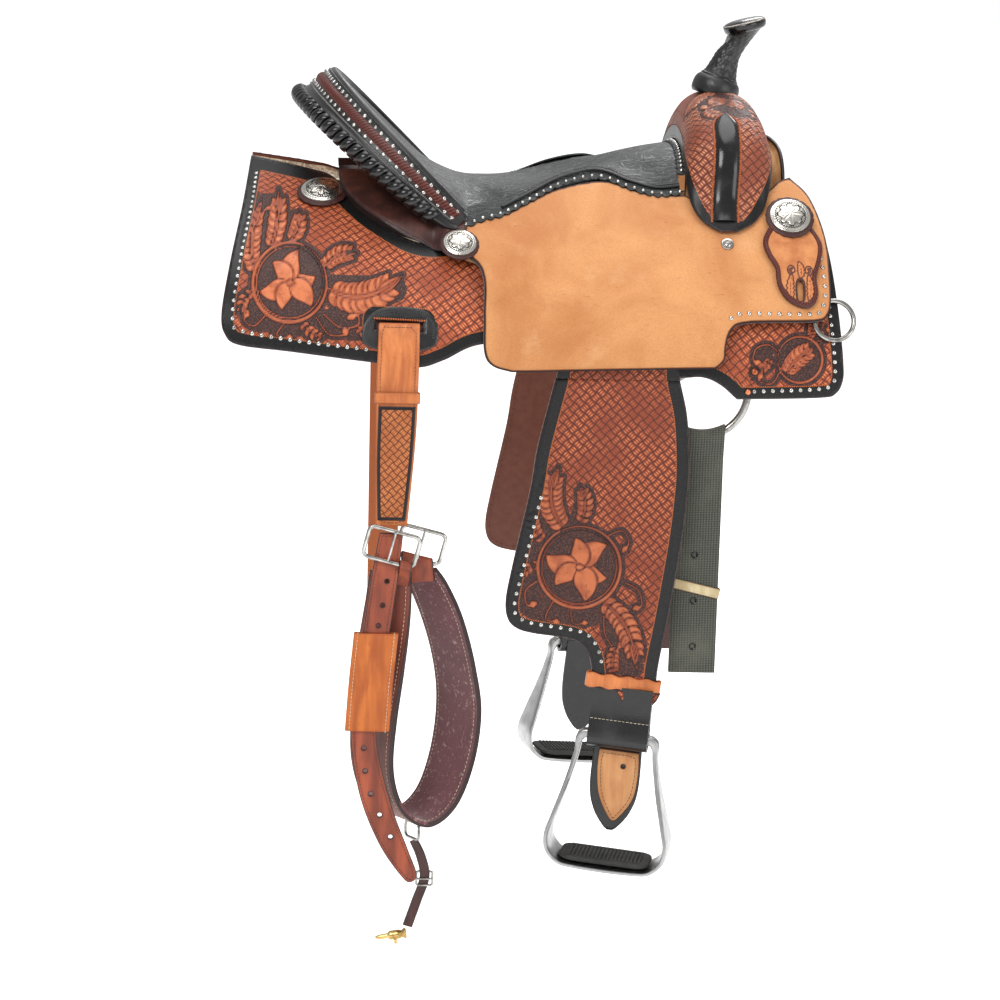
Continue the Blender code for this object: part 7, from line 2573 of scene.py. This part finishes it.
def make_buckles():
    """Both roller buckles with their tongues, and the dee at the cinch's lowest point."""
    lean = np.array((math.cos(BUCKLE_TILT), 0, -math.sin(BUCKLE_TILT)))
    rise = np.array((math.sin(BUCKLE_TILT), 0, math.cos(BUCKLE_TILT)))
    for word, place, half_wide in (
        ("front", (-0.1720, -0.2660, -0.2600), 0.0275), ("rear", (-0.1400, -0.2200, -0.2660), 0.0240),
    ):
        loop = rounded_frame(place, lean, rise, half_wide, 0.0165, 0.006)
        frame_wire = wire(f"buckle_wire_{word}", loop, 0.0022, across=16)
        dressed(frame_wire, "flank_cinch", NICKEL, "steel", f"buckle_{word}")
        foot = np.array(place) + rise * 0.0165
        bow = ((0.0, -0.0046), (-0.010, -0.0049), (-0.020, -0.0048), (-0.028, -0.0044), (-0.0315, -0.0038))
        path = [foot + rise * v + np.array((0, d, 0)) for v, d in bow]
        tongue = wire(f"tongue_wire_{word}", resampled(path, 0.002), 0.0013, closed=False, up=(1, 0, 0))
        dressed(tongue, f"tongue_{word}", NICKEL, "steel", f"tongue_{word}")
    across = (math.cos(DEE_TURN), -math.sin(DEE_TURN), 0)
    loop = rounded_frame((-0.141, -0.1990, -0.5855), across, (0, 0, 1), 0.0125, 0.0090, 0.005)
    normal = np.cross(across, (0, 0, 1))
    dee = wire("dee_wire", loop, 0.0017, across=12, up=tuple(normal))
    dressed(dee, "cinch_dee", STEEL, "steel", "cinch_dee")


def make_chapes():
    """Leather ends that fold round the lower bars of both buckles and hold the cinch to them."""
    for word, bar, end, wide in (
        ("front", (-0.1571, -0.2660, -0.2807), (-0.1590, -0.2430, -0.3040), 0.0140),
        ("rear", (-0.1440, -0.2200, -0.2820), (-0.1410, -0.2160, -0.3060), 0.0340),
    ):
        bar, end = np.array(bar), np.array(end)
        near = (bar * 2 + end) / 3
        path = [end + (0, 0.0042, 0), near + (0, 0.0045, 0), bar + (0, 0.0040, 0), bar + (0, 0, 0.0040),
                bar + (0, -0.0040, 0), near + (0, -0.0045, 0), end + (0, -0.0042, 0)]
        fine = resampled(path, 0.0015)
        across = np.tile((math.cos(BUCKLE_TILT), 0, -math.sin(BUCKLE_TILT)), (len(fine), 1))
        chape = strap_mesh(f"cinch_chape_{word}", fine, np.full(len(fine), wide), across, 0.0026)
        dressed(chape, "flank_cinch", TAIL_BROWN, "cinch_leather")


def connector_y(z):
    return -0.1990 + 0.0200 * ramp(z, CONNECTOR_TOP, SNAP_TOP)


def make_connector():
    middle = ((-0.1390, CONNECTOR_TOP, 30), (-0.1310, -0.6150, 10), (-0.1260, -0.6400, 0),
              (-0.1340, -0.6700, 0),
              (-0.1430, -0.7000, 0))
    fine = resampled([(x, connector_y(z), z, twist * 0.001) for x, z, twist in middle], 0.003)
    angles = np.radians(fine[:, 3] * 1000)
    across = np.stack([np.cos(angles), -np.sin(angles), np.zeros(len(fine))], -1)
    strap = strap_mesh("connector_leather", fine[:, :3], 0.0110, across, 0.0034, columns=7)
    dressed(strap, "connector", DARK_BROWN, "brown_leather", "connector_strap")
    place = Vector((-0.1262, float(connector_y(-0.6420)), -0.6420))
    frame_line = rounded_frame(place, Vector((1, 0, 0)), Vector((0, 0, 1)), 0.0088, 0.0078, 0.0024)
    buckle = wire("connector_buckle", frame_line, 0.0013)
    dressed(buckle, "connector", STEEL, "steel")
    bar_line = [place + Vector((s * 0.0088, -0.0022, 0)) for s in np.linspace(-1, 1, 8)]
    bar = wire("connector_buckle_bar", bar_line, 0.0011, closed=False)
    dressed(bar, "connector", STEEL, "steel")
    along = Vector(SNAP_AXIS).normalized()
    eye = Vector((-0.1440, float(connector_y(SNAP_TOP)), SNAP_TOP))
    profile = ((0.0046, 0.0), (0.0058, 0.0008), (0.0060, 0.0020), (0.0044, 0.0045), (0.0040, 0.0055),
               (0.0050, 0.0080),
               (0.0051, 0.0130), (0.0050, 0.0180), (0.0042, 0.0196), (0.0030, 0.0205), (0.0025, 0.0300),
               (0.0012, 0.0345))
    snap = set_at("snap_brass", *turned_finely(profile, 32), eye, along)
    dressed(snap, "snap", BRASS, "brass", "snap")
    down = along.cross(Vector((0, 1, 0))).normalized()
    if down.z > 0:
        down.negate()
    thumb = ((0.0018, 0.0), (0.0019, 0.0010), (0.0017, 0.0030), (0.0018, 0.0040), (0.0012, 0.0048))
    trigger = set_at("trigger_brass", *turned(thumb, 20), eye + along * 0.013 + down * 0.0053, down)
    dressed(trigger, "snap_trigger", BRASS, "brass", "snap_trigger")


# Carried-over wood and steel, the room, the lights and the camera

def finish_solids():
    shown = {"tree_bar_right": WOOD, "tree_bar_left": WOOD, "fork": WOOD, "cantle_board": WOOD,
             "ground_seat": WOOD,
             "horn_post": STEEL}
    for name, made in shown.items():
        node = bpy.data.objects[name]
        if not node.material_slots:
            node.data.materials.append(made)
        for slot in node.material_slots:
            slot.material = made


def make_room():
    """A wide pale floor, white to the camera and in reflections, that still keeps the shadow."""
    level = CAD_BOX[0][2] - 0.004
    mesh = bpy.data.meshes.new("floor")
    mesh.from_pydata([(-90, -60, level), (90, -60, level), (90, 160, level), (-90, 160, level)], [],
                     [(0, 1, 2, 3)])
    floor = new_object("floor", mesh)
    paper = bpy.data.materials.new("white_paper")
    paper.use_nodes = True
    tree = paper.node_tree
    shader = tree.nodes["Principled BSDF"]
    shader.inputs["Base Color"].default_value = (0.93, 0.93, 0.93, 1)
    shader.inputs["Roughness"].default_value = 0.9
    glow = tree.nodes.new("ShaderNodeEmission")
    glow.inputs["Color"].default_value = (1, 1, 1, 1)
    glow.inputs["Strength"].default_value = 0.70
    both = tree.nodes.new("ShaderNodeAddShader")
    tree.links.new(shader.outputs[0], both.inputs[0])
    tree.links.new(glow.outputs[0], both.inputs[1])
    path = tree.nodes.new("ShaderNodeLightPath")
    seen = tree.nodes.new("ShaderNodeMath")
    seen.operation = "MAXIMUM"
    tree.links.new(path.outputs["Is Camera Ray"], seen.inputs[0])
    tree.links.new(path.outputs["Is Glossy Ray"], seen.inputs[1])
    pick = tree.nodes.new("ShaderNodeMixShader")
    tree.links.new(seen.outputs[0], pick.inputs[0])
    tree.links.new(shader.outputs[0], pick.inputs[1])
    tree.links.new(both.outputs[0], pick.inputs[2])
    tree.links.new(pick.outputs[0], tree.nodes["Material Output"].inputs["Surface"])
    mesh.materials.append(paper)


def lamp(name, place, target, size, power):
    light = bpy.data.lights.new(name, "AREA")
    light.shape = "RECTANGLE"
    light.size, light.size_y = size
    light.energy = power
    obj = new_object(name, light)
    aim = (Vector(target) - Vector(place)).to_track_quat("-Z", "Y")
    obj.matrix_world = Matrix.Translation(place) @ aim.to_matrix().to_4x4()


def make_light():
    world = bpy.data.worlds.new("studio")
    bpy.context.scene.world = world
    world.use_nodes = True
    sky = world.node_tree.nodes["Background"]
    sky.inputs["Color"].default_value = (1.0, 1.0, 1.0, 1.0)
    sky.inputs["Strength"].default_value = 0.55
    tree = world.node_tree
    path = tree.nodes.new("ShaderNodeLightPath")
    white = tree.nodes.new("ShaderNodeBackground")
    white.inputs["Color"].default_value = (1.0, 1.0, 1.0, 1.0)
    white.inputs["Strength"].default_value = 1.0
    pick = tree.nodes.new("ShaderNodeMixShader")
    tree.links.new(path.outputs["Is Camera Ray"], pick.inputs[0])
    tree.links.new(sky.outputs[0], pick.inputs[1])
    tree.links.new(white.outputs[0], pick.inputs[2])
    tree.links.new(pick.outputs[0], tree.nodes["World Output"].inputs["Surface"])
    lamp("key", (-1.6, -3.2, 2.6), (0, 0, -0.1), (2.2, 1.6), 95)
    lamp("fill", (2.6, -2.6, 0.8), (0, 0, -0.2), (2.0, 2.0), 40)
    lamp("top", (0.2, 0.2, 3.0), (0, 0, 0), (2.4, 2.4), 55)
    lamp("back", (0.8, 2.0, 1.8), (0, 0, 0), (1.6, 1.2), 30)


def make_camera():
    azimuth, drop, roll = math.radians(3.2), math.radians(10.0), math.radians(1.7)
    look = Vector((math.cos(drop) * math.sin(azimuth), math.cos(drop) * math.cos(azimuth), -math.sin(drop)))
    right = look.cross(Vector((0, 0, 1))).normalized()
    up = right.cross(look)
    level = right * math.cos(roll) + up * math.sin(roll)
    over = up * math.cos(roll) - right * math.sin(roll)
    camera = bpy.data.cameras.new("camera")
    camera.sensor_width = 36
    camera.lens = 115.2
    camera.clip_end = 50
    obj = new_object("camera", camera)
    place = Matrix((level, over, -look)).transposed().to_4x4()
    place.translation = Vector((-0.045, 0, -0.255)) - look * 3.62
    obj.matrix_world = place
    bpy.context.scene.camera = obj


def make_saddle():
    make_skirts()
    make_fleece()
    make_jockeys()
    make_drop_plates()
    make_conchos()
    make_fenders()
    rows = make_seat()
    make_cantle()
    make_cantle_back(rows, seat_surface()[1])
    make_swell()
    make_gullet()
    make_horn()
    make_rings()
    make_billets()
    make_cinch()
    make_buckles()
    make_connector()
    finish_solids()


bpy.context.scene.view_settings.view_transform = "Standard"
# high is the painted highlight colour for the carving's crests and the stamp's tips.
CANTLE_TOOLED = tooled("cantle_leather", 4.0, base=srgb(170, 88, 44), high=srgb(226, 150, 92), stamp=0.0075,
                       line=False)
make_camera()
make_saddle()
make_room()
make_light()
for small in SMALL_PARTS:
    bpy.data.objects.remove(small)
